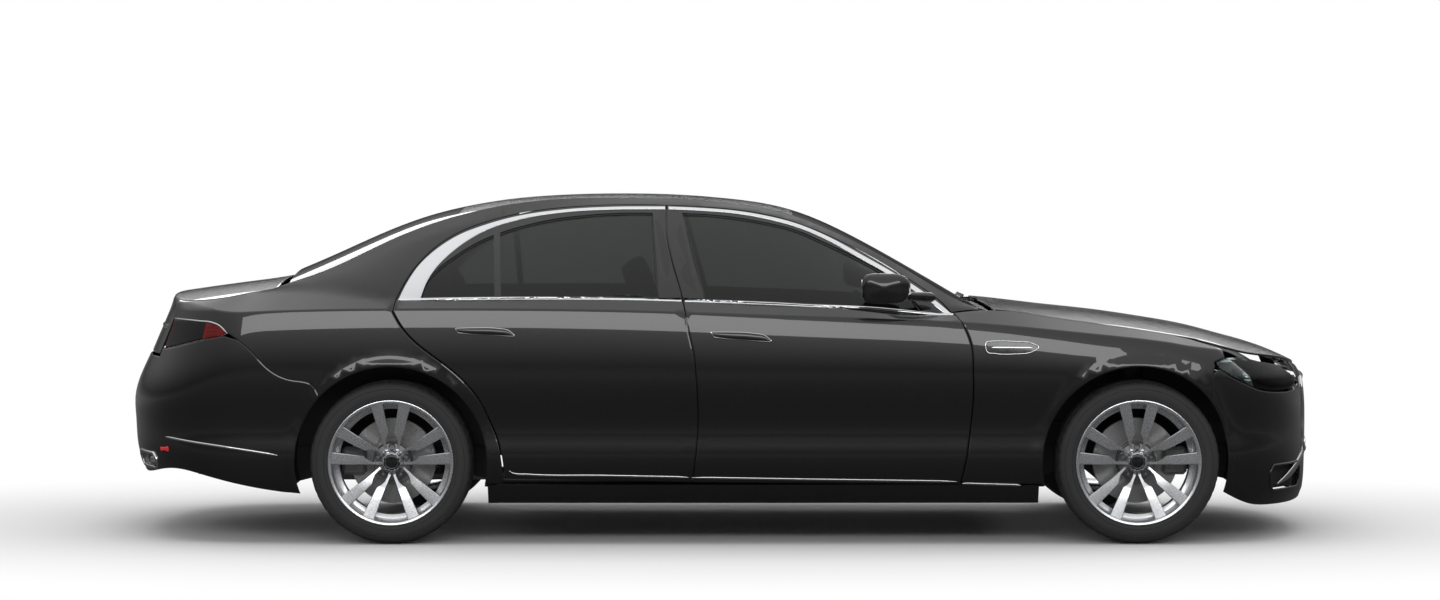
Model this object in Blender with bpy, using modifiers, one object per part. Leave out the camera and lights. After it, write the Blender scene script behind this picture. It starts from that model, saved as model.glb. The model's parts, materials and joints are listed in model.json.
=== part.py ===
"""Long-wheelbase four-door sedan, modelled from its body lines.

Metres. +X points forward, +Y to the car's left, +Z up. The origin is on the ground, under the
centre of the car. The body is drawn as one set of smooth lines along the car (crease, belt,
door top, roof rail, centreline), and every panel is an outline cut from those surfaces.
"""
import math

import bmesh
import bpy
import numpy as np
from mathutils import Matrix, Vector
from mathutils.geometry import delaunay_2d_cdt

# Driving dimensions of the whole car

BODY_LENGTH = 5.289
BODY_WIDTH = 1.954
BODY_HEIGHT = 1.503
WHEELBASE = 3.216
FRONT_OVERHANG = 0.844
SILL_HEIGHT = 0.175
BELT_HEIGHT = 1.05

# Wheels

TYRE_RADIUS = 0.352
TYRE_HALF_WIDTH = 0.127
RIM_RADIUS = 0.271
RIM_WALL = 0.012
WHEEL_PLANE_FRONT = 0.826
WHEEL_PLANE_REAR = 0.832
HUB_RADIUS = 0.078
SPOKE_PAIRS = 5
SPOKE_WIDTH = 0.026
DISC_RADIUS = 0.185
DISC_THICKNESS = 0.030
ARCH_RADIUS = 0.415

# Clearances and wall thicknesses

SHUT_GAP = 0.0055
SEAT_GAP = 0.0003
SKIN = 0.006
GLASS_THICKNESS = 0.005
GLASS_INSET = 0.012
DOOR_EDGE = 0.007
DOOR_DEPTH = 0.105
DOOR_FRAME_DEPTH = 0.036
DOOR_STEP = 0.030
PILLAR_CLEARANCE = 0.012
PILLAR_DEPTH = 0.110
HINGE_SETBACK = 0.040
HINGE_INSET = 0.0145
HINGE_HEIGHTS = (0.700, 0.785)
HINGE_EYE_HEIGHT = 0.030
HINGE_EYE_RADIUS = 0.006
FRONT_STEP = 0.060
LATCH_STEP = 0.030
FRAME_STEP = 0.012
PILLAR_FACE = 0.054
PILLAR_HIGH_FACE = 0.021
PILLAR_HIGH_DEPTH = 0.060
RAIL_LIP = 0.004
RAIL_SHELL = 0.045
RAIL_GAP = 0.0008
BULKHEAD_X = 1.165
BULKHEAD_WALL = 0.018
PAN_HEIGHT = 0.200
PAN_WALL = 0.008
REAR_PAN_HEIGHT = 0.400
TUNNEL_HEIGHT = 0.150

# Stations and heights of the drawing, on which every outline below is given

DRAWN_STATIONS = (-2.6445, -1.4153, 1.8007, 2.6445)
DRAWN_HEIGHTS = (0.0, 0.175, 1.05, 1.503)
DRAWN_HALF_WIDTH = 0.977
NOSE_START = 1.95
TAIL_START = -1.95
NOSE_RUN = 0.6945
NOSE_TOP_Z = 0.72
TAIL_TOP_Z = 1.00
DECK_START = -1.9
HOOD_START = 1.25

FRONT_AXLE_X = BODY_LENGTH / 2 - FRONT_OVERHANG
REAR_AXLE_X = FRONT_AXLE_X - WHEELBASE
LEFT, RIGHT = 1, -1
SIDES = (("left", LEFT), ("right", RIGHT))


# Curves and mappings

def spline(*keys):
    """A smooth curve through (place, value) keys, running on straight past its ends."""
    places, values = np.array(keys, float).T
    count = len(places)
    gaps = np.diff(places)
    slopes = np.diff(values) / gaps
    system = np.eye(count)
    target = np.zeros(count)
    for i in range(1, count - 1):
        system[i, i - 1] = gaps[i - 1]
        system[i, i] = 2 * (gaps[i - 1] + gaps[i])
        system[i, i + 1] = gaps[i]
        target[i] = 6 * (slopes[i] - slopes[i - 1])
    bend = np.linalg.solve(system, target)
    start_slope = slopes[0] - gaps[0] * bend[1] / 6
    end_slope = slopes[-1] + gaps[-1] * bend[-2] / 6

    def value(place):
        place = np.asarray(place, float)
        i = np.clip(np.searchsorted(places, place) - 1, 0, count - 2)
        h = gaps[i]
        a = (places[i + 1] - place) / h
        b = (place - places[i]) / h
        inside = a * values[i] + b * values[i + 1]
        inside = inside + ((a**3 - a) * bend[i] + (b**3 - b) * bend[i + 1]) * h * h / 6
        before = values[0] + (place - places[0]) * start_slope
        after = values[-1] + (place - places[-1]) * end_slope
        return np.where(place < places[0], before, np.where(place > places[-1], after, inside))

    return value


def ramp(distance, radius):
    """Zero before a corner, the distance past it after, rounded over the radius."""
    blend = (distance + radius) ** 2 / (4 * radius)
    return np.where(distance < -radius, 0.0, np.where(distance > radius, distance, blend))


def along(x):
    """A drawn station as a place along the real car."""
    real = (-BODY_LENGTH / 2, REAR_AXLE_X, FRONT_AXLE_X, BODY_LENGTH / 2)
    return np.interp(x, DRAWN_STATIONS, real)


def up(z):
    """A drawn height as a height of the real car."""
    return np.interp(z, DRAWN_HEIGHTS, (0.0, SILL_HEIGHT, BELT_HEIGHT, BODY_HEIGHT))


def across(y):
    return y * (BODY_WIDTH / 2) / DRAWN_HALF_WIDTH


def real_point(x, y, z):
    return np.stack([along(x), across(y), up(z)], -1)


# Body lines, in drawn stations and heights

HALF_WIDTH = spline((-2.3, 0.925), (-1.95, 0.945), (-1.415, 0.970), (-0.6, 0.976), (0.3, 0.977),
                    (1.1, 0.970), (1.8, 0.960), (2.1, 0.945), (2.4, 0.925))
SECTION = spline((0.10, -0.120), (0.17, -0.070), (0.20, -0.048), (0.25, -0.028), (0.32, -0.015),
                 (0.40, -0.012), (0.47, -0.019), (0.53, -0.018), (0.62, -0.007), (0.72, 0.0),
                 (0.80, -0.003), (0.88, -0.012), (0.94, -0.022), (1.00, -0.036), (1.06, -0.054))
CREASE_Z = spline((-2.6, 0.965), (-1.9, 1.005), (-1.375, 1.014), (-0.3, 1.004), (0.13, 0.990),
                  (0.68, 0.972), (1.03, 0.957), (1.37, 0.930), (1.67, 0.900), (2.0, 0.858),
                  (2.3, 0.785), (2.6, 0.690))
BELT_Y = spline((-2.45, 0.690), (-2.2, 0.690), (-1.9, 0.690), (-1.7, 0.760), (-1.5, 0.850),
                (-1.3, 0.878), (-0.6, 0.884), (0.3, 0.882), (0.9, 0.872), (1.1, 0.838),
                (1.25, 0.808), (1.6, 0.800), (2.0, 0.800), (2.2, 0.795), (2.4, 0.780))
BELT_Z = spline((-1.9, 1.100), (-1.7, 1.090), (-1.5, 1.058), (-1.3, 1.049), (-0.26, 1.046),
                (0.2, 1.028), (0.6, 1.008), (0.95, 0.990), (1.1, 1.006), (1.25, 1.002))
DOOR_TOP_Y = spline((-1.9, 0.688), (-1.7, 0.700), (-1.4, 0.690), (-1.18, 0.672), (-0.88, 0.645),
                    (-0.53, 0.632), (-0.1, 0.632), (0.26, 0.650), (0.52, 0.695), (0.78, 0.765),
                    (0.95, 0.825), (1.1, 0.835))
DOOR_TOP_Z = spline((-1.9, 1.106), (-1.7, 1.150), (-1.4, 1.272), (-1.18, 1.350), (-0.88, 1.415),
                    (-0.53, 1.450), (-0.1, 1.449), (0.26, 1.404), (0.52, 1.302), (0.69, 1.211),
                    (0.86, 1.109), (0.95, 1.048), (1.1, 1.010))
RAIL_Y = spline((-1.9, 0.678), (-1.7, 0.655), (-1.4, 0.625), (-1.14, 0.600), (-0.75, 0.575),
                (-0.3, 0.565), (0.1, 0.575), (0.35, 0.605), (0.6, 0.665), (0.85, 0.735),
                (1.035, 0.795), (1.12, 0.815))
RAIL_Z = spline((-1.9, 1.112), (-1.765, 1.155), (-1.66, 1.198), (-1.448, 1.300), (-1.14, 1.412),
                (-0.968, 1.451), (-0.748, 1.479), (-0.35, 1.487), (-0.09, 1.479), (0.086, 1.459),
                (0.26, 1.428), (0.436, 1.366), (0.61, 1.286), (0.866, 1.143), (1.035, 1.044),
                (1.12, 1.012))
CENTRE_Z = spline((-1.95, 1.140), (-1.735, 1.232), (-1.553, 1.314), (-1.325, 1.401), (-1.142, 1.447),
                  (-0.96, 1.477), (-0.732, 1.496), (-0.45, 1.503), (-0.185, 1.497), (0.043, 1.479),
                  (0.226, 1.453), (0.363, 1.416), (0.59, 1.316), (0.82, 1.190), (1.047, 1.058),
                  (1.20, 0.968))
HOOD_Z = spline((1.10, 1.024), (1.275, 1.013), (1.50, 0.990), (1.73, 0.966), (1.95, 0.934),
                (2.17, 0.893), (2.30, 0.858), (2.44, 0.817), (2.52, 0.782), (2.575, 0.748),
                (2.60, 0.722))
HOOD_CROWN = spline((1.10, 0.010), (1.25, 0.012), (1.38, 0.020), (1.70, 0.033), (2.0, 0.036),
                    (2.3, 0.036), (2.6, 0.030))
DECK_Z = spline((-2.46, 1.058), (-2.35, 1.074), (-2.16, 1.100), (-1.963, 1.128), (-1.90, 1.140))
DECK_CROWN = 0.040
DECK_EDGE_Y = 0.69
NOSE_X = spline((0.10, 2.585), (0.155, 2.625), (0.22, 2.640), (0.30, 2.643), (0.42, 2.6445),
                (0.62, 2.640), (0.70, 2.622), (0.76, 2.585), (0.82, 2.530))
TAIL_X = spline((0.20, 2.560), (0.26, 2.590), (0.36, 2.628), (0.50, 2.642), (0.60, 2.6445),
                (0.70, 2.615), (0.78, 2.577), (0.88, 2.532), (1.01, 2.486), (1.10, 2.462))
CREASE_ROUND = 0.008
BELT_ROUND = spline((-2.0, 0.030), (-1.8, 0.060), (-1.6, 0.040), (-1.42, 0.012), (-1.3, 0.004),
                    (1.1, 0.004), (2.6, 0.004))
RAIL_ROUND = 0.016
ROOF_CROWN = 2.3
GLASS_BULGE = 0.020


def hood_height(x, y):
    """Drawn height of the hood, and of the fender line at its edge."""
    return HOOD_Z(x) - HOOD_CROWN(x) * (np.abs(y) / BELT_Y(x)) ** 3


def deck_height(x, y):
    """Drawn height of the boot deck, and of the quarter panel at its edge."""
    return DECK_Z(x) - DECK_CROWN * (np.abs(y) / DECK_EDGE_Y) ** 2.2


def smooth_step(value, low, high):
    share = np.clip((value - low) / (high - low), 0, 1)
    return share * share * (3 - 2 * share)


def plan_contour(s, half, z):
    """Outer contour of the body in plan at place s, and its inward direction."""
    way = np.where(s > 0, 1.0, -1.0)
    start = np.where(s > 0, NOSE_START, -TAIL_START)
    q = np.clip((np.abs(s) - start) / (2 * NOSE_RUN), 0.0, 1.0)
    run = np.where(s > 0, NOSE_X(z), TAIL_X(z)) - start
    turned = 1 - (1 - q) ** 2
    width = np.sqrt(np.maximum(0.0, 1 - turned**3))
    x = np.where(q > 0, way * (start + run * turned), s)
    y = half * width
    dx = 2 * run * (1 - q)
    dy = -half * 3 * turned**2 * (1 - q) / np.maximum(width, 1e-9)
    dy = np.where(q > 0.999, -half * math.sqrt(3), dy)
    length = np.hypot(dx, dy)
    return x, y, way * dy / length, -dx / length, q


def shoulder_lines(s):
    """Crease and belt lines at place s: all that a body section needs besides its height."""
    rear = s < 0
    x, _, _, _, q = plan_contour(s, 1.0, np.where(rear, TAIL_TOP_Z, NOSE_TOP_Z))
    half = HALF_WIDTH(x)
    kept = np.where(rear, 1 - 0.9 * smooth_step(q, 0.10, 0.55), 1 - 0.9 * smooth_step(q, 0.02, 0.30))
    plain_crease = CREASE_Z(x)
    crease_half = half + SECTION(1.0)
    crease_x, crease_y, in_x, in_y, _ = plan_contour(s, crease_half, np.where(rear, plain_crease, NOSE_TOP_Z))
    reach = np.maximum(crease_half - BELT_Y(x), 0.02) * kept
    belt_x, belt_y = crease_x + in_x * reach, crease_y + in_y * reach
    belt_z = np.where(belt_x < DECK_START, deck_height(belt_x, belt_y),
                      np.where(belt_x > HOOD_START, hood_height(belt_x, belt_y), BELT_Z(x)))
    belt_z = np.maximum(belt_z, plain_crease + 0.012)
    crease_z = belt_z - (belt_z - plain_crease) * kept
    shoulder = np.hypot(reach, belt_z - crease_z)
    return x, half, crease_half, reach, crease_z, belt_z, shoulder, belt_x, belt_y


def side_drawn(s, w):
    """Body side at place s and height w, where w runs on past the crease as a distance."""
    s = np.asarray(s, float)
    w = np.asarray(w, float)
    x, half, crease_half, reach, crease_z, belt_z, shoulder, _, _ = shoulder_lines(s)
    door_y, door_z = DOOR_TOP_Y(x), DOOR_TOP_Z(x)
    rail_y, rail_z = RAIL_Y(x), RAIL_Z(x)
    window = np.hypot(crease_half - reach - door_y, door_z - belt_z) + 1e-9
    rail = np.hypot(door_y - rail_y, rail_z - door_z) + 1e-9
    past = w - crease_z
    on_shoulder = ramp(past, CREASE_ROUND)
    on_window = ramp(past - shoulder, BELT_ROUND(x))
    on_rail = ramp(past - shoulder - window, RAIL_ROUND)
    first = on_shoulder - on_window
    second = on_window - on_rail
    z_low = crease_z + past - on_shoulder
    knee = 0.70
    scaled = np.where(z_low < knee, z_low, knee + (z_low - knee) * (1.0 - knee) / (crease_z - knee))
    out_x, out_y, in_x, in_y, _ = plan_contour(s, half + SECTION(scaled), z_low)
    z = z_low + first * (belt_z - crease_z) / shoulder
    z = z + second * (door_z - belt_z) / window + on_rail * (rail_z - door_z) / rail
    inward = first * reach / shoulder + second * (crease_half - reach - door_y) / window
    inward = inward + on_rail * (door_y - rail_y) / rail
    share = np.clip(second / window, 0, 1)
    bulge = 4 * GLASS_BULGE * share * (1 - share) * np.clip(window / 0.3, 0, 1)
    inward = inward - np.where(on_window > 0, bulge, 0.0)
    return out_x + in_x * inward, out_y + in_y * inward, z


def belt_place(s):
    """The w of the belt line at place s."""
    lines = shoulder_lines(np.asarray(s, float))
    return lines[4] + lines[6]


def rail_place(x):
    """The w of the roof rail at station x."""
    x = np.asarray(x, float)
    _, _, crease_half, reach, crease_z, belt_z, shoulder, _, _ = shoulder_lines(x)
    window = np.hypot(crease_half - reach - DOOR_TOP_Y(x), DOOR_TOP_Z(x) - belt_z)
    rail = np.hypot(DOOR_TOP_Y(x) - RAIL_Y(x), RAIL_Z(x) - DOOR_TOP_Z(x))
    return crease_z + shoulder + window + rail


def contour_place(x, z):
    """The place s along the plan contour whose station is x at height z."""
    start = NOSE_START if x > 0 else TAIL_START
    end = float(NOSE_X(z)) if x > 0 else -float(TAIL_X(z))
    if abs(x) <= abs(start):
        return x
    turned = min((x - start) / (end - start), 1.0)
    return math.copysign(abs(start) + 2 * NOSE_RUN * (1 - math.sqrt(1 - turned)), x)


def place_at_width(y, z, front):
    """The place s along the contour where the body is y from the centre plane."""
    places = np.linspace(NOSE_START, NOSE_START + 2 * NOSE_RUN, 400) * (1 if front else -1)
    widths = side_drawn(places, np.full(400, z))[1]
    return float(np.interp(-y, -widths, places))


def height_place(x, z):
    """The w of a height z at station x on the body side."""
    heights = np.linspace(0.12, 1.75, 900)
    drawn = side_drawn(np.full(900, x), heights)[2]
    rising = np.maximum.accumulate(drawn)
    return float(np.interp(z, rising, heights))


def arch_flare(x, z, axle):
    """How far the wheel arch lip stands out at a drawn point."""
    reach = np.hypot(x - axle, z - TYRE_RADIUS)
    return 0.010 * np.clip((0.475 - reach) / 0.05, 0, 1) ** 2


def side_surface(side):
    """Maps (s, w) to a real point on the left or right body side."""
    def point(uv):
        x, y, z = side_drawn(uv[:, 0], uv[:, 1])
        for axle in (DRAWN_STATIONS[1], DRAWN_STATIONS[2]):
            y = y + arch_flare(x, z, axle)
        found = real_point(x, y, z)
        found[:, 1] *= side
        return found
    return point


def glasshouse_surface(uv):
    """Roof, windscreen and rear window: height over (x, y)."""
    x, y = uv[:, 0], uv[:, 1]
    edge_y, edge_z = RAIL_Y(x), RAIL_Z(x)
    share = np.clip(np.abs(y) / edge_y, 0, 1.2) ** ROOF_CROWN
    return real_point(x, y, edge_z + (CENTRE_Z(x) - edge_z) * (1 - share))


def hood_surface(uv):
    """Hood height over (x, y)."""
    return real_point(uv[:, 0], uv[:, 1], hood_height(uv[:, 0], uv[:, 1]))


LID_FRONT = -1.935
LID_EDGE_ROUND = 0.014


def tail_edge(y):
    """Station of the boot lid's trailing edge across the car."""
    turned = np.clip(1 - (np.abs(y) / 0.90) ** 2, 0, 1) ** (1 / 3)
    return TAIL_START + (-2.458 - TAIL_START) * turned


def lid_surface(uv):
    """Boot lid: u runs rearward over the deck from its front edge, then down the rear face."""
    u, y = uv[:, 0], uv[:, 1]
    trailing = tail_edge(y)
    past = u - (LID_FRONT - trailing)
    down = ramp(past, LID_EDGE_ROUND)
    x = trailing - (past - down)
    z = deck_height(x, y) - down * 0.965
    lean = np.interp(down, [0.0, 0.06, 0.30], [0.0, 0.018, 0.118])
    return real_point(x - lean, y, z)


# Outlines

def smooth_run(points, count):
    """Points spaced along a smooth curve through the given ones."""
    points = np.array(points, float)
    length = np.concatenate([[0], np.cumsum(np.hypot(*np.diff(points, axis=0).T))])
    first = spline(*zip(length, points[:, 0]))
    second = spline(*zip(length, points[:, 1]))
    even = np.linspace(0, length[-1], count)
    return np.stack([first(even), second(even)], -1)


def straight_run(start, end, count):
    return np.linspace(start, end, count)


def joined(*runs):
    """One closed loop from runs laid end to end, without doubled points."""
    points = np.concatenate([np.array(run, float) for run in runs])
    step = np.hypot(*(points - np.roll(points, 1, axis=0)).T)
    return points[step > 1e-4]


def signed_area(loop):
    x, y = loop[:, 0], loop[:, 1]
    return 0.5 * float(np.sum(x * np.roll(y, -1) - np.roll(x, -1) * y))


def inset(loop, distance):
    """The loop drawn in by a distance, which may differ from point to point."""
    before = loop - np.roll(loop, 1, axis=0)
    after = np.roll(loop, -1, axis=0) - loop
    before = before / np.linalg.norm(before, axis=1, keepdims=True)
    after = after / np.linalg.norm(after, axis=1, keepdims=True)
    tangent = before + after
    tangent = tangent / np.maximum(np.linalg.norm(tangent, axis=1, keepdims=True), 1e-6)
    inward = np.stack([-tangent[:, 1], tangent[:, 0]], -1) * math.copysign(1, signed_area(loop))
    half_turn = np.maximum(np.sum(tangent * before, axis=1), 0.5)
    return loop + inward * (np.asarray(distance) / half_turn)[..., None]


def inside(points, loop):
    """Which points lie inside a closed loop."""
    x, y = points[:, 0][:, None], points[:, 1][:, None]
    x0, y0 = loop[:, 0][None], loop[:, 1][None]
    x1, y1 = np.roll(loop[:, 0], -1)[None], np.roll(loop[:, 1], -1)[None]
    crosses = (y0 > y) != (y1 > y)
    rise = np.where(np.abs(y1 - y0) < 1e-12, 1e-12, y1 - y0)
    return (np.sum(crosses & (x < x0 + (y - y0) * (x1 - x0) / rise), axis=1) % 2) == 1


def loop_distance(points, loop):
    """Distance from each point to the nearest side of a loop."""
    a, b = loop, np.roll(loop, -1, axis=0)
    along_side = b - a
    offset = points[:, None] - a[None]
    share = np.sum(offset * along_side, -1) / np.maximum(np.sum(along_side**2, -1), 1e-12)
    nearest = a + np.clip(share, 0, 1)[..., None] * along_side
    return np.min(np.linalg.norm(points[:, None] - nearest, axis=-1), axis=1)


# Solids

def collection(name, hidden=False):
    found = bpy.data.collections.new(name)
    bpy.context.scene.collection.children.link(found)
    found.hide_render = hidden
    return found


def material(name, colour, roughness, metallic=0.0, alpha=1.0):
    made = bpy.data.materials.new(name)
    made.use_nodes = True
    shader = made.node_tree.nodes["Principled BSDF"]
    shader.inputs["Base Color"].default_value = (*colour, 1.0)
    shader.inputs["Roughness"].default_value = roughness
    shader.inputs["Metallic"].default_value = metallic
    shader.inputs["Alpha"].default_value = alpha
    made.diffuse_color = (*colour, alpha)
    return made


def add_object(name, mesh, finish, group):
    thing = bpy.data.objects.new(name, mesh)
    group.objects.link(thing)
    mesh.materials.clear()
    mesh.materials.append(finish)
    return thing


def mesh_from(name, points, faces, smooth_angle=35):
    mesh = bpy.data.meshes.new(name)
    mesh.from_pydata([tuple(p) for p in points], [], faces)
    work = bmesh.new()
    work.from_mesh(mesh)
    bmesh.ops.recalc_face_normals(work, faces=work.faces)
    work.to_mesh(mesh)
    work.free()
    mesh.shade_smooth()
    mesh.set_sharp_from_angle(angle=math.radians(smooth_angle))
    return mesh


LINE_MARGIN = 0.012


def grid_points(loop, step):
    """Staggered points inside a loop, kept off its edge."""
    low, high = loop.min(axis=0), loop.max(axis=0)
    rows = []
    for i, v in enumerate(np.arange(low[1] + step[1] / 2, high[1], step[1])):
        us = np.arange(low[0] + step[0] * (0.25 + 0.5 * (i % 2)), high[0], step[0])
        rows.append(np.stack([us, np.full(len(us), v)], -1))
    points = np.concatenate(rows) if rows else np.zeros((0, 2))
    return points[inside(points, loop)]


def triangulated(outline, loops, step, lines=()):
    """Points and triangles that fill an outline, with the inner loops and lines as edges."""
    points = [tuple(p) for p in outline]
    edges = [(i, (i + 1) % len(outline)) for i in range(len(outline))]
    for loop in loops:
        start = len(points)
        points += [tuple(p) for p in loop]
        edges += [(start + i, start + (i + 1) % len(loop)) for i in range(len(loop))]
    free = grid_points(outline, step)
    scale = np.array(step, float)
    for line in lines:
        kept = inside(line, outline)
        for loop in [outline, *loops]:
            kept &= loop_distance(line, loop) > LINE_MARGIN
        start = len(points)
        places = np.flatnonzero(kept)
        points += [tuple(line[i]) for i in places]
        edges += [(start + i, start + i + 1) for i in range(len(places) - 1) if places[i + 1] == places[i] + 1]
        if len(free):
            near_line = np.abs(free[:, 1] - np.interp(free[:, 0], line[:, 0], line[:, 1])) < 0.35 * step[1]
            free = free[~near_line | (free[:, 0] < line[0, 0]) | (free[:, 0] > line[-1, 0])]
    for loop in [outline, *loops]:
        if len(free):
            free = free[loop_distance(free / scale, loop / scale) > 0.42]
    points += [tuple(p) for p in free]
    found = delaunay_2d_cdt([Vector(p) for p in points], edges, [], 1, 1e-7)
    return np.array([tuple(p) for p in found[0]]), np.array(found[2])


def panel_mesh(name, outline, surface, depths, step, zones=(), holes=(), inward=None, lines=()):
    """A solid between two depths behind a surface.

    depths(points, zone) gives the near and far depth of each point. Zones are loops: a triangle
    inside the nth loop is in zone n, counted from 1, and the walls between zones are closed. Holes
    are cut right through. Depth runs along inward, a direction, or else along the surface's normal.
    """
    uv, triangles = triangulated(outline, [*zones, *holes], step, lines)
    centres = uv[triangles].mean(axis=1)
    kept = inside(centres, outline)
    for hole in holes:
        kept &= ~inside(centres, hole)
    triangles, centres = triangles[kept], centres[kept]
    zone = np.zeros(len(triangles), int)
    for number, loop in enumerate(zones, 1):
        zone[inside(centres, loop)] = number
    outer = surface(uv)
    if inward is None:
        delta = 1e-4
        du = surface(uv + [delta, 0]) - surface(uv - [delta, 0])
        dv = surface(uv + [0, delta]) - surface(uv - [0, delta])
        way = np.cross(du, dv)
        way = way / np.maximum(np.linalg.norm(way, axis=1, keepdims=True), 1e-12)
        centre = np.array([0.0, 0.0, 0.5])
        to_centre = centre - outer
        to_centre[:, 0] = np.where(np.abs(outer[:, 0]) > 2.1, to_centre[:, 0], 0)
        flip = np.sign(np.sum(way * to_centre, axis=1))
        way = way * np.where(flip == 0, 1, flip)[:, None]
    else:
        way = np.broadcast_to(np.asarray(inward, float), outer.shape)
    by_zone = {k: depths(uv, k) for k in range(len(zones) + 1)}
    points, index = [], {}

    def corner(i, depth):
        key = (int(i), round(float(depth), 6))
        if key not in index:
            index[key] = len(points)
            points.append(outer[i] + way[i] * depth)
        return index[key]

    faces, sides, levels = [], {}, {}
    for tri, k in zip(triangles, zone):
        near, far = by_zone[k]
        faces.append([corner(i, near[i]) for i in tri])
        faces.append([corner(i, far[i]) for i in reversed(tri)])
        for a, b in zip(tri, np.roll(tri, -1)):
            sides.setdefault((min(a, b), max(a, b)), []).append(k)
            levels.setdefault(a, set()).update((near[a], far[a]))

    def climb(i, start, end):
        """The corners over point i from one depth to another, through every level between."""
        low, high = min(start, end) + 1e-6, max(start, end) - 1e-6
        between = sorted(d for d in levels[i] if low < d < high)
        return [corner(i, d) for d in [start, *(between if start < end else between[::-1]), end]]

    for (a, b), found in sides.items():
        walls = []
        if len(found) == 1:
            near, far = by_zone[found[0]]
            walls.append((near, far))
        elif found[0] != found[1]:
            (near0, far0), (near1, far1) = by_zone[found[0]], by_zone[found[1]]
            walls += [(near0, near1), (far0, far1)]
        for first, second in walls:
            ring = [*climb(a, second[a], first[a]), *climb(b, first[b], second[b])]
            face = [p for i, p in enumerate(ring) if p != ring[i - 1]]
            if len(face) > 2:
                faces.append(face)
    return mesh_from(name, points, faces)


def even_depth(near, far):
    return lambda uv, zone: (np.full(len(uv), near), np.full(len(uv), far))


def box_mesh(name, low, high, bevel=0.0, segments=1):
    """A box between two real corners, with its edges rounded."""
    work = bmesh.new()
    bmesh.ops.create_cube(work, size=1.0)
    low, high = Vector(low), Vector(high)
    size = high - low
    bmesh.ops.scale(work, vec=size, verts=work.verts)
    bmesh.ops.translate(work, vec=(low + high) / 2, verts=work.verts)
    if bevel:
        bmesh.ops.bevel(work, geom=list(work.edges), offset=bevel, segments=segments, profile=0.5,
                        affect='EDGES')
    mesh = bpy.data.meshes.new(name)
    work.to_mesh(mesh)
    work.free()
    return mesh


def rod_mesh(name, start, end, radius, sides=10):
    """A round bar between two points."""
    start, end = Vector(start), Vector(end)
    work = bmesh.new()
    bmesh.ops.create_cone(work, cap_ends=True, segments=sides, radius1=radius, radius2=radius,
                          depth=(end - start).length)
    turn = (end - start).to_track_quat('Z', 'Y').to_matrix().to_4x4()
    work.transform(Matrix.Translation((start + end) / 2) @ turn)
    mesh = bpy.data.meshes.new(name)
    work.to_mesh(mesh)
    work.free()
    return mesh


def loft_mesh(name, rings):
    """A closed solid through rings of equal count."""
    points = [tuple(p) for ring in rings for p in ring]
    count = len(rings[0])
    faces = [list(range(count)), list(range(len(points) - count, len(points)))]
    for r in range(len(rings) - 1):
        for i in range(count):
            a, b = r * count + i, r * count + (i + 1) % count
            faces.append([a, b, b + count, a + count])
    return mesh_from(name, points, faces)


def turned_mesh(name, profile, steps, closed):
    """A profile of (radius, place) turned about the Y axis."""
    work = bmesh.new()
    corners = [work.verts.new((radius, place, 0)) for radius, place in profile]
    for a, b in zip(corners, corners[1:]):
        work.edges.new((a, b))
    if closed:
        work.edges.new((corners[-1], corners[0]))
    mesh = bpy.data.meshes.new(name)
    work.to_mesh(mesh)
    work.free()
    thing = bpy.data.objects.new(name, mesh)
    TOOLS.objects.link(thing)
    screw = thing.modifiers.new("turn", 'SCREW')
    screw.axis = 'Y'
    screw.steps = steps
    screw.render_steps = steps
    screw.use_merge_vertices = True
    screw.merge_threshold = 0.00005
    screw.use_smooth_shade = True
    graph = bpy.context.evaluated_depsgraph_get()
    turned = bpy.data.meshes.new_from_object(thing.evaluated_get(graph))
    bpy.data.objects.remove(thing)
    work = bmesh.new()
    work.from_mesh(turned)
    bmesh.ops.remove_doubles(work, verts=work.verts, dist=0.00005)
    bmesh.ops.recalc_face_normals(work, faces=work.faces)
    work.to_mesh(turned)
    work.free()
    return turned


def combined(name, meshes, operation='UNION'):
    """The meshes joined, or cut by all but the first, as one mesh."""
    base = bpy.data.objects.new(name, meshes[0])
    TOOLS.objects.link(base)
    others = []
    for mesh in meshes[1:]:
        other = bpy.data.objects.new(name + "_tool", mesh)
        TOOLS.objects.link(other)
        others.append(other)
        cut = base.modifiers.new("join", 'BOOLEAN')
        cut.operation = operation
        cut.solver = 'EXACT'
        cut.object = other
    bpy.context.view_layer.update()
    graph = bpy.context.evaluated_depsgraph_get()
    result = bpy.data.meshes.new_from_object(base.evaluated_get(graph))
    for thing in [base, *others]:
        bpy.data.objects.remove(thing)
    work = bmesh.new()
    work.from_mesh(result)
    bmesh.ops.remove_doubles(work, verts=work.verts, dist=0.00003)
    bmesh.ops.dissolve_degenerate(work, edges=work.edges, dist=0.00003)
    work.to_mesh(result)
    work.free()
    return result


def pipe_mesh(name, points, radius, resolution=1):
    """A round pipe along a run of points."""
    curve = bpy.data.curves.new(name, 'CURVE')
    curve.dimensions = '3D'
    curve.bevel_depth = radius
    curve.bevel_resolution = resolution
    curve.use_fill_caps = True
    run = curve.splines.new('POLY')
    run.points.add(len(points) - 1)
    for point, place in zip(run.points, points):
        point.co = (*place, 1.0)
    thing = bpy.data.objects.new(name, curve)
    TOOLS.objects.link(thing)
    graph = bpy.context.evaluated_depsgraph_get()
    mesh = bpy.data.meshes.new_from_object(thing.evaluated_get(graph))
    bpy.data.objects.remove(thing)
    return mesh


def moved(mesh, matrix):
    copy = mesh.copy()
    copy.transform(matrix)
    return copy


def mirrored(mesh):
    """The mesh reflected to the other side of the car."""
    copy = mesh.copy()
    copy.transform(Matrix.Scale(-1, 4, (0, 1, 0)))
    copy.flip_normals()
    return copy


def on_axis(mesh, point):
    """The mesh moved so that its object's origin can sit on a joint's axis."""
    copy = mesh.copy()
    copy.transform(Matrix.Translation(-Vector(point)))
    return copy


for thing in list(bpy.data.objects):
    bpy.data.objects.remove(thing)

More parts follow.
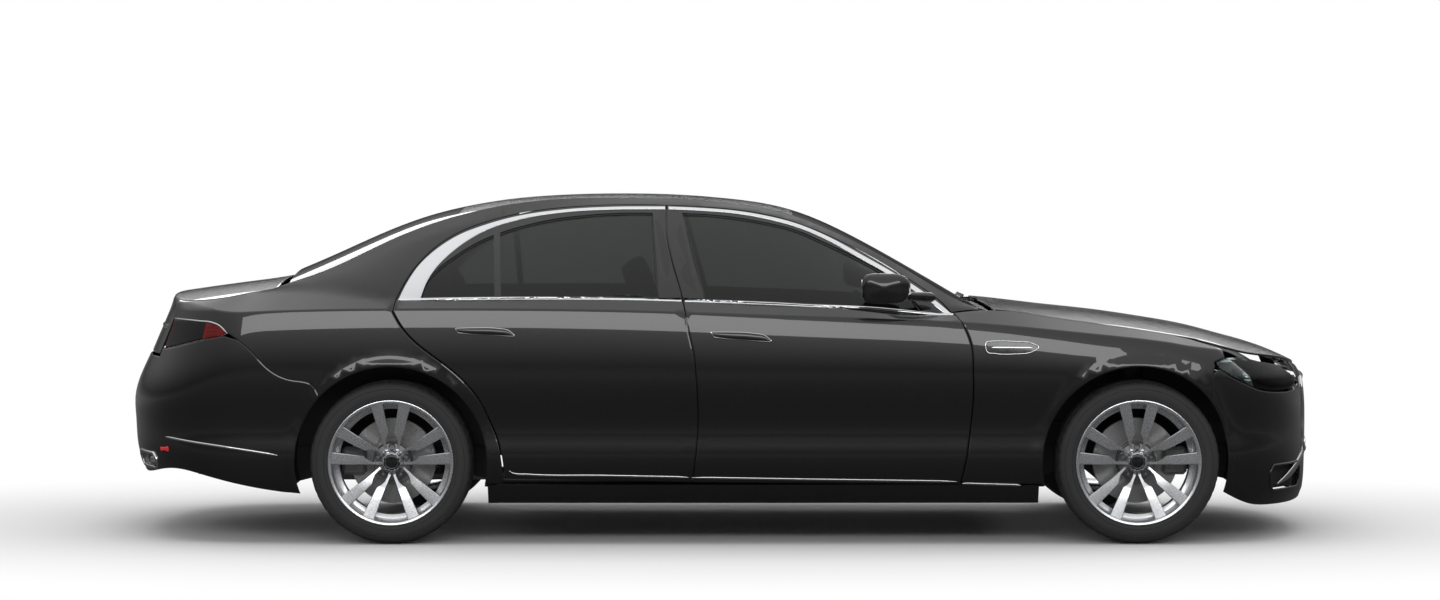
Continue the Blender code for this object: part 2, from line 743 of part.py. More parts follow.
CAR = collection("sedan")
TOOLS = collection("cutters", hidden=True)

PAINT = material("black_paint", (0.012, 0.013, 0.015), 0.16, 0.35)
TRIM = material("black_trim", (0.02, 0.02, 0.021), 0.5)
CHROME = material("chrome", (0.82, 0.83, 0.85), 0.08, 1.0)
GLASS = material("tinted_glass", (0.05, 0.06, 0.06), 0.03, 0.0, 0.45)
LENS = material("clear_lens", (0.70, 0.75, 0.80), 0.05, 0.0, 0.5)
RED_LENS = material("red_lens", (0.45, 0.01, 0.01), 0.12)
RUBBER = material("tyre_rubber", (0.022, 0.022, 0.023), 0.85)
ALLOY = material("silver_alloy", (0.62, 0.63, 0.65), 0.28, 0.9)
STEEL = material("bare_steel", (0.32, 0.32, 0.33), 0.45, 0.9)
LEATHER = material("dark_leather", (0.035, 0.033, 0.032), 0.55)
PLASTIC = material("cabin_plastic", (0.03, 0.03, 0.031), 0.6)
UNDERBODY = material("underbody", (0.06, 0.06, 0.06), 0.8)
IRON = material("engine_iron", (0.25, 0.25, 0.26), 0.6, 0.7)


def add_body(name, mesh, finish):
    return add_object(name, mesh, finish, CAR)


def add_moving(name, mesh, finish, point):
    """A piece whose origin sits on its joint's axis."""
    thing = add_object(name, on_axis(mesh, point), finish, CAR)
    thing.location = point
    return thing


# Outlines of the openings and panels, in (station, height) on the drawing

DOOR_FRONT_EDGE = ((1.030, 0.262), (1.056, 0.368), (1.073, 0.496), (1.085, 0.647), (1.084, 0.754),
                   (1.076, 0.861), (1.053, 0.925), (1.026, 0.968))
DOOR_TOP_LINE = ((1.020, 0.978), (0.948, 1.044), (0.864, 1.106), (0.693, 1.210), (0.521, 1.300),
                 (0.347, 1.373), (0.172, 1.419), (-0.090, 1.448), (-0.353, 1.457), (-0.616, 1.444),
                 (-0.877, 1.396), (-1.051, 1.328), (-1.179, 1.259), (-1.290, 1.180),
                 (-1.370, 1.095), (-1.395, 1.050))
DOOR_REAR_EDGE = ((-1.404, 1.005), (-1.377, 0.957), (-1.323, 0.890), (-1.245, 0.826),
                  (-1.159, 0.762), (-1.095, 0.705), (-1.030, 0.625), (-0.987, 0.539),
                  (-0.951, 0.450), (-0.934, 0.367), (-0.925, 0.285))
DOOR_SPLIT = ((-0.233, 1.458), (-0.232, 1.327), (-0.197, 1.177), (-0.162, 1.058), (-0.140, 0.940),
              (-0.115, 0.830), (-0.098, 0.680), (-0.094, 0.500), (-0.104, 0.380), (-0.120, 0.270))
FRONT_WINDOW_TOP = ((0.800, 1.108), (0.697, 1.174), (0.610, 1.222), (0.523, 1.266), (0.436, 1.305),
                    (0.348, 1.344), (0.261, 1.369), (0.086, 1.402), (-0.080, 1.419), (-0.165, 1.422))
REAR_WINDOW_TOP = ((-0.294, 1.423), (-0.396, 1.424), (-0.572, 1.415), (-0.703, 1.400),
                   (-0.834, 1.374), (-0.965, 1.335), (-1.052, 1.298), (-1.139, 1.246),
                   (-1.217, 1.188), (-1.275, 1.130))
WINDOW_SILL_RISE = 0.014
HEADLAMP_TOP = ((2.165, 0.783), (2.215, 0.797), (2.270, 0.803), (2.350, 0.800), (2.500, 0.778),
                (2.680, 0.745), (2.820, 0.700), (2.880, 0.668))
HEADLAMP_BOTTOM = ((2.860, 0.652), (2.760, 0.645), (2.600, 0.644), (2.490, 0.650), (2.410, 0.661),
                   (2.345, 0.680), (2.285, 0.702), (2.230, 0.726), (2.185, 0.755))
TAILLAMP_TOP = ((-2.790, 0.962), (-2.622, 0.961), (-2.397, 0.958), (-2.285, 0.953), (-2.235, 0.943),
                (-2.170, 0.906))
TAILLAMP_BOTTOM = ((-2.195, 0.896), (-2.360, 0.874), (-2.530, 0.848), (-2.676, 0.832), (-2.790, 0.826))
REAR_SPLIT = ((-2.105, 0.879), (-2.030, 0.833), (-1.976, 0.786), (-1.914, 0.737), (-1.835, 0.708),
              (-1.756, 0.690), (-1.722, 0.640))
SILL_TOP = 0.262
DOOR_BOTTOM_REAR = 0.280
SILL_FRONT_X = 1.372
SILL_REAR_X = -0.998
LID_BOTTOM = 0.806
BUMPER_TOP = 0.793
LID_HALF_WIDTH = 0.597
RAIL_END_X = -0.95


def placed(points):
    """Outline points (station, height) as (place, w) on the body side."""
    return np.array([(contour_place(x, z), height_place(x, z)) for x, z in points])


def shifted(run, distance):
    """An open run moved sideways: positive to the left of its direction."""
    way = np.gradient(run, axis=0)
    way = way / np.linalg.norm(way, axis=1, keepdims=True)
    return run + np.stack([-way[:, 1], way[:, 0]], -1) * distance


def arc(centre_x, radius, start_deg, end_deg, count):
    """A round arch about an axle, from one angle to another, as (place, w)."""
    angles = np.radians(np.linspace(start_deg, end_deg, count))
    return np.stack([centre_x + radius * np.cos(angles), TYRE_RADIUS + radius * np.sin(angles)], -1)


def cut_run(run, crossing):
    """The part of a run before its nearest point to where another run starts."""
    return run[:int(np.argmin(np.hypot(*(run - crossing).T)))]


def cut_run(run, keep):
    """The points of a run that a test keeps."""
    return run[keep]


REAR_AXLE_S, FRONT_AXLE_S = DRAWN_STATIONS[1], DRAWN_STATIONS[2]
SIDE_END = NOSE_START + 2 * NOSE_RUN
DOOR_GRID = (0.17, 0.10)
PANEL_GRID = (0.16, 0.11)
EDGE_STATIONS = (1.19, 1.27, 1.36, 1.47, 1.60, 1.75, 1.90, 2.02)
NOSE_PLACES = np.linspace(2.10, SIDE_END, 13)
TAIL_PLACES = -np.linspace(-LID_FRONT + 0.018, 2.72, 10)
RAIL_STATIONS = (1.115, 1.05, 0.97, 0.89, 0.80, 0.71, 0.62, 0.53, 0.43, 0.32, 0.20, 0.05, -0.12, -0.30,
                 -0.48, -0.65, -0.80, -0.95, -1.05, -1.145, -1.24, -1.34, -1.45, -1.56, -1.67, -1.78,
                 -1.88)
ROOF_FRONT_X = 0.32
ROOF_REAR_X = -1.145
REAR_WINDOW_END_X = -1.88

front_edge = smooth_run(placed(DOOR_FRONT_EDGE), 9)
top_line = smooth_run(placed(DOOR_TOP_LINE), 28)
rear_edge = smooth_run(placed(DOOR_REAR_EDGE), 12)
split = smooth_run(placed(DOOR_SPLIT), 11)
split[0, 1] = np.interp(split[0, 0], top_line[::-1, 0], top_line[::-1, 1])
split_at = int(np.argmin(np.hypot(*(top_line - split[0]).T)))
split_front = shifted(split, SHUT_GAP / 2)
split_rear = shifted(split, -SHUT_GAP / 2)


def on_left_of(run, x, forward):
    """The points of a run on one side of a station."""
    return run[run[:, 0] > x] if forward else run[run[:, 0] < x]


front_top = on_left_of(top_line, split_front[0, 0] + 0.012, True)
rear_top = on_left_of(top_line, split_rear[0, 0] - 0.012, False)


def belt_sill(start_x, end_x, count):
    """The lower edge of a window opening, a little above the belt line."""
    places = np.linspace(start_x, end_x, count)
    return np.stack([places, belt_place(places) + WINDOW_SILL_RISE], -1)


def door_loop(front):
    """One door's outline, how far its inner box is set in, its window and its four run lengths."""
    if front:
        low = straight_run(split_front[-1], front_edge[0], 6)[1:-1]
        runs = [front_edge, front_top, split_front, low]
        hinged = FRAME_STEP + (FRONT_STEP - FRAME_STEP) * (1 - smooth_step(front_edge[:, 1], 0.84, 0.94))
        steps = [hinged, FRAME_STEP, LATCH_STEP, DOOR_STEP]
        window = joined(belt_sill(-0.066, 0.870, 6), smooth_run(placed(FRONT_WINDOW_TOP), 11))
    else:
        low = straight_run(rear_edge[-1], split_rear[-1], 5)[1:-1]
        runs = [split_rear[::-1], rear_top, rear_edge, low]
        rise = split_rear[::-1]
        hinged = LATCH_STEP + (FRONT_STEP - LATCH_STEP) * (1 - smooth_step(rise[:, 1], 0.90, 1.05))
        steps = [hinged, FRAME_STEP, DOOR_STEP, DOOR_STEP]
        window = joined(belt_sill(-1.305, -0.264, 6), smooth_run(placed(REAR_WINDOW_TOP), 11))
    loop = np.concatenate(runs)
    step = np.concatenate([np.full(len(run), 1.0) * value for run, value in zip(runs, steps)])
    return loop, step, window, [len(run) for run in runs]


def thinned(loop, spacing=0.030):
    """A loop without the points that crowd together."""
    kept = [loop[0]]
    for point in loop[1:]:
        if np.hypot(*(point - kept[-1])) > spacing and np.hypot(*(point - kept[0])) > spacing / 2:
            kept.append(point)
    return np.array(kept)


def aperture(loop, step):
    """The body's opening behind a door: its edge clears the door's inner box."""
    return inset(loop, np.where(step < FRAME_STEP * 1.05, -SHUT_GAP, step - PILLAR_CLEARANCE))


def crease_line(start, end):
    """The shoulder crease as a line of points."""
    return body_line(lambda s: shoulder_lines(s)[4], start, end)


def body_line(height, start, end):
    places = np.sort(np.linspace(start, end, max(3, int(abs(end - start) / 0.13))))
    return np.stack([places, height(places)], -1)


def door_depths(uv, zone):
    belt = belt_place(uv[:, 0])
    deep = DOOR_DEPTH + (DOOR_FRAME_DEPTH - DOOR_DEPTH) * smooth_step(uv[:, 1], belt - 0.05, belt)
    return np.zeros(len(uv)), deep if zone == 1 else np.full(len(uv), DOOR_EDGE)


def facing(side):
    return (0.0, -side, 0.0)


# Doors, their glass and the mirrors

MIRROR_X = 0.735
MIRROR_Z = 1.107
MIRROR_INNER_Y = 0.945
MIRROR_OUTER_Y = 1.135
MIRROR_LENGTH = 0.085
MIRROR_HEIGHT = 0.066
MIRROR_SEAT = 0.0004


def hinge_line(run):
    """Real station and half width of a door's hinge line behind its front edge."""
    station = float(run[:, 0].max()) - HINGE_SETBACK
    heights = np.linspace(HINGE_HEIGHTS[0] - HINGE_EYE_HEIGHT, HINGE_HEIGHTS[1] + HINGE_EYE_HEIGHT, 9)
    skin_y = float(side_drawn(np.full(9, station), heights)[1].min())
    return float(along(station)), float(across(skin_y)) - HINGE_INSET


def eye_meshes(name, line, side, reach_x, reach_y, above):
    """Hinge eyes on a door's axis, each with the web that carries it."""
    found = []
    for height in HINGE_HEIGHTS:
        low = float(up(height)) + (SEAT_GAP if above else -HINGE_EYE_HEIGHT)
        high = low + HINGE_EYE_HEIGHT
        found.append(rod_mesh(name, (line[0], side * line[1], low), (line[0], side * line[1], high),
                              HINGE_EYE_RADIUS, 12))
        half = HINGE_EYE_RADIUS * 0.8
        xs = (line[0] - reach_x, line[0] + (0 if reach_x else half))
        xs = (xs[0] - (0 if reach_x else half), xs[1])
        ys = sorted((side * (line[1] - reach_y - (half if reach_x else 0)), side * (line[1] + (half if reach_x else 0))))
        found.append(box_mesh(name, (xs[0], ys[0], low), (xs[1], ys[1], high)))
    return found


def mirror_mesh(name, side):
    """Door mirror: a rounded housing on an arm whose foot lies on the door, ahead of its window."""
    foot = [(0.880, 0.016), (0.905, 0.016), (0.930, 0.016), (0.918, 0.032), (0.900, 0.046), (0.880, 0.050)]
    foot = np.array([(x, float(belt_place(x)) + rise) for x, rise in foot])
    foot_mesh = panel_mesh(name, foot, side_surface(side), even_depth(-0.012, -MIRROR_SEAT), (0.09, 0.05),
                           inward=facing(side))
    rings = []
    for share, size in ((0.0, 0.40), (0.08, 0.74), (0.35, 1.0), (0.75, 0.95), (0.95, 0.78), (1.0, 0.60)):
        y = MIRROR_INNER_Y + (MIRROR_OUTER_Y - MIRROR_INNER_Y) * share
        ring = []
        for k in range(14):
            turn = 2 * math.pi * k / 14
            reach = math.cos(turn) if math.cos(turn) > 0 else 0.5 * math.cos(turn)
            x = MIRROR_X - 0.030 * share + MIRROR_LENGTH * size * reach
            z = MIRROR_Z + MIRROR_HEIGHT * size * math.sin(turn)
            ring.append((float(along(x)), side * float(across(y)), float(up(z))))
        rings.append(ring)
    housing = loft_mesh(name, rings)
    foot_place = side_surface(side)(np.array([(0.905, float(belt_place(0.905)) + 0.028)]))[0]
    arm_start = (foot_place[0], foot_place[1] + side * 0.0105, foot_place[2])
    arm_end = (float(along(MIRROR_X + 0.02)), side * float(across(MIRROR_INNER_Y + 0.03)),
               float(up(MIRROR_Z - 0.030)))
    arm = rod_mesh(name, arm_start, arm_end, 0.010, 8)
    return combined(name, [housing, arm, foot_mesh])


def build_door(place, word, side):
    front = place == "front"
    loop, step, window, _ = door_loop(front)
    inner = thinned(inset(loop, step))
    surface = side_surface(side)
    name = f"door_{place}_{word}"
    shell = panel_mesh(name, loop, surface, door_depths, DOOR_GRID, zones=[inner], holes=[window],
                       inward=facing(side), lines=[crease_line(-1.45, 1.10), body_line(belt_place, 0.86, 0.98)])
    line = hinge_line(front_edge if front else split_rear)
    eyes = eye_meshes(name, line, side, FRONT_STEP - HINGE_SETBACK + 0.020, 0.0, True)
    point = (line[0], side * line[1], float(up(HINGE_HEIGHTS[0])))
    door = combined(name, [shell, *eyes])
    add_moving(name, door, PAINT, point)
    glass = f"glass_{place}_{word}"
    pane = panel_mesh(glass, inset(window, SEAT_GAP), surface,
                      even_depth(GLASS_INSET, GLASS_INSET + GLASS_THICKNESS), DOOR_GRID,
                      inward=facing(side))
    add_moving(glass, pane, GLASS, point)
    if front:
        mirror = f"mirror_{word}"
        add_moving(mirror, mirror_mesh(mirror, side), PAINT, point)


for word, side in SIDES:
    build_door("front", word, side)
    build_door("rear", word, side)

# Body side frames: windscreen pillar, roof rail, centre pillar and sill in one pressing

SILL_LOW = 0.176
SILL_HIGH = 0.256
PILLAR_LOW_DEPTH = 0.110
PAD_LOW, PAD_HIGH = 0.60, 0.68
FOOT_FACE = 0.016


def side_frame_depths(uv, zone):
    s, w = uv.T
    belt = belt_place(s)
    if zone == 0:
        edge = np.clip(rail_place(s) - w, 0, None)
        return np.zeros(len(uv)), np.where(w > belt - 0.02, np.minimum(RAIL_SHELL, RAIL_LIP + 0.88 * edge),
                                           PILLAR_LOW_DEPTH)
    high = smooth_step(w, belt - 0.05, belt)
    foot = np.where(s > 0.9, smooth_step(w, 0.88, 0.97), 0.0)
    near = PILLAR_FACE + (PILLAR_HIGH_FACE - PILLAR_FACE) * high
    near = near + (FOOT_FACE - near) * foot
    far = PILLAR_LOW_DEPTH + (PILLAR_HIGH_DEPTH - PILLAR_LOW_DEPTH) * high
    if zone == 2:
        near = np.full(len(uv), 0.85 * SKIN)
    return near, far


def rail_run(start_x, end_x):
    stations = np.array([x for x in RAIL_STATIONS if end_x - 1e-6 <= x <= start_x + 1e-6])
    return np.stack([stations, rail_place(stations)], -1)


def build_side_frame(word, side, fender):
    """Windscreen pillar, roof rail, centre pillar and sill, with a pad the fender lies on."""
    loop, step, _, _ = door_loop(True)
    front_hole = thinned(aperture(loop, step), 0.012)
    loop, step, _, counts = door_loop(False)
    rear_hole = aperture(loop, step)
    b_part = rear_hole[:counts[0]][::-1]
    top_part = rear_hole[counts[0]:counts[0] + counts[1]]
    top_part = top_part[top_part[:, 0] > RAIL_END_X + 0.015][::-1]
    low_part = rear_hole[sum(counts[:3]):][::-1]
    gap_top = shifted(top_line, -SHUT_GAP)[::-1]
    rail_foot = (RAIL_END_X, float(np.interp(RAIL_END_X, gap_top[:, 0], gap_top[:, 1])))
    outline = joined(straight_run((SILL_REAR_X, SILL_LOW), (SILL_FRONT_X, SILL_LOW), 16),
                     [(SILL_FRONT_X, SILL_HIGH), (BULKHEAD_X + 0.10, SILL_HIGH)],
                     straight_run((BULKHEAD_X, SILL_HIGH), (BULKHEAD_X, 0.92), 7),
                     rail_run(1.115, RAIL_END_X), [rail_foot], thinned(np.concatenate([top_part, b_part])),
                     low_part, [(SILL_REAR_X, SILL_HIGH + 0.006)])
    between = np.array([x for x in np.linspace(-0.08, -0.38, 7)])
    lowered = np.interp(between, gap_top[:, 0], gap_top[:, 1]) - 0.4 * SHUT_GAP
    cowl = np.linspace(1.18, 0.99, 6)
    floor_w = SILL_HIGH + 0.0025
    hidden = joined([(-1.3, floor_w), (1.30, floor_w), (1.30, 0.98)],
                    np.stack([cowl, belt_place(cowl) + 0.003], -1),
                    [(0.90, 0.90), (0.90, 0.40), (-0.03, 0.40), (-0.03, lowered[0] - 0.03)],
                    np.stack([between, lowered], -1),
                    [(-0.42, lowered[-1] - 0.03), (-0.42, 0.40), (-1.3, 0.40)])
    pad = np.array([(BULKHEAD_X - 0.045, PAD_LOW), (BULKHEAD_X - 0.006, PAD_LOW),
                    (BULKHEAD_X - 0.006, PAD_HIGH), (BULKHEAD_X - 0.045, PAD_HIGH)])
    name = f"side_frame_{word}"
    shell = panel_mesh(name, outline, side_surface(side), side_frame_depths, PANEL_GRID,
                       zones=[hidden, pad], holes=[front_hole], inward=facing(side))
    eyes = []
    for run in (front_edge, split_rear):
        eyes += eye_meshes(name, hinge_line(run), side, 0.0, 0.045, False)
    frame = combined(name, [shell, *eyes])
    seat = moved(fender, Matrix.Translation((0, -side * SEAT_GAP, 0)))
    add_body(name, combined(name, [frame, seat], 'DIFFERENCE'), PAINT)



# Fenders, quarter panels, lamps and bumpers

FENDER_LOW = SILL_HIGH + 0.006
FENDER_LAMP_X = 2.255
FENDER_SPLIT = ((2.163, 0.764), (2.146, 0.736), (2.134, 0.690), (2.130, 0.604))
BUMPER_LIP = ((2.194, 0.222), (2.270, 0.190), (2.380, 0.160), (2.520, 0.150), (2.750, 0.147),
              (3.050, 0.147), (SIDE_END, 0.147))
REAR_LIP = ((-1.845, 0.217), (-2.000, 0.240), (-2.240, 0.284), (-2.457, 0.315), (-2.750, 0.290),
            (-3.050, 0.270), (-SIDE_END, 0.265))
GRILLE_HALF_WIDTH = 0.430
GRILLE_LOW = 0.360
GRILLE_HIGH = 0.690
GRILLE_CROWN = 0.009
INTAKE_MARGIN = 0.197
INTAKE_INNER = 0.500
INTAKE_OUTER = DRAWN_HALF_WIDTH - INTAKE_MARGIN
INTAKE_LOW, INTAKE_HIGH = 0.215, 0.330
EXHAUST_INNER, EXHAUST_OUTER = 0.440, 0.680
EXHAUST_LOW, EXHAUST_HIGH = 0.305, 0.375
BUMPER_SKIN = 0.006
LAMP_SHELL = 0.012
GRILLE_FRAME = 0.022
GRILLE_GAPS = 4
GRILLE_RIB = 0.024
GRILLE_BAR = 0.016


def arch_angle(x, z, axle):
    return math.degrees(math.atan2(z - TYRE_RADIUS, x - axle))


def arch_edge_angle(z, forward):
    """Angle at which the wheel arch's edge is at a height, ahead of or behind the axle."""
    angle = math.degrees(math.asin((z - TYRE_RADIUS) / ARCH_RADIUS))
    return angle if forward else 180 - angle


def belt_run(start, end, count, drop=0.0):
    places = np.linspace(start, end, count)
    return np.stack([places, belt_place(places) - drop], -1)


def as_places(points):
    return np.array(points, float)


def fender_outline():
    rear = shifted(front_edge, -SHUT_GAP)
    rear = np.concatenate([rear[rear[:, 1] > FENDER_LOW], shifted(top_line, -SHUT_GAP)[:1]])
    top_start = rear[-1][0] - 0.016
    lamp = smooth_run(as_places(HEADLAMP_TOP), 12)
    lamp = shifted(lamp, SEAT_GAP)
    lamp = lamp[lamp[:, 0] < FENDER_LAMP_X][::-1]
    start = arch_angle(*FENDER_SPLIT[-1], FRONT_AXLE_S)
    arch = arc(FRONT_AXLE_S, ARCH_RADIUS, start, arch_edge_angle(FENDER_LOW, False), 17)
    low = straight_run((arch[-1][0] - 0.002, FENDER_LOW), (rear[0][0] + 0.002, FENDER_LOW), 4)
    edge = [x for x in (*EDGE_STATIONS, *NOSE_PLACES) if x < FENDER_LAMP_X]
    places = np.array([top_start, (top_start + EDGE_STATIONS[0]) / 2, *edge, FENDER_LAMP_X + 0.012])
    top = np.stack([places, belt_place(places) - SHUT_GAP / 2], -1)
    return joined(rear, top, lamp,
                  as_places(FENDER_SPLIT)[:-1], arch, low)


def even_skin(thickness):
    return even_depth(0.0, thickness)


def build_fender(word, side):
    name = f"fender_{word}"
    mesh = panel_mesh(name, fender_outline(), side_surface(side), even_skin(SKIN), PANEL_GRID,
                      lines=[crease_line(0.9, 2.2)])
    add_body(name, mesh, PAINT)
    return mesh


# Place on the rear corner where the boot lid's side edge is
LID_CORNER = place_at_width(LID_HALF_WIDTH + SHUT_GAP, 0.95, False)


def quarter_outline():
    rear = shifted(rear_edge, -SHUT_GAP)
    rear = rear[rear[:, 1] > FENDER_LOW + 0.01]
    top = shifted(top_line, -SHUT_GAP)
    top = top[(top[:, 0] < RAIL_END_X - 0.012)]
    rail_x = RAIL_END_X - RAIL_GAP
    gap_w = float(np.interp(-rail_x, -shifted(top_line, -SHUT_GAP)[:, 0], shifted(top_line, -SHUT_GAP)[:, 1]))
    rail = rail_run(RAIL_END_X - 0.01, -1.9)
    lamp_top = shifted(smooth_run(as_places(TAILLAMP_TOP), 10), SEAT_GAP)
    corner = LID_CORNER
    places = np.array([s for s in TAIL_PLACES if s > corner + 0.02] + [corner])
    deck = np.stack([places, belt_place(places) - SHUT_GAP / 2], -1)
    lamp_top = lamp_top[lamp_top[:, 0] > corner + 0.012]
    start = arch_angle(REAR_SPLIT[-1][0], REAR_SPLIT[-1][1], REAR_AXLE_S)
    arch = arc(REAR_AXLE_S, ARCH_RADIUS, start, arch_edge_angle(FENDER_LOW, True), 19)
    corner_low = (corner, float(lamp_top[0][1]))
    return joined([(rail_x, gap_w), (rail_x, float(rail_place(rail_x)))], rail, deck, [corner_low], lamp_top,
                  smooth_run(as_places(REAR_SPLIT), 8)[:-1], arch,
                  straight_run((arch[-1][0] + 0.01, FENDER_LOW), (rear[-1][0] - 0.004, FENDER_LOW), 3),
                  rear[::-1], top[::-1])


def build_quarter(word, side):
    name = f"quarter_panel_{word}"
    add_body(name, panel_mesh(name, quarter_outline(), side_surface(side), even_skin(SKIN), PANEL_GRID,
                              lines=[crease_line(-1.40, -2.25), body_line(belt_place, -1.46, -1.85)]), PAINT)


for word, side in SIDES:
    build_side_frame(word, side, build_fender(word, side))
    build_quarter(word, side)


def mirrored_outline(run):
    """A loop symmetric about the centre plane, from its left half: first point front, last rear."""
    run = np.array(run, float)
    other = run[::-1] * [1, -1]
    whole = np.concatenate([run, other[np.abs(other[:, 1]) > 1e-9]])
    return joined(whole)


def end_surface(front):
    """Maps (t, w) to the nose or tail, where t runs across the car from the right to the left."""
    def point(uv):
        s = (SIDE_END - np.abs(uv[:, 0])) * (1 if front else -1)
        x, y, z = side_drawn(s, uv[:, 1])
        for axle in (REAR_AXLE_S, FRONT_AXLE_S):
            y = y + arch_flare(x, z, axle)
        found = real_point(x, y, z)
        found[:, 1] *= np.where(uv[:, 0] < 0, -1.0, 1.0)
        return found
    return point


def crossing_outline(run):
    """A loop across the car in (t, w), from a run in (s, w) that ends and starts at the centre."""
    run = np.array(run, float)
    half = np.stack([SIDE_END - np.abs(run[:, 0]), run[:, 1]], -1)
    other = half[::-1] * [-1, 1]
    return joined(half, other[np.abs(other[:, 0]) > 1e-6])


def crossing_hole(inner_y, outer_y, low, high, front, side=1):
    """A rounded opening in the nose or tail between two distances from the centre plane."""
    outer = SIDE_END - abs(place_at_width(outer_y, (low + high) / 2, front))
    inner = SIDE_END - abs(place_at_width(inner_y, (low + high) / 2, front)) if inner_y > 0 else -outer
    cut = min(0.03, (high - low) * 0.3)
    crown = []
    if inner_y == 0:
        crown = [(outer * share, high + GRILLE_CROWN * (1 - share ** 2)) for share in (0.5, 0.0, -0.5)]
    loop = np.array([(inner + cut, low), (outer - cut, low), (outer, low + cut), (outer, high - cut),
                     (outer - cut, high), *crown, (inner + cut, high), (inner, high - cut), (inner, low + cut)])
    return loop * [side, 1]


def lamp_outline(top, bottom):
    return joined(smooth_run(as_places(top), 12), smooth_run(as_places(bottom), 10))


def front_bumper_outline():
    lamp = shifted(smooth_run(as_places(HEADLAMP_BOTTOM), 10), SEAT_GAP)
    split_run = shifted(as_places(FENDER_SPLIT), SEAT_GAP)
    start = arch_angle(*FENDER_SPLIT[-1], FRONT_AXLE_S)
    arch = arc(FRONT_AXLE_S, ARCH_RADIUS, start, arch_edge_angle(BUMPER_LIP[0][1], True), 12)
    lip = smooth_run(as_places(BUMPER_LIP), 10)
    lamp_end = as_places(HEADLAMP_TOP)[-1] + [SHUT_GAP, 0.0]
    places = np.array([s for s in NOSE_PLACES[::-1] if s > lamp_end[0] + 0.01])
    top = np.stack([places, belt_place(places) - SHUT_GAP], -1)
    return lamp, split_run, arch, lip, lamp_end, top


def build_front_end():
    lamp, split_run, arch, lip, lamp_end, top = front_bumper_outline()
    run = np.concatenate([top, [lamp_end], lamp, split_run[1:], arch[1:], lip[1:]])
    outline = crossing_outline(run)
    grille = crossing_hole(0, GRILLE_HALF_WIDTH, GRILLE_LOW, GRILLE_HIGH, True)
    holes = [grille]
    for side in (LEFT, RIGHT):
        holes.append(crossing_hole(INTAKE_INNER, INTAKE_OUTER, INTAKE_LOW, INTAKE_HIGH, True, side))
    add_body("front_bumper", panel_mesh("front_bumper", outline, end_surface(True), even_skin(BUMPER_SKIN),
                                        PANEL_GRID, holes=holes), PAINT)
    inner = inset(grille, SEAT_GAP)
    low, high = inner.min(axis=0), inner.max(axis=0) - [0, GRILLE_CROWN]
    slots = []
    pitch = (high[1] - low[1] - 2 * GRILLE_FRAME) / GRILLE_GAPS
    for row in range(GRILLE_GAPS):
        z = low[1] + GRILLE_FRAME + row * pitch
        for side in (LEFT, RIGHT):
            a, b = GRILLE_RIB / 2, high[0] - GRILLE_FRAME
            if row in (0, GRILLE_GAPS - 1):
                b -= 0.02
            loop = np.array([(a, z + GRILLE_BAR / 2), (b, z + GRILLE_BAR / 2),
                             (b, z + pitch - GRILLE_BAR / 2), (a, z + pitch - GRILLE_BAR / 2)])
            slots.append(loop * [side, 1])
    add_body("grille", panel_mesh("grille", inner, end_surface(True), even_depth(0.004, 0.030), (0.4, 0.4),
                                  holes=slots), CHROME)


def build_lamps(word, side):
    surface = side_surface(side)
    head = inset(lamp_outline(HEADLAMP_TOP, HEADLAMP_BOTTOM), SEAT_GAP)
    add_body(f"headlamp_{word}", panel_mesh(f"headlamp_{word}", head, surface, even_depth(0.0, LAMP_SHELL),
                                            (0.09, 0.045)), LENS)
    tail = inset(tail_lamp_outline(), SEAT_GAP)
    add_body(f"taillamp_{word}", panel_mesh(f"taillamp_{word}", tail, surface, even_depth(0.0, LAMP_SHELL),
                                            (0.09, 0.045)), RED_LENS)


def tail_lamp_outline():
    top = smooth_run(as_places(TAILLAMP_TOP), 10)
    bottom = smooth_run(as_places(TAILLAMP_BOTTOM), 9)
    corner = LID_CORNER
    top = top[top[:, 0] > corner + 0.01]
    bottom = bottom[bottom[:, 0] > corner + 0.01]
    return joined([(corner, top[0][1])], top, bottom, [(corner, bottom[-1][1])])


def build_rear_bumper():
    bottom = shifted(smooth_run(as_places(TAILLAMP_BOTTOM), 9), SEAT_GAP)
    corner = LID_CORNER
    bottom = bottom[bottom[:, 0] > corner + 0.01][::-1]
    low_split = shifted(smooth_run(as_places(REAR_SPLIT), 8), -SEAT_GAP)
    start = arch_angle(REAR_SPLIT[-1][0], REAR_SPLIT[-1][1], REAR_AXLE_S)
    arch = arc(REAR_AXLE_S, ARCH_RADIUS, start, 180 - math.degrees(
        math.asin((REAR_LIP[0][1] - TYRE_RADIUS) / ARCH_RADIUS)), 14)
    lip = smooth_run(as_places(REAR_LIP), 10)
    under_lid = straight_run((-SIDE_END, BUMPER_TOP), (corner - 0.012, BUMPER_TOP), 7)
    run = np.concatenate([under_lid, [(corner, BUMPER_TOP), (corner, bottom[0][1])],
                          bottom, low_split, arch[1:], lip[1:]])
    holes = []
    for side in (LEFT, RIGHT):
        holes.append(crossing_hole(EXHAUST_INNER, EXHAUST_OUTER, EXHAUST_LOW, EXHAUST_HIGH, False, side))
    add_body("rear_bumper", panel_mesh("rear_bumper", crossing_outline(run), end_surface(False),
                                       even_skin(BUMPER_SKIN), PANEL_GRID, holes=holes), PAINT)


build_front_end()
build_rear_bumper()
for word, side in SIDES:
    build_lamps(word, side)


# Roof, glass, hood and boot lid

ROOF_GRID = (0.20, 0.20)
HOOD_REAR_X = 1.190
HOOD_SKIN = 0.010
HOOD_AXIS_X = 1.187
HOOD_AXIS_DROP = 0.018
HOOD_EYE_Y = 0.600
WINDSCREEN_LOW_X = 1.105
WINDSCREEN_BOW = 0.045
LID_SKIN = 0.010
LID_AXIS_X = -1.946
LID_AXIS_Z = 1.090
LID_EYE_Y = 0.500
EYE_WIDTH = 0.030
LUG_POST = 0.017


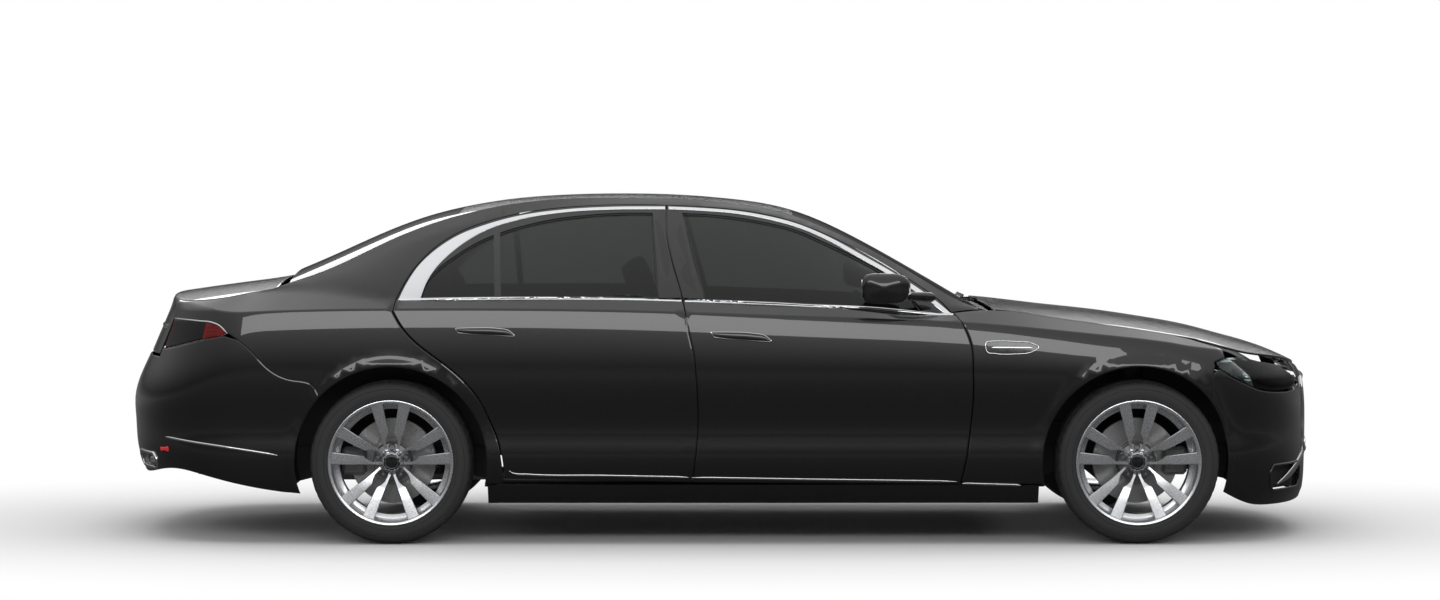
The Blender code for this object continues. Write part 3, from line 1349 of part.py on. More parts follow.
def glasshouse_outline(start_x, end_x, front_bow=0.0, rear_bow=0.0, count=9):
    """An outline in (x, y) on the roof surface, with its edges bowed along the car."""
    side_x = np.array([start_x, *[x for x in RAIL_STATIONS if end_x + 0.01 < x < start_x - 0.01], end_x])
    left = np.stack([side_x, RAIL_Y(side_x) - RAIL_LIP - RAIL_GAP], -1)
    share = np.linspace(1, -1, count)[1:-1]
    rear = np.stack([end_x - rear_bow * (1 - share**2), share * left[-1][1]], -1)
    front = np.stack([start_x + front_bow * (1 - share**2), share * left[0][1]], -1)
    return joined(left, rear, (left * [1, -1])[::-1], front[::-1])


roof = glasshouse_outline(ROOF_FRONT_X, ROOF_REAR_X)
add_body("roof_panel", panel_mesh("roof_panel", roof, glasshouse_surface, even_skin(SKIN), ROOF_GRID), PAINT)


def pane(name, start_x, end_x, front_bow, rear_bow):
    loop = glasshouse_outline(start_x, end_x, front_bow, rear_bow)
    add_body(name, panel_mesh(name, loop, glasshouse_surface, even_skin(GLASS_THICKNESS), ROOF_GRID), GLASS)


pane("windscreen", WINDSCREEN_LOW_X, ROOF_FRONT_X + RAIL_GAP, WINDSCREEN_BOW, 0.0)
pane("rear_window", ROOF_REAR_X - RAIL_GAP, REAR_WINDOW_END_X, 0.0, 0.0)


def hinge_pair(name, x, z, y, half, above_to, rise):
    """Two lugs about a cross axis, each an eye with the web that joins it to its panel.

    A lug that stands on the body has a slim post and a foot that stays below the moving panel.
    """
    found = []
    for side in (LEFT, RIGHT):
        start, end = (x, side * (y - half), z), (x, side * (y + half), z)
        found.append(rod_mesh(name, start, end, HINGE_EYE_RADIUS, 12))
        reach = HINGE_EYE_RADIUS * 0.8
        ys = sorted((start[1], end[1]))
        zs = sorted((z, z + rise))
        foot_top = zs[1]
        if rise < 0:
            found.append(box_mesh(name, (x - reach, ys[0], zs[0]), (x + reach, ys[1], zs[1])))
            foot_top = z - LUG_POST
        found.append(box_mesh(name, (min(x - reach, x + above_to), ys[0], zs[0]),
                              (max(x + reach, x + above_to), ys[1], foot_top)))
    return found


def build_hood():
    side_x = np.array(EDGE_STATIONS)
    edge = np.stack([side_x, BELT_Y(side_x) - SHUT_GAP / 2], -1)
    places = NOSE_PLACES
    lines = shoulder_lines(places)
    _, _, in_x, in_y, _ = plan_contour(places, lines[2], np.full(len(places), NOSE_TOP_Z))
    apart = SHUT_GAP / 2 + SKIN * np.clip(1.4 - lines[6] / 0.09, 0, 1.3)
    nose = np.stack([lines[7] + in_x * apart, lines[8] + in_y * apart], -1)
    rear = np.stack([HOOD_REAR_X + 0.03 * (1 - np.linspace(0, 1, 6)[:-1] ** 2) * 0,
                     np.linspace(0, 1, 6)[:-1] * edge[0][1]], -1)
    outline = mirrored_outline(np.concatenate([rear, edge, nose]))
    shell = panel_mesh("hood", outline, hood_surface, even_skin(HOOD_SKIN), (0.16, 0.18))
    eye_z = float(up(hood_height(HOOD_AXIS_X, HOOD_EYE_Y))) - HOOD_AXIS_DROP
    point = (float(along(HOOD_AXIS_X)) + 0.012, 0.0, eye_z)
    eyes = hinge_pair("hood", point[0], eye_z, HOOD_EYE_Y + EYE_WIDTH / 2 + SEAT_GAP, EYE_WIDTH / 2, 0.012,
                      HOOD_AXIS_DROP - HOOD_SKIN / 2)
    add_moving("hood", combined("hood", [shell, *eyes]), PAINT, point)
    return point


def lid_u(y, z):
    """Where on the boot lid's rear face a drawn height is, as its place u."""
    edge = tail_edge(y)
    return LID_FRONT - edge + (deck_height(edge, y) - z) / 0.965


def lid_outline():
    corner = LID_CORNER
    places = np.array([s for s in TAIL_PLACES if s > corner + 0.02] + [corner])
    lines = shoulder_lines(places)
    _, _, in_x, in_y, _ = plan_contour(places, lines[2], np.full(len(places), TAIL_TOP_Z))
    apart = SHUT_GAP / 2 + SKIN * np.clip(1.4 - lines[6] / 0.09, 0, 1.3)
    deck_x, deck_y = lines[7] + in_x * apart, lines[8] + in_y * apart
    deck = np.stack([LID_FRONT - deck_x, deck_y], -1)
    front = np.stack([np.zeros(7), np.linspace(0, 1, 8)[:-1] * deck[0][1]], -1)
    face = []
    for z in (0.985, 0.93, 0.87, LID_BOTTOM):
        y = float(side_drawn(np.array([corner]), np.array([z]))[1][0]) - SHUT_GAP - LAMP_SHELL / 2
        face.append((lid_u(y, z), y))
    low = [(lid_u(y, LID_BOTTOM), y) for y in (0.45, 0.30, 0.15, 0.0)]
    return mirrored_outline(np.concatenate([front, [(0.0, deck[0][1])], deck, face, low]))


def build_lid():
    shell = panel_mesh("trunk_lid", lid_outline(), lid_surface, even_skin(LID_SKIN), (0.12, 0.17))
    point = (float(along(LID_AXIS_X)), 0.0, float(up(LID_AXIS_Z)))
    top = float(up(deck_height(LID_AXIS_X, LID_EYE_Y)))
    eyes = hinge_pair("trunk_lid", point[0], point[2], LID_EYE_Y + EYE_WIDTH / 2 + SEAT_GAP, EYE_WIDTH / 2,
                      -0.012, top - point[2] - LID_SKIN / 2)
    add_moving("trunk_lid", combined("trunk_lid", [shell, *eyes]), PAINT, point)
    return point


hood_axis = build_hood()
lid_axis = build_lid()


# Floor, bulkheads and the structure that carries the running gear

PAN_FRONT_X = BULKHEAD_X
PAN_REAR_X = -2.420
HEEL_X = -0.620
BULKHEAD_LOW, BULKHEAD_HIGH = 0.192, 0.925
BULKHEAD_HALF = 0.860
REAR_WALL_X = -1.340
SHELF_HEIGHT = 1.050
SHELF_HALF = 0.560
RAIL_BEAM_Y = 0.470
RAIL_BEAM_LOW, RAIL_BEAM_HIGH = 0.400, 0.500
BEAM_WIDTH = 0.060
TOWER_TOP = 0.860
STRUT_Y = 0.595
STRUT_RADIUS = 0.045
KINGPIN_Y = 0.745
ARM_LOW = 0.185
ARM_THICKNESS = 0.024
SUBFRAME_LOW = 0.215
ENGINE_LENGTH, ENGINE_WIDTH, ENGINE_HEIGHT = 0.600, 0.560, 0.480
REAR_DAMPER_Y = 0.560


def pan_height(x, y):
    """Drawn height of the floor: flat, with a tunnel along the middle and a step up at the heel."""
    tunnel = TUNNEL_HEIGHT * (1 - smooth_step(np.abs(y), 0.10, 0.17))
    step = (REAR_PAN_HEIGHT - PAN_HEIGHT) * (1 - smooth_step(x, HEEL_X - 0.08, HEEL_X + 0.08))
    return PAN_HEIGHT + np.maximum(tunnel, step)


def pan_surface(uv):
    return real_point(uv[:, 0], uv[:, 1], pan_height(uv[:, 0], uv[:, 1]))


def sill_inner(x):
    """Drawn half width between the inner faces of the sills, at the floor's underside."""
    rise = (PAN_HEIGHT - PAN_WALL - SILL_LOW) / (SILL_HIGH - SILL_LOW)
    chord = SECTION(SILL_LOW) * (1 - rise) + SECTION(SILL_HIGH) * rise
    return HALF_WIDTH(x) + chord - PILLAR_LOW_DEPTH - 2 * RAIL_GAP


def build_floor():
    front_x = np.linspace(PAN_FRONT_X, SILL_REAR_X + 0.01, 14)
    front = np.stack([front_x, sill_inner(front_x)], -1)
    rear = np.array([(SILL_REAR_X - 0.02, 0.62), (-1.20, 0.62), (-1.45, 0.62), (-1.70, 0.62), (-1.90, 0.60),
                     (-2.15, 0.60), (PAN_REAR_X, 0.56)])
    centre = [(PAN_FRONT_X, 0.0), (PAN_FRONT_X, 0.10), (PAN_FRONT_X, 0.17), (PAN_FRONT_X, 0.45)]
    outline = mirrored_outline([*centre, *front, *rear, (PAN_REAR_X, 0.28), (PAN_REAR_X, 0.0)])
    stations = np.array([-2.30, -1.85, -1.35, -1.05, HEEL_X - 0.08, HEEL_X, HEEL_X + 0.08, -0.10, 0.50, 1.10])
    half_lines = (0.10, 0.135, 0.17, 0.36, 0.56)
    tunnel = [np.stack([stations, np.full(len(stations), y)], -1)
              for y in (*[-y for y in half_lines], 0.0, *half_lines)]
    add_body("floor_pan", panel_mesh("floor_pan", outline, pan_surface, even_skin(PAN_WALL), (0.34, 0.12), inward=(0, 0, -1),
                                     lines=tunnel),
             UNDERBODY)


def plate(name, low, high, bevel=0.0, segments=1):
    """A box between two drawn corners."""
    a = real_point(*[np.array([v]) for v in low])[0]
    b = real_point(*[np.array([v]) for v in high])[0]
    return box_mesh(name, np.minimum(a, b), np.maximum(a, b), bevel, segments)


def bar(name, start, end, radius, sides=10):
    """A round bar between two drawn points."""
    a = real_point(*[np.array([v]) for v in start])[0]
    b = real_point(*[np.array([v]) for v in end])[0]
    return rod_mesh(name, a, b, radius, sides)


def both_sides(meshes):
    return [*meshes, *[mirrored(mesh) for mesh in meshes]]


def build_bulkheads():
    name = "bulkhead"
    wall_x = BULKHEAD_X + 0.0005
    wall = plate(name, (wall_x, -0.79, BULKHEAD_LOW), (wall_x + BULKHEAD_WALL, 0.79, BULKHEAD_HIGH))
    wings = plate(name, (wall_x, -BULKHEAD_HALF, SILL_HIGH + 0.012),
                  (wall_x + BULKHEAD_WALL, BULKHEAD_HALF, BULKHEAD_HIGH - 0.010))
    hood_y = HOOD_EYE_Y - EYE_WIDTH / 2
    eye_x, eye_z = hood_axis[0], hood_axis[2]
    lugs = hinge_pair(name, eye_x, eye_z, hood_y, EYE_WIDTH / 2, -0.016, -(eye_z - float(up(BULKHEAD_HIGH)) + 0.02))
    add_body(name, combined(name, [wall, wings, *lugs]), UNDERBODY)
    name = "rear_shelf"
    shelf = plate(name, (REAR_WINDOW_END_X - 0.05, -SHELF_HALF, SHELF_HEIGHT),
                  (REAR_WALL_X, SHELF_HALF, SHELF_HEIGHT + 0.012))
    wall = plate(name, (REAR_WALL_X, -SHELF_HALF, REAR_PAN_HEIGHT + SEAT_GAP),
                 (REAR_WALL_X + 0.014, SHELF_HALF, SHELF_HEIGHT + 0.012))
    lid_y = LID_EYE_Y - EYE_WIDTH / 2
    lugs = hinge_pair(name, lid_axis[0], lid_axis[2], lid_y, EYE_WIDTH / 2, 0.030,
                      -(lid_axis[2] - float(up(SHELF_HEIGHT)) - 0.002))
    add_body(name, combined(name, [shelf, wall, *lugs]), PLASTIC)


def build_front_structure():
    name = "front_rails"
    start_x = BULKHEAD_X + BULKHEAD_WALL + 0.0010
    half = BEAM_WIDTH / 2
    rail = plate(name, (start_x, RAIL_BEAM_Y - half, RAIL_BEAM_LOW), (2.46, RAIL_BEAM_Y + half, RAIL_BEAM_HIGH))
    tower = plate(name, (1.73, RAIL_BEAM_Y - 0.01, RAIL_BEAM_LOW + 0.02), (1.87, RAIL_BEAM_Y + 0.01, TOWER_TOP))
    cap = plate(name, (1.73, RAIL_BEAM_Y - 0.01, TOWER_TOP - 0.02), (1.87, STRUT_Y + 0.05, TOWER_TOP))
    beam = plate(name, (2.40, -0.60, RAIL_BEAM_LOW + 0.01), (2.47, 0.60, RAIL_BEAM_HIGH - 0.01))
    add_body(name, combined(name, [beam, *both_sides([rail, tower, cap])]), UNDERBODY)
    name = "front_subframe"
    cross = plate(name, (1.70, -0.44, SUBFRAME_LOW), (1.90, 0.44, SUBFRAME_LOW + 0.075))
    mount = plate(name, (1.76, RAIL_BEAM_Y - half, SUBFRAME_LOW + 0.01), (1.84, RAIL_BEAM_Y + half,
                                                                         RAIL_BEAM_LOW - SEAT_GAP))
    link = plate(name, (1.76, 0.40, SUBFRAME_LOW + 0.01), (1.84, RAIL_BEAM_Y, SUBFRAME_LOW + 0.06))
    arm = plate(name, (FRONT_AXLE_S - 0.040, 0.40, ARM_LOW), (FRONT_AXLE_S + 0.040, KINGPIN_Y, ARM_LOW + ARM_THICKNESS))
    drop = plate(name, (FRONT_AXLE_S - 0.040, 0.38, ARM_LOW), (FRONT_AXLE_S + 0.040, 0.43, SUBFRAME_LOW + 0.03))
    boss = bar(name, (FRONT_AXLE_S, KINGPIN_Y, ARM_LOW), (FRONT_AXLE_S, KINGPIN_Y, ARM_LOW + ARM_THICKNESS + 0.004),
               0.028, 12)
    strut = bar(name, (FRONT_AXLE_S, STRUT_Y, ARM_LOW + 0.01), (FRONT_AXLE_S, STRUT_Y, TOWER_TOP - 0.02 - SEAT_GAP),
                STRUT_RADIUS, 14)
    add_body(name, combined(name, [cross, *both_sides([mount, link, drop, arm, boss, strut])]), STEEL)
    name = "engine_block"
    low = float(up(SUBFRAME_LOW + 0.075)) + SEAT_GAP
    block = box_mesh(name, (FRONT_AXLE_X - 0.30, -ENGINE_WIDTH / 2, low),
                     (FRONT_AXLE_X - 0.30 + ENGINE_LENGTH, ENGINE_WIDTH / 2, low + ENGINE_HEIGHT), 0.03, 1)
    add_body(name, block, IRON)


def build_rear_structure():
    name = "rear_axle"
    top = REAR_PAN_HEIGHT - PAN_WALL - SEAT_GAP
    cross = plate(name, (-1.56, -0.46, 0.270), (-1.30, 0.46, top))
    arm = plate(name, (REAR_AXLE_S - 0.045, 0.42, 0.225), (REAR_AXLE_S + 0.045, 0.72, 0.250))
    drop = plate(name, (REAR_AXLE_S - 0.045, 0.40, 0.225), (REAR_AXLE_S + 0.045, 0.45, 0.290))
    axle = bar(name, (REAR_AXLE_S, 0.40, TYRE_RADIUS), (REAR_AXLE_S, 0.70, TYRE_RADIUS), 0.024, 10)
    damper = bar(name, (REAR_AXLE_S - 0.02, REAR_DAMPER_Y, 0.235), (REAR_AXLE_S - 0.02, REAR_DAMPER_Y, top), 0.04, 12)
    carriers = [hub_carrier(name, REAR_AXLE_X, WHEEL_PLANE_REAR, 1)]
    add_body(name, combined(name, [cross, *both_sides([arm, drop, axle, damper, *carriers])]), STEEL)
    name = "exhaust"
    top = REAR_PAN_HEIGHT - PAN_WALL - SEAT_GAP
    box = plate(name, (-2.34, -0.50, 0.262), (-2.08, 0.50, top), 0.03, 1)
    route = np.array([(-2.20, 0.0, 0.320), (-2.00, 0.0, 0.310), (-1.72, 0.0, 0.225), (-1.00, 0.0, 0.225),
                      (-0.80, 0.0, 0.260), (0.90, 0.0, 0.265)])
    pipe = pipe_mesh(name, real_point(*route.T), 0.032)
    tip = plate(name, (-2.50, EXHAUST_INNER + 0.035, EXHAUST_LOW + 0.012),
                (-2.30, EXHAUST_OUTER - 0.035, EXHAUST_HIGH - 0.012), 0.014, 2)
    add_body(name, combined(name, [box, pipe, *both_sides([tip])]), STEEL)


# Wheels, with their discs and hubs, and what carries them

DISC_INNER = 0.045
HUB_FACE = 0.045
SEAT_PLANE = DISC_INNER + SEAT_GAP
CALIPER_INNER, CALIPER_OUTER = 0.115, 0.222
CALIPER_GAP = 0.006
SPOKE_OUTER = 0.088
SPOKE_SPREAD = 22.0
TYRE_PROFILE = ((0.268, -0.1120), (0.280, -0.1230), (0.306, -0.1270), (0.336, -0.1200), (0.3505, -0.0900),
                (0.352, 0.0), (0.3505, 0.0900), (0.336, 0.1200), (0.306, 0.1270), (0.280, 0.1230),
                (0.268, 0.1120))
TYRE_STEPS = 32


def wheel_at(x, plane, side):
    """Places a piece drawn about the wheel's centre, with +Y outward."""
    turn = Matrix.Identity(4) if side == LEFT else Matrix.Rotation(math.pi, 4, 'Z')
    return Matrix.Translation((x, side * plane, TYRE_RADIUS)) @ turn


def tyre_mesh(name):
    inner = RIM_RADIUS + SEAT_GAP
    profile = [(max(radius, inner), place) for radius, place in TYRE_PROFILE]
    return turned_mesh(name, profile, TYRE_STEPS, True)


def spoke_mesh(name, angle):
    """One slim spoke from the hub to the rim, standing proud at its middle."""
    rings = []
    for radius, half, outer, depth in ((0.047, 0.0130, 0.062, 0.030), (0.150, 0.0125, 0.082, 0.034),
                                       (0.264, 0.0150, 0.096, 0.045)):
        ring = []
        for width, place in ((-half, outer - depth), (-half, outer - 0.008), (0.0, outer),
                             (half, outer - 0.008), (half, outer - depth)):
            spread = math.radians(angle) + width / radius
            ring.append((radius * math.sin(spread), place, radius * math.cos(spread)))
        rings.append(ring)
    return loft_mesh(name, rings)


def rim_mesh(name):
    """Rim barrel, ten spokes in five pairs, hub and brake disc as one piece."""
    outer, inner = RIM_RADIUS, RIM_RADIUS - RIM_WALL
    barrel = turned_mesh(name, [(inner, -0.1110), (outer, -0.1110), (outer, 0.1235), (outer - 0.006, 0.1235),
                                (inner, 0.085)], TYRE_STEPS, True)
    hub = turned_mesh(name, [(0.0, -DISC_INNER), (DISC_RADIUS, -DISC_INNER),
                             (DISC_RADIUS, -DISC_INNER + DISC_THICKNESS), (0.085, -DISC_INNER + DISC_THICKNESS),
                             (0.078, HUB_FACE), (0.058, 0.070), (0.0, 0.072)], 19, False)
    spokes = []
    for pair in range(SPOKE_PAIRS):
        for lean in (-SPOKE_SPREAD / 2, SPOKE_SPREAD / 2):
            spokes.append(spoke_mesh(name, pair * 360 / SPOKE_PAIRS + lean))
    return combined(name, [barrel, hub, *spokes])


def hub_carrier(name, x, plane, side):
    """Upright with its spindle flange and a caliper over the disc, drawn about the wheel."""
    upright = box_mesh(name, (-0.050, -0.180, -0.125), (0.050, -0.085, 0.150), 0.012, 1)
    flange = rod_mesh(name, (0, -0.120, 0), (0, -SEAT_PLANE, 0), 0.060, 12)
    bridge = box_mesh(name, (-CALIPER_OUTER, -0.080, -0.060), (-CALIPER_INNER, 0.012, 0.060), 0.014, 1)
    ear = box_mesh(name, (-CALIPER_INNER - 0.03, -0.110, -0.045), (-0.030, -DISC_INNER - 0.012, 0.045))
    slot = turned_mesh(name, [(0.0, -DISC_INNER - CALIPER_GAP), (DISC_RADIUS + CALIPER_GAP, -DISC_INNER - CALIPER_GAP),
                              (DISC_RADIUS + CALIPER_GAP, -DISC_INNER + DISC_THICKNESS + CALIPER_GAP),
                              (0.0, -DISC_INNER + DISC_THICKNESS + CALIPER_GAP)], 22, False)
    caliper = combined(name, [bridge, slot], 'DIFFERENCE')
    carrier = combined(name, [upright, flange, ear, caliper])
    return moved(carrier, wheel_at(x, plane, side))


def build_wheels():
    tyre = tyre_mesh("tyre")
    rim = rim_mesh("rim")
    for place, x, plane in (("front", FRONT_AXLE_X, WHEEL_PLANE_FRONT), ("rear", REAR_AXLE_X, WHEEL_PLANE_REAR)):
        for word, side in SIDES:
            point = (x, side * plane, TYRE_RADIUS)
            for piece, mesh, finish in (("tyre", tyre, RUBBER), ("rim", rim, ALLOY)):
                name = f"{piece}_{place}_{word}"
                add_moving(name, moved(mesh, wheel_at(x, plane, side)), finish, point)
    for word, side in SIDES:
        name = f"knuckle_{word}"
        carrier = hub_carrier(name, FRONT_AXLE_X, WHEEL_PLANE_FRONT, side)
        foot_z = float(up(ARM_LOW + ARM_THICKNESS + 0.004)) + SEAT_GAP
        foot = rod_mesh(name, (FRONT_AXLE_X, side * KINGPIN_Y, foot_z), (FRONT_AXLE_X, side * KINGPIN_Y, 0.26), 0.026, 12)
        add_moving(name, combined(name, [carrier, foot]), IRON, (FRONT_AXLE_X, side * KINGPIN_Y, TYRE_RADIUS))


build_floor()
build_bulkheads()
build_front_structure()
build_rear_structure()
build_wheels()

# Cabin: dashboard with its console, seats and steering wheel

DASH_CLEARANCE = 0.112
DASH_HALF = DRAWN_HALF_WIDTH - DOOR_DEPTH - DASH_CLEARANCE
DASH_REAR_X = 0.700
DASH_TOP = 0.925
CONSOLE_HALF = 0.115
SEAT_Y = 0.400
SEAT_HALF = 0.265
SEAT_BASE_X = 0.080
WHEEL_RIM_RADIUS = 0.185
COLUMN_TILT = 24.0
WHEEL_PAD_BACK = 0.022
STEERING_Y = 0.400
STEERING_X, STEERING_Z = 0.560, 0.865


def prism(name, profile, half, bevel=0.0):
    """A side profile in (station, height) carried across the car to both sides."""
    rings = []
    for y in (-half, half):
        rings.append([tuple(real_point(np.array([x]), np.array([y]), np.array([z]))[0]) for x, z in profile])
    return loft_mesh(name, rings)


def seat_mesh(name, centre_y, half, base_x, floor, cushion_z, cushion_length, back_height, lean, heads):
    """A plain seat: plinth, cushion, leaning back and head restraints."""
    plinth = plate(name, (base_x - cushion_length * 0.85, centre_y - half * 0.75, floor),
                   (base_x + 0.02, centre_y + half * 0.75, cushion_z - 0.09))
    cushion = plate(name, (base_x - cushion_length, centre_y - half, cushion_z - 0.13),
                    (base_x + 0.06, centre_y + half, cushion_z), 0.035, 2)
    back = plate(name, (-0.075, centre_y - half, -0.10), (0.075, centre_y + half, back_height), 0.035, 2)
    place = Matrix.Translation((float(along(base_x - cushion_length + 0.03)), 0, float(up(cushion_z)) - 0.02))
    tilt = Matrix.Rotation(math.radians(-lean), 4, 'Y')
    pieces = [plinth, cushion, moved(back, place @ tilt)]
    for head_y in heads:
        head = plate(name, (-0.050, head_y - 0.125, back_height + 0.015),
                     (0.050, head_y + 0.125, back_height + 0.175), 0.03, 1)
        post = plate(name, (-0.012, head_y - 0.06, back_height - 0.05), (0.012, head_y + 0.06, back_height + 0.05))
        pieces += [moved(head, place @ tilt), moved(post, place @ tilt)]
    return combined(name, pieces)


def build_cabin():
    floor = PAN_HEIGHT + SEAT_GAP
    name = "dashboard"
    profile = [(BULKHEAD_X - SEAT_GAP, 0.62), (BULKHEAD_X - SEAT_GAP, 0.90), (1.02, DASH_TOP), (0.80, 0.935),
               (0.735, 0.915), (DASH_REAR_X, 0.840), (0.745, 0.700), (0.90, 0.62)]
    body = prism(name, profile, DASH_HALF)
    console = prism(name, [(0.85, 0.66), (0.76, 0.70), (0.42, 0.600), (-0.42, 0.600), (-0.42, 0.380),
                           (0.85, 0.380)], CONSOLE_HALF)
    column_end, column_start = [(STEERING_X + reach * math.cos(math.radians(COLUMN_TILT)), STEERING_Y,
                                 STEERING_Z - reach * math.sin(math.radians(COLUMN_TILT)))
                                for reach in (WHEEL_PAD_BACK + SEAT_GAP, 0.250)]
    column = bar(name, column_end, column_start, 0.035, 12)
    hood = plate(name, (DASH_REAR_X + 0.005, STEERING_Y - 0.19, 0.86), (0.86, STEERING_Y + 0.19, 0.965), 0.02, 1)
    add_body(name, combined(name, [body, console, column, hood]), PLASTIC)
    name = "steering_wheel"
    ring = [(WHEEL_RIM_RADIUS + 0.016 * math.cos(a), 0.016 * math.sin(a)) for a in np.linspace(0.2, 0.2 + 2 * math.pi, 7)[:-1]]
    rim = moved(turned_mesh(name, ring, 22, True), Matrix.Rotation(0.05, 4, 'Y'))
    pad = moved(rod_mesh(name, (0, -WHEEL_PAD_BACK, 0), (0, 0.024, 0), 0.060, 12), Matrix.Rotation(0.07, 4, 'Y'))
    bars = [plate(name, (-WHEEL_RIM_RADIUS, -0.007, -0.021), (WHEEL_RIM_RADIUS, 0.008, 0.015)),
            plate(name, (-0.019, -0.005, -WHEEL_RIM_RADIUS), (0.020, 0.006, -0.030))]
    pieces = []
    for mesh in (rim, pad, *bars):
        facing_back = Matrix.Rotation(math.radians(90), 4, 'Z')
        tilt = Matrix.Rotation(math.radians(COLUMN_TILT), 4, 'Y')
        centre = Vector((float(along(STEERING_X)), STEERING_Y, float(up(STEERING_Z))))
        pieces.append(moved(mesh, Matrix.Translation(centre) @ tilt @ facing_back))
    whole = combined(name, pieces)
    add_body(name, whole, PLASTIC)
    for word, side in SIDES:
        name = f"seat_front_{word}"
        add_body(name, seat_mesh(name, side * SEAT_Y, SEAT_HALF, SEAT_BASE_X + 0.24, floor, 0.520, 0.50, 0.560, 20,
                                 [side * SEAT_Y]), LEATHER)
    name = "rear_seat"
    add_body(name, seat_mesh(name, 0.0, 0.640, -0.510, REAR_PAN_HEIGHT + SEAT_GAP, 0.545, 0.52, 0.500, 24,
                             [-0.36, 0.36]), LEATHER)


build_cabin()
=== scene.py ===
"""The looks of the long-wheelbase sedan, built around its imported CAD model.

Metres, in the frame of the CAD model: +X forward, +Y to the car's left, +Z up. The body panels are
cut from the same smooth body lines as the CAD panels that they stand for, with finer outlines.
"""
import json
import math

import bmesh
import bpy
import numpy as np
from mathutils import Matrix, Vector
from mathutils.geometry import delaunay_2d_cdt

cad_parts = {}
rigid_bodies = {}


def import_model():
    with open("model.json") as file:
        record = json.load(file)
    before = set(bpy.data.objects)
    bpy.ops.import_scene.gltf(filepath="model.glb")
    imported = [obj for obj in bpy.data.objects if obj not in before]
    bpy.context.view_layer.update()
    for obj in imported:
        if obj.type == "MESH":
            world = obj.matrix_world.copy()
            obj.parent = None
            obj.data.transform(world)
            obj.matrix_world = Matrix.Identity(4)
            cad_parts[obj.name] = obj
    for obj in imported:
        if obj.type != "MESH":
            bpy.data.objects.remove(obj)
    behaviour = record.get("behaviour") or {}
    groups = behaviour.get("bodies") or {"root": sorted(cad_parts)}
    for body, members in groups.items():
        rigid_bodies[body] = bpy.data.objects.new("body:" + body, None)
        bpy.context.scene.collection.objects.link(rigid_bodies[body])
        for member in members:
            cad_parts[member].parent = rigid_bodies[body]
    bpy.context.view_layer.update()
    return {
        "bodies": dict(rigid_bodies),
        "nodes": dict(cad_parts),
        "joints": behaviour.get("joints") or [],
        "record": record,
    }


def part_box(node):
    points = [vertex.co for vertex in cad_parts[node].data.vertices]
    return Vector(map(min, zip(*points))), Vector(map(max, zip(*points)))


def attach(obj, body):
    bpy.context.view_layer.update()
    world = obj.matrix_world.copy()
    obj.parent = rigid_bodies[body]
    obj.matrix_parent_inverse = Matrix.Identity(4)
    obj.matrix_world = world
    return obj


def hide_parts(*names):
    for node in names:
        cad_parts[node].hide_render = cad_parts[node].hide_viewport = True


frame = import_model()

# Driving dimensions of the whole car

BODY_LENGTH = 5.289
BODY_WIDTH = 1.954
BODY_HEIGHT = 1.503
WHEELBASE = 3.216
FRONT_OVERHANG = 0.844
SILL_HEIGHT = 0.175
BELT_HEIGHT = 1.05

# Wheels

TYRE_RADIUS = 0.352
TYRE_HALF_WIDTH = 0.127
RIM_RADIUS = 0.271
RIM_WALL = 0.012
WHEEL_PLANE_FRONT = 0.826
WHEEL_PLANE_REAR = 0.832
HUB_RADIUS = 0.078
SPOKE_PAIRS = 5
SPOKE_WIDTH = 0.026
DISC_RADIUS = 0.185
DISC_THICKNESS = 0.030
ARCH_RADIUS = 0.415

# How many times finer the outlines are drawn than the CAD model's

FINE = 4

# Clearances and wall thicknesses

SHUT_GAP = 0.0055
SEAT_GAP = 0.0003
SKIN = 0.006
GLASS_THICKNESS = 0.005
GLASS_INSET = 0.012
DOOR_EDGE = 0.007
DOOR_DEPTH = 0.105
DOOR_FRAME_DEPTH = 0.036
DOOR_STEP = 0.030
PILLAR_CLEARANCE = 0.012
PILLAR_DEPTH = 0.110
HINGE_SETBACK = 0.040
HINGE_INSET = 0.0145
HINGE_HEIGHTS = (0.700, 0.785)
HINGE_EYE_HEIGHT = 0.030
HINGE_EYE_RADIUS = 0.006
FRONT_STEP = 0.060
LATCH_STEP = 0.030
FRAME_STEP = 0.012
PILLAR_FACE = 0.054
PILLAR_HIGH_FACE = 0.021
PILLAR_HIGH_DEPTH = 0.060
RAIL_LIP = 0.004
RAIL_SHELL = 0.045
RAIL_GAP = 0.0008
BULKHEAD_X = 1.165
BULKHEAD_WALL = 0.018
PAN_HEIGHT = 0.200
PAN_WALL = 0.008
REAR_PAN_HEIGHT = 0.400
TUNNEL_HEIGHT = 0.150

# Stations and heights of the drawing, on which every outline below is given

DRAWN_STATIONS = (-2.6445, -1.4153, 1.8007, 2.6445)
DRAWN_HEIGHTS = (0.0, 0.175, 1.05, 1.503)
DRAWN_HALF_WIDTH = 0.977
NOSE_START = 1.95
TAIL_START = -1.95
NOSE_RUN = 0.6945
NOSE_TOP_Z = 0.72
TAIL_TOP_Z = 1.00
DECK_START = -1.9
HOOD_START = 1.25

FRONT_AXLE_X = BODY_LENGTH / 2 - FRONT_OVERHANG
REAR_AXLE_X = FRONT_AXLE_X - WHEELBASE
LEFT, RIGHT = 1, -1
SIDES = (("left", LEFT), ("right", RIGHT))


# Curves and mappings

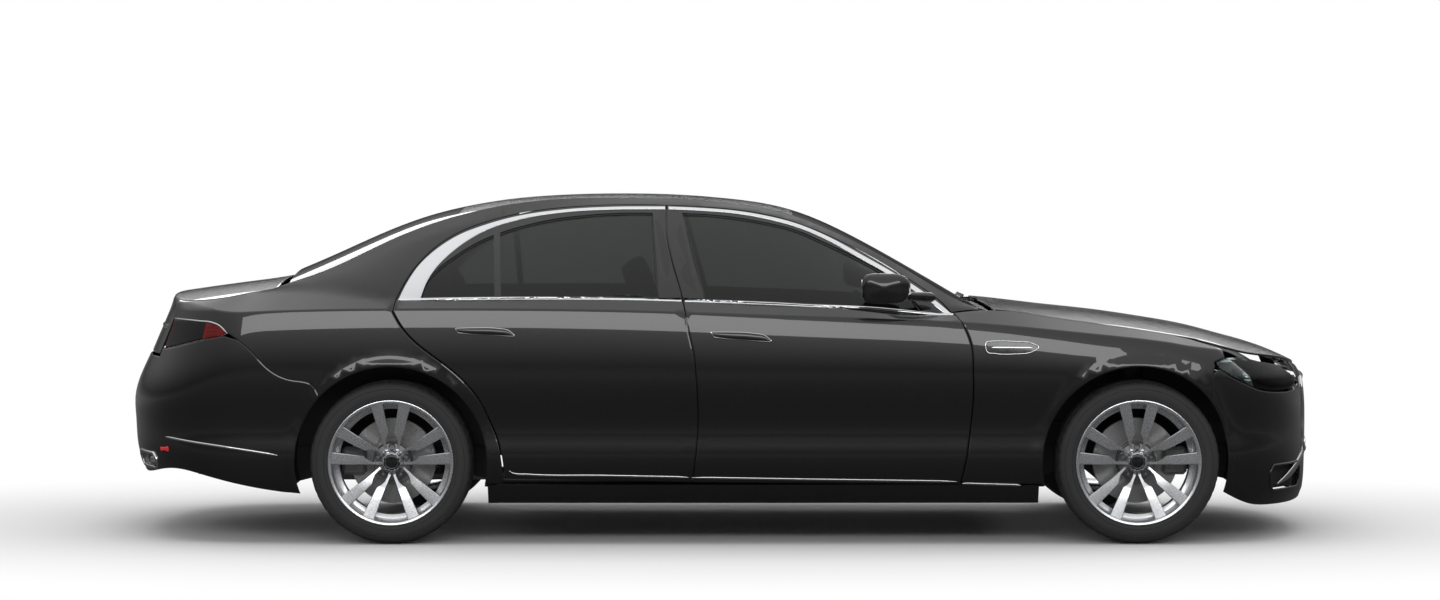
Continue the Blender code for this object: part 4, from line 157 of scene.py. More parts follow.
def spline(*keys):
    """A smooth curve through (place, value) keys, running on straight past its ends."""
    places, values = np.array(keys, float).T
    count = len(places)
    gaps = np.diff(places)
    slopes = np.diff(values) / gaps
    system = np.eye(count)
    target = np.zeros(count)
    for i in range(1, count - 1):
        system[i, i - 1] = gaps[i - 1]
        system[i, i] = 2 * (gaps[i - 1] + gaps[i])
        system[i, i + 1] = gaps[i]
        target[i] = 6 * (slopes[i] - slopes[i - 1])
    bend = np.linalg.solve(system, target)
    start_slope = slopes[0] - gaps[0] * bend[1] / 6
    end_slope = slopes[-1] + gaps[-1] * bend[-2] / 6

    def value(place):
        place = np.asarray(place, float)
        i = np.clip(np.searchsorted(places, place) - 1, 0, count - 2)
        h = gaps[i]
        a = (places[i + 1] - place) / h
        b = (place - places[i]) / h
        inside = a * values[i] + b * values[i + 1]
        inside = inside + ((a**3 - a) * bend[i] + (b**3 - b) * bend[i + 1]) * h * h / 6
        before = values[0] + (place - places[0]) * start_slope
        after = values[-1] + (place - places[-1]) * end_slope
        return np.where(place < places[0], before, np.where(place > places[-1], after, inside))

    return value


def ramp(distance, radius):
    """Zero before a corner, the distance past it after, rounded over the radius."""
    blend = (distance + radius) ** 2 / (4 * radius)
    return np.where(distance < -radius, 0.0, np.where(distance > radius, distance, blend))


def along(x):
    """A drawn station as a place along the real car."""
    real = (-BODY_LENGTH / 2, REAR_AXLE_X, FRONT_AXLE_X, BODY_LENGTH / 2)
    return np.interp(x, DRAWN_STATIONS, real)


def up(z):
    """A drawn height as a height of the real car."""
    return np.interp(z, DRAWN_HEIGHTS, (0.0, SILL_HEIGHT, BELT_HEIGHT, BODY_HEIGHT))


def across(y):
    return y * (BODY_WIDTH / 2) / DRAWN_HALF_WIDTH


def real_point(x, y, z):
    return np.stack([along(x), across(y), up(z)], -1)


# Body lines, in drawn stations and heights

HALF_WIDTH = spline((-2.3, 0.925), (-1.95, 0.945), (-1.415, 0.970), (-0.6, 0.976), (0.3, 0.977),
                    (1.1, 0.970), (1.8, 0.960), (2.1, 0.945), (2.4, 0.925))
SECTION = spline((0.10, -0.120), (0.17, -0.070), (0.20, -0.048), (0.25, -0.028), (0.32, -0.015),
                 (0.40, -0.012), (0.47, -0.019), (0.53, -0.018), (0.62, -0.007), (0.72, 0.0),
                 (0.80, -0.003), (0.88, -0.012), (0.94, -0.022), (1.00, -0.036), (1.06, -0.054))
CREASE_Z = spline((-2.6, 0.965), (-1.9, 1.005), (-1.375, 1.014), (-0.3, 1.004), (0.13, 0.990),
                  (0.68, 0.972), (1.03, 0.957), (1.37, 0.930), (1.67, 0.900), (2.0, 0.858),
                  (2.3, 0.785), (2.6, 0.690))
BELT_Y = spline((-2.45, 0.690), (-2.2, 0.690), (-1.9, 0.690), (-1.7, 0.760), (-1.5, 0.850),
                (-1.3, 0.878), (-0.6, 0.884), (0.3, 0.882), (0.9, 0.872), (1.1, 0.838),
                (1.25, 0.808), (1.6, 0.800), (2.0, 0.800), (2.2, 0.795), (2.4, 0.780))
BELT_Z = spline((-1.9, 1.100), (-1.7, 1.090), (-1.5, 1.058), (-1.3, 1.049), (-0.26, 1.046),
                (0.2, 1.028), (0.6, 1.008), (0.95, 0.990), (1.1, 1.006), (1.25, 1.002))
DOOR_TOP_Y = spline((-1.9, 0.688), (-1.7, 0.700), (-1.4, 0.690), (-1.18, 0.672), (-0.88, 0.645),
                    (-0.53, 0.632), (-0.1, 0.632), (0.26, 0.650), (0.52, 0.695), (0.78, 0.765),
                    (0.95, 0.825), (1.1, 0.835))
DOOR_TOP_Z = spline((-1.9, 1.106), (-1.7, 1.150), (-1.4, 1.272), (-1.18, 1.350), (-0.88, 1.415),
                    (-0.53, 1.450), (-0.1, 1.449), (0.26, 1.404), (0.52, 1.302), (0.69, 1.211),
                    (0.86, 1.109), (0.95, 1.048), (1.1, 1.010))
RAIL_Y = spline((-1.9, 0.678), (-1.7, 0.655), (-1.4, 0.625), (-1.14, 0.600), (-0.75, 0.575),
                (-0.3, 0.565), (0.1, 0.575), (0.35, 0.605), (0.6, 0.665), (0.85, 0.735),
                (1.035, 0.795), (1.12, 0.815))
RAIL_Z = spline((-1.9, 1.112), (-1.765, 1.155), (-1.66, 1.198), (-1.448, 1.300), (-1.14, 1.412),
                (-0.968, 1.451), (-0.748, 1.479), (-0.35, 1.487), (-0.09, 1.479), (0.086, 1.459),
                (0.26, 1.428), (0.436, 1.366), (0.61, 1.286), (0.866, 1.143), (1.035, 1.044),
                (1.12, 1.012))
CENTRE_Z = spline((-1.95, 1.140), (-1.735, 1.232), (-1.553, 1.314), (-1.325, 1.401), (-1.142, 1.447),
                  (-0.96, 1.477), (-0.732, 1.496), (-0.45, 1.503), (-0.185, 1.497), (0.043, 1.479),
                  (0.226, 1.453), (0.363, 1.416), (0.59, 1.316), (0.82, 1.190), (1.047, 1.058),
                  (1.20, 0.968))
HOOD_Z = spline((1.10, 1.024), (1.275, 1.013), (1.50, 0.990), (1.73, 0.966), (1.95, 0.934),
                (2.17, 0.893), (2.30, 0.858), (2.44, 0.817), (2.52, 0.782), (2.575, 0.748),
                (2.60, 0.722))
HOOD_CROWN = spline((1.10, 0.010), (1.25, 0.012), (1.38, 0.020), (1.70, 0.033), (2.0, 0.036),
                    (2.3, 0.036), (2.6, 0.030))
DECK_Z = spline((-2.46, 1.058), (-2.35, 1.074), (-2.16, 1.100), (-1.963, 1.128), (-1.90, 1.140))
DECK_CROWN = 0.040
DECK_EDGE_Y = 0.69
NOSE_X = spline((0.10, 2.585), (0.155, 2.625), (0.22, 2.640), (0.30, 2.643), (0.42, 2.6445),
                (0.62, 2.640), (0.70, 2.622), (0.76, 2.585), (0.82, 2.530))
TAIL_X = spline((0.20, 2.560), (0.26, 2.590), (0.36, 2.628), (0.50, 2.642), (0.60, 2.6445),
                (0.70, 2.615), (0.78, 2.577), (0.88, 2.532), (1.01, 2.486), (1.10, 2.462))
CREASE_ROUND = 0.008
BELT_ROUND = spline((-2.0, 0.030), (-1.8, 0.060), (-1.6, 0.040), (-1.42, 0.012), (-1.3, 0.004),
                    (1.1, 0.004), (2.6, 0.004))
RAIL_ROUND = 0.016
ROOF_CROWN = 2.3
GLASS_BULGE = 0.020


def hood_height(x, y):
    """Drawn height of the hood, and of the fender line at its edge."""
    return HOOD_Z(x) - HOOD_CROWN(x) * (np.abs(y) / BELT_Y(x)) ** 3


def deck_height(x, y):
    """Drawn height of the boot deck, and of the quarter panel at its edge."""
    return DECK_Z(x) - DECK_CROWN * (np.abs(y) / DECK_EDGE_Y) ** 2.2


def smooth_step(value, low, high):
    share = np.clip((value - low) / (high - low), 0, 1)
    return share * share * (3 - 2 * share)


def plan_contour(s, half, z):
    """Outer contour of the body in plan at place s, and its inward direction."""
    way = np.where(s > 0, 1.0, -1.0)
    start = np.where(s > 0, NOSE_START, -TAIL_START)
    q = np.clip((np.abs(s) - start) / (2 * NOSE_RUN), 0.0, 1.0)
    run = np.where(s > 0, NOSE_X(z), TAIL_X(z)) - start
    turned = 1 - (1 - q) ** 2
    width = np.sqrt(np.maximum(0.0, 1 - turned**3))
    x = np.where(q > 0, way * (start + run * turned), s)
    y = half * width
    dx = 2 * run * (1 - q)
    dy = -half * 3 * turned**2 * (1 - q) / np.maximum(width, 1e-9)
    dy = np.where(q > 0.999, -half * math.sqrt(3), dy)
    length = np.hypot(dx, dy)
    return x, y, way * dy / length, -dx / length, q


def shoulder_lines(s):
    """Crease and belt lines at place s: all that a body section needs besides its height."""
    rear = s < 0
    x, _, _, _, q = plan_contour(s, 1.0, np.where(rear, TAIL_TOP_Z, NOSE_TOP_Z))
    half = HALF_WIDTH(x)
    kept = np.where(rear, 1 - 0.9 * smooth_step(q, 0.10, 0.55), 1 - 0.9 * smooth_step(q, 0.02, 0.30))
    plain_crease = CREASE_Z(x)
    crease_half = half + SECTION(1.0)
    crease_x, crease_y, in_x, in_y, _ = plan_contour(s, crease_half, np.where(rear, plain_crease, NOSE_TOP_Z))
    reach = np.maximum(crease_half - BELT_Y(x), 0.02) * kept
    belt_x, belt_y = crease_x + in_x * reach, crease_y + in_y * reach
    belt_z = np.where(belt_x < DECK_START, deck_height(belt_x, belt_y),
                      np.where(belt_x > HOOD_START, hood_height(belt_x, belt_y), BELT_Z(x)))
    belt_z = np.maximum(belt_z, plain_crease + 0.012)
    crease_z = belt_z - (belt_z - plain_crease) * kept
    shoulder = np.hypot(reach, belt_z - crease_z)
    return x, half, crease_half, reach, crease_z, belt_z, shoulder, belt_x, belt_y


def side_drawn(s, w):
    """Body side at place s and height w, where w runs on past the crease as a distance."""
    s = np.asarray(s, float)
    w = np.asarray(w, float)
    x, half, crease_half, reach, crease_z, belt_z, shoulder, _, _ = shoulder_lines(s)
    door_y, door_z = DOOR_TOP_Y(x), DOOR_TOP_Z(x)
    rail_y, rail_z = RAIL_Y(x), RAIL_Z(x)
    window = np.hypot(crease_half - reach - door_y, door_z - belt_z) + 1e-9
    rail = np.hypot(door_y - rail_y, rail_z - door_z) + 1e-9
    past = w - crease_z
    on_shoulder = ramp(past, CREASE_ROUND)
    on_window = ramp(past - shoulder, BELT_ROUND(x))
    on_rail = ramp(past - shoulder - window, RAIL_ROUND)
    first = on_shoulder - on_window
    second = on_window - on_rail
    z_low = crease_z + past - on_shoulder
    knee = 0.70
    scaled = np.where(z_low < knee, z_low, knee + (z_low - knee) * (1.0 - knee) / (crease_z - knee))
    out_x, out_y, in_x, in_y, _ = plan_contour(s, half + SECTION(scaled), z_low)
    z = z_low + first * (belt_z - crease_z) / shoulder
    z = z + second * (door_z - belt_z) / window + on_rail * (rail_z - door_z) / rail
    inward = first * reach / shoulder + second * (crease_half - reach - door_y) / window
    inward = inward + on_rail * (door_y - rail_y) / rail
    share = np.clip(second / window, 0, 1)
    bulge = 4 * GLASS_BULGE * share * (1 - share) * np.clip(window / 0.3, 0, 1)
    inward = inward - np.where(on_window > 0, bulge, 0.0)
    return out_x + in_x * inward, out_y + in_y * inward, z


def belt_place(s):
    """The w of the belt line at place s."""
    lines = shoulder_lines(np.asarray(s, float))
    return lines[4] + lines[6]


def rail_place(x):
    """The w of the roof rail at station x."""
    x = np.asarray(x, float)
    _, _, crease_half, reach, crease_z, belt_z, shoulder, _, _ = shoulder_lines(x)
    window = np.hypot(crease_half - reach - DOOR_TOP_Y(x), DOOR_TOP_Z(x) - belt_z)
    rail = np.hypot(DOOR_TOP_Y(x) - RAIL_Y(x), RAIL_Z(x) - DOOR_TOP_Z(x))
    return crease_z + shoulder + window + rail


def contour_place(x, z):
    """The place s along the plan contour whose station is x at height z."""
    start = NOSE_START if x > 0 else TAIL_START
    end = float(NOSE_X(z)) if x > 0 else -float(TAIL_X(z))
    if abs(x) <= abs(start):
        return x
    turned = min((x - start) / (end - start), 1.0)
    return math.copysign(abs(start) + 2 * NOSE_RUN * (1 - math.sqrt(1 - turned)), x)


def place_at_width(y, z, front):
    """The place s along the contour where the body is y from the centre plane."""
    places = np.linspace(NOSE_START, NOSE_START + 2 * NOSE_RUN, 400) * (1 if front else -1)
    widths = side_drawn(places, np.full(400, z))[1]
    return float(np.interp(-y, -widths, places))


def height_place(x, z):
    """The w of a height z at station x on the body side."""
    heights = np.linspace(0.12, 1.75, 900)
    drawn = side_drawn(np.full(900, x), heights)[2]
    rising = np.maximum.accumulate(drawn)
    return float(np.interp(z, rising, heights))


def arch_flare(x, z, axle):
    """How far the wheel arch lip stands out at a drawn point."""
    reach = np.hypot(x - axle, z - TYRE_RADIUS)
    return 0.010 * np.clip((0.475 - reach) / 0.05, 0, 1) ** 2


def side_surface(side):
    """Maps (s, w) to a real point on the left or right body side."""
    def point(uv):
        x, y, z = side_drawn(uv[:, 0], uv[:, 1])
        for axle in (DRAWN_STATIONS[1], DRAWN_STATIONS[2]):
            y = y + arch_flare(x, z, axle)
        found = real_point(x, y, z)
        found[:, 1] *= side
        return found
    return point


def glasshouse_surface(uv):
    """Roof, windscreen and rear window: height over (x, y)."""
    x, y = uv[:, 0], uv[:, 1]
    edge_y, edge_z = RAIL_Y(x), RAIL_Z(x)
    share = np.clip(np.abs(y) / edge_y, 0, 1.2) ** ROOF_CROWN
    return real_point(x, y, edge_z + (CENTRE_Z(x) - edge_z) * (1 - share))


def hood_surface(uv):
    """Hood height over (x, y)."""
    return real_point(uv[:, 0], uv[:, 1], hood_height(uv[:, 0], uv[:, 1]))


LID_FRONT = -1.935
LID_EDGE_ROUND = 0.014


def tail_edge(y):
    """Station of the boot lid's trailing edge across the car."""
    turned = np.clip(1 - (np.abs(y) / 0.90) ** 2, 0, 1) ** (1 / 3)
    return TAIL_START + (-2.458 - TAIL_START) * turned


def lid_surface(uv):
    """Boot lid: u runs rearward over the deck from its front edge, then down the rear face."""
    u, y = uv[:, 0], uv[:, 1]
    trailing = tail_edge(y)
    past = u - (LID_FRONT - trailing)
    down = ramp(past, LID_EDGE_ROUND)
    x = trailing - (past - down)
    z = deck_height(x, y) - down * 0.965
    lean = np.interp(down, [0.0, 0.06, 0.30], [0.0, 0.018, 0.118])
    return real_point(x - lean, y, z)


# Outlines

def smooth_run(points, count):
    """Points spaced along a smooth curve through the given ones, FINE times the count."""
    count = count * FINE
    points = np.array(points, float)
    length = np.concatenate([[0], np.cumsum(np.hypot(*np.diff(points, axis=0).T))])
    first = spline(*zip(length, points[:, 0]))
    second = spline(*zip(length, points[:, 1]))
    even = np.linspace(0, length[-1], count)
    return np.stack([first(even), second(even)], -1)


def straight_run(start, end, count):
    return np.linspace(start, end, count * FINE)


def joined(*runs):
    """One closed loop from runs laid end to end, without doubled points."""
    points = np.concatenate([np.array(run, float) for run in runs])
    step = np.hypot(*(points - np.roll(points, 1, axis=0)).T)
    return points[step > 1e-4]


def signed_area(loop):
    x, y = loop[:, 0], loop[:, 1]
    return 0.5 * float(np.sum(x * np.roll(y, -1) - np.roll(x, -1) * y))


def inset(loop, distance):
    """The loop drawn in by a distance, which may differ from point to point."""
    before = loop - np.roll(loop, 1, axis=0)
    after = np.roll(loop, -1, axis=0) - loop
    before = before / np.linalg.norm(before, axis=1, keepdims=True)
    after = after / np.linalg.norm(after, axis=1, keepdims=True)
    tangent = before + after
    tangent = tangent / np.maximum(np.linalg.norm(tangent, axis=1, keepdims=True), 1e-6)
    inward = np.stack([-tangent[:, 1], tangent[:, 0]], -1) * math.copysign(1, signed_area(loop))
    half_turn = np.maximum(np.sum(tangent * before, axis=1), 0.5)
    return loop + inward * (np.asarray(distance) / half_turn)[..., None]


def inside(points, loop):
    """Which points lie inside a closed loop."""
    x, y = points[:, 0][:, None], points[:, 1][:, None]
    x0, y0 = loop[:, 0][None], loop[:, 1][None]
    x1, y1 = np.roll(loop[:, 0], -1)[None], np.roll(loop[:, 1], -1)[None]
    crosses = (y0 > y) != (y1 > y)
    rise = np.where(np.abs(y1 - y0) < 1e-12, 1e-12, y1 - y0)
    return (np.sum(crosses & (x < x0 + (y - y0) * (x1 - x0) / rise), axis=1) % 2) == 1


def loop_distance(points, loop):
    """Distance from each point to the nearest side of a loop."""
    a, b = loop, np.roll(loop, -1, axis=0)
    along_side = b - a
    offset = points[:, None] - a[None]
    share = np.sum(offset * along_side, -1) / np.maximum(np.sum(along_side**2, -1), 1e-12)
    nearest = a + np.clip(share, 0, 1)[..., None] * along_side
    return np.min(np.linalg.norm(points[:, None] - nearest, axis=-1), axis=1)


# Outlines of the openings and panels, in (station, height) on the drawing

DOOR_FRONT_EDGE = ((1.030, 0.262), (1.056, 0.368), (1.073, 0.496), (1.085, 0.647), (1.084, 0.754),
                   (1.076, 0.861), (1.053, 0.925), (1.026, 0.968))
DOOR_TOP_LINE = ((1.020, 0.978), (0.948, 1.044), (0.864, 1.106), (0.693, 1.210), (0.521, 1.300),
                 (0.347, 1.373), (0.172, 1.419), (-0.090, 1.448), (-0.353, 1.457), (-0.663, 1.446),
                 (-0.876, 1.418), (-1.018, 1.382), (-1.140, 1.334), (-1.235, 1.273), (-1.302, 1.207),
                 (-1.358, 1.125), (-1.395, 1.050))
DOOR_REAR_EDGE = ((-1.404, 1.005), (-1.377, 0.957), (-1.323, 0.890), (-1.245, 0.826),
                  (-1.159, 0.762), (-1.095, 0.705), (-1.030, 0.625), (-0.987, 0.539),
                  (-0.951, 0.450), (-0.934, 0.367), (-0.925, 0.285))
DOOR_SPLIT = ((-0.233, 1.458), (-0.232, 1.327), (-0.197, 1.177), (-0.162, 1.058), (-0.140, 0.940),
              (-0.115, 0.830), (-0.098, 0.680), (-0.094, 0.500), (-0.104, 0.380), (-0.120, 0.270))
FRONT_WINDOW_TOP = ((0.800, 1.108), (0.697, 1.174), (0.610, 1.222), (0.523, 1.266), (0.436, 1.305),
                    (0.348, 1.344), (0.261, 1.369), (0.086, 1.402), (-0.080, 1.419), (-0.165, 1.422))
REAR_WINDOW_TOP = ((-0.294, 1.423), (-0.396, 1.424), (-0.572, 1.415), (-0.703, 1.400),
                   (-0.834, 1.374), (-0.965, 1.335), (-1.052, 1.298), (-1.139, 1.246),
                   (-1.217, 1.188), (-1.275, 1.130))
WINDOW_SILL_RISE = 0.014
HEADLAMP_TOP = ((2.165, 0.783), (2.215, 0.797), (2.270, 0.803), (2.350, 0.800), (2.500, 0.778),
                (2.680, 0.745), (2.820, 0.700), (2.880, 0.668))
HEADLAMP_BOTTOM = ((2.860, 0.652), (2.760, 0.645), (2.600, 0.644), (2.490, 0.650), (2.410, 0.661),
                   (2.345, 0.680), (2.285, 0.702), (2.230, 0.726), (2.185, 0.755))
TAILLAMP_TOP = ((-2.790, 0.962), (-2.622, 0.961), (-2.397, 0.958), (-2.285, 0.953), (-2.235, 0.943),
                (-2.170, 0.906))
TAILLAMP_BOTTOM = ((-2.195, 0.896), (-2.360, 0.874), (-2.530, 0.848), (-2.676, 0.832), (-2.790, 0.826))
REAR_SPLIT = ((-2.105, 0.879), (-2.030, 0.833), (-1.976, 0.786), (-1.914, 0.737), (-1.835, 0.708),
              (-1.756, 0.690), (-1.722, 0.640))
SILL_TOP = 0.262
DOOR_BOTTOM_REAR = 0.280
SILL_FRONT_X = 1.372
SILL_REAR_X = -0.998
LID_BOTTOM = 0.806
BUMPER_TOP = 0.793
LID_HALF_WIDTH = 0.597
RAIL_END_X = -0.95


def placed(points):
    """Outline points (station, height) as (place, w) on the body side."""
    return np.array([(contour_place(x, z), height_place(x, z)) for x, z in points])


def shifted(run, distance):
    """An open run moved sideways: positive to the left of its direction."""
    way = np.gradient(run, axis=0)
    way = way / np.linalg.norm(way, axis=1, keepdims=True)
    return run + np.stack([-way[:, 1], way[:, 0]], -1) * distance


def arc(centre_x, radius, start_deg, end_deg, count):
    """A round arch about an axle, from one angle to another, as (place, w)."""
    angles = np.radians(np.linspace(start_deg, end_deg, count * FINE))
    return np.stack([centre_x + radius * np.cos(angles), TYRE_RADIUS + radius * np.sin(angles)], -1)


REAR_AXLE_S, FRONT_AXLE_S = DRAWN_STATIONS[1], DRAWN_STATIONS[2]
SIDE_END = NOSE_START + 2 * NOSE_RUN
DOOR_GRID = (0.17, 0.10)
PANEL_GRID = (0.16, 0.11)
EDGE_STATIONS = tuple(np.linspace(1.19, 2.06, 24))
NOSE_PLACES = np.linspace(2.10, SIDE_END, 49)
TAIL_PLACES = -np.linspace(-LID_FRONT + 0.018, 2.72, 37)
RAIL_STATIONS = (*np.linspace(1.115, -0.92, 60), -0.95, *np.linspace(-0.98, -1.12, 5), -1.145,
                 *np.linspace(-1.18, -1.88, 20))
ROOF_FRONT_X = 0.32
ROOF_REAR_X = -1.145
REAR_WINDOW_END_X = -1.88

front_edge = smooth_run(placed(DOOR_FRONT_EDGE), 9)
top_line = smooth_run(placed(DOOR_TOP_LINE), 28)
rear_edge = smooth_run(placed(DOOR_REAR_EDGE), 12)
split = smooth_run(placed(DOOR_SPLIT), 11)
split[0, 1] = np.interp(split[0, 0], top_line[::-1, 0], top_line[::-1, 1])
split_at = int(np.argmin(np.hypot(*(top_line - split[0]).T)))
split_front = shifted(split, SHUT_GAP / 2)
split_rear = shifted(split, -SHUT_GAP / 2)


def on_left_of(run, x, forward):
    """The points of a run on one side of a station."""
    return run[run[:, 0] > x] if forward else run[run[:, 0] < x]


front_top = on_left_of(top_line, split_front[0, 0] + 0.012, True)
rear_top = on_left_of(top_line, split_rear[0, 0] - 0.012, False)


def belt_sill(start_x, end_x, count):
    """The lower edge of a window opening, a little above the belt line."""
    places = np.linspace(start_x, end_x, count * FINE)
    return np.stack([places, belt_place(places) + WINDOW_SILL_RISE], -1)


def door_loop(front):
    """One door's outline, how far its inner box is set in, its window and its four run lengths."""
    if front:
        low = straight_run(split_front[-1], front_edge[0], 6)[1:-1]
        runs = [front_edge, front_top, split_front, low]
        hinged = FRAME_STEP + (FRONT_STEP - FRAME_STEP) * (1 - smooth_step(front_edge[:, 1], 0.84, 0.94))
        steps = [hinged, FRAME_STEP, LATCH_STEP, DOOR_STEP]
        window = joined(belt_sill(-0.066, 0.870, 6), smooth_run(placed(FRONT_WINDOW_TOP), 11))
    else:
        low = straight_run(rear_edge[-1], split_rear[-1], 5)[1:-1]
        runs = [split_rear[::-1], rear_top, rear_edge, low]
        rise = split_rear[::-1]
        hinged = LATCH_STEP + (FRONT_STEP - LATCH_STEP) * (1 - smooth_step(rise[:, 1], 0.90, 1.05))
        steps = [hinged, FRAME_STEP, DOOR_STEP, DOOR_STEP]
        window = joined(belt_sill(-1.305, -0.264, 6), smooth_run(placed(REAR_WINDOW_TOP), 11))
    loop = np.concatenate(runs)
    step = np.concatenate([np.full(len(run), 1.0) * value for run, value in zip(runs, steps)])
    return loop, step, window, [len(run) for run in runs]


def thinned(loop, spacing=0.008):
    """A loop without the points that crowd together."""
    kept = [loop[0]]
    for point in loop[1:]:
        if np.hypot(*(point - kept[-1])) > spacing and np.hypot(*(point - kept[0])) > spacing / 2:
            kept.append(point)
    return np.array(kept)


def aperture(loop, step):
    """The body's opening behind a door: its edge clears the door's inner box."""
    return inset(loop, np.where(step < FRAME_STEP * 1.05, -SHUT_GAP, step - PILLAR_CLEARANCE))


def crease_line(start, end):
    """The shoulder crease as a line of points."""
    return body_line(lambda s: shoulder_lines(s)[4], start, end)


def body_line(height, start, end):
    places = np.sort(np.linspace(start, end, max(3, int(abs(end - start) / 0.035))))
    return np.stack([places, height(places)], -1)


def door_depths(uv, zone):
    belt = belt_place(uv[:, 0])
    deep = DOOR_DEPTH + (DOOR_FRAME_DEPTH - DOOR_DEPTH) * smooth_step(uv[:, 1], belt - 0.05, belt)
    return np.zeros(len(uv)), deep if zone == 1 else np.full(len(uv), DOOR_EDGE)


def facing(side):
    return (0.0, -side, 0.0)


def hinge_line(run):
    """Real station and half width of a door's hinge line behind its front edge."""
    station = float(run[:, 0].max()) - HINGE_SETBACK
    heights = np.linspace(HINGE_HEIGHTS[0] - HINGE_EYE_HEIGHT, HINGE_HEIGHTS[1] + HINGE_EYE_HEIGHT, 9)
    skin_y = float(side_drawn(np.full(9, station), heights)[1].min())
    return float(along(station)), float(across(skin_y)) - HINGE_INSET


# Body side frames: windscreen pillar, roof rail, centre pillar and sill in one pressing

SILL_LOW = 0.176
SILL_HIGH = 0.256
PILLAR_LOW_DEPTH = 0.110
PAD_LOW, PAD_HIGH = 0.60, 0.68
FOOT_FACE = 0.016


def side_frame_depths(uv, zone):
    s, w = uv.T
    belt = belt_place(s)
    if zone == 0:
        edge = np.clip(rail_place(s) - w, 0, None)
        return np.zeros(len(uv)), np.where(w > belt - 0.02, np.minimum(RAIL_SHELL, RAIL_LIP + 0.88 * edge),
                                           PILLAR_LOW_DEPTH)
    high = smooth_step(w, belt - 0.05, belt)
    foot = np.where(s > 0.9, smooth_step(w, 0.88, 0.97), 0.0)
    near = PILLAR_FACE + (PILLAR_HIGH_FACE - PILLAR_FACE) * high
    near = near + (FOOT_FACE - near) * foot
    far = PILLAR_LOW_DEPTH + (PILLAR_HIGH_DEPTH - PILLAR_LOW_DEPTH) * high
    if zone == 2:
        near = np.full(len(uv), 0.85 * SKIN)
    return near, far


def rail_run(start_x, end_x):
    stations = np.array([x for x in RAIL_STATIONS if end_x - 1e-6 <= x <= start_x + 1e-6])
    return np.stack([stations, rail_place(stations)], -1)


def even_depth(near, far):
    return lambda uv, zone: (np.full(len(uv), near), np.full(len(uv), far))


# Fenders, quarter panels, lamps and bumpers

FENDER_LOW = SILL_HIGH + 0.006
FENDER_LAMP_X = 2.255
FENDER_SPLIT = ((2.163, 0.764), (2.146, 0.736), (2.134, 0.690), (2.130, 0.604))
BUMPER_LIP = ((2.194, 0.222), (2.270, 0.190), (2.380, 0.160), (2.520, 0.150), (2.750, 0.147),
              (3.050, 0.147), (SIDE_END, 0.147))
REAR_LIP = ((-1.845, 0.217), (-2.000, 0.240), (-2.240, 0.284), (-2.457, 0.315), (-2.750, 0.290),
            (-3.050, 0.270), (-SIDE_END, 0.265))
GRILLE_HALF_WIDTH = 0.430
GRILLE_LOW = 0.360
GRILLE_HIGH = 0.690
GRILLE_CROWN = 0.009
INTAKE_MARGIN = 0.197
INTAKE_INNER = 0.500
INTAKE_OUTER = DRAWN_HALF_WIDTH - INTAKE_MARGIN
INTAKE_LOW, INTAKE_HIGH = 0.215, 0.330
EXHAUST_INNER, EXHAUST_OUTER = 0.440, 0.680
EXHAUST_LOW, EXHAUST_HIGH = 0.305, 0.375
BUMPER_SKIN = 0.006
LAMP_SHELL = 0.012
GRILLE_FRAME = 0.022
GRILLE_GAPS = 4
GRILLE_RIB = 0.024
GRILLE_BAR = 0.016


def arch_angle(x, z, axle):
    return math.degrees(math.atan2(z - TYRE_RADIUS, x - axle))


def arch_edge_angle(z, forward):
    """Angle at which the wheel arch's edge is at a height, ahead of or behind the axle."""
    angle = math.degrees(math.asin((z - TYRE_RADIUS) / ARCH_RADIUS))
    return angle if forward else 180 - angle


def belt_run(start, end, count, drop=0.0):
    places = np.linspace(start, end, count * FINE)
    return np.stack([places, belt_place(places) - drop], -1)


def as_places(points):
    return np.array(points, float)


def fender_outline():
    rear = shifted(front_edge, -SHUT_GAP)
    rear = np.concatenate([rear[rear[:, 1] > FENDER_LOW], shifted(top_line, -SHUT_GAP)[:1]])
    top_start = rear[-1][0] - 0.016
    lamp = smooth_run(as_places(HEADLAMP_TOP), 12)
    lamp = shifted(lamp, SEAT_GAP)
    lamp = lamp[lamp[:, 0] < FENDER_LAMP_X][::-1]
    start = arch_angle(*FENDER_SPLIT[-1], FRONT_AXLE_S)
    arch = arc(FRONT_AXLE_S, ARCH_RADIUS, start, arch_edge_angle(FENDER_LOW, False), 17)
    low = straight_run((arch[-1][0] - 0.002, FENDER_LOW), (rear[0][0] + 0.002, FENDER_LOW), 4)
    edge = [x for x in (*EDGE_STATIONS, *NOSE_PLACES) if x < FENDER_LAMP_X]
    places = np.array([top_start, (top_start + EDGE_STATIONS[0]) / 2, *edge, FENDER_LAMP_X + 0.012])
    top = np.stack([places, belt_place(places) - SHUT_GAP / 2], -1)
    return joined(rear, top, lamp,
                  as_places(FENDER_SPLIT)[:-1], arch, low)


def even_skin(thickness):
    return even_depth(0.0, thickness)


# Place on the rear corner where the boot lid's side edge is
LID_CORNER = place_at_width(LID_HALF_WIDTH + SHUT_GAP, 0.95, False)


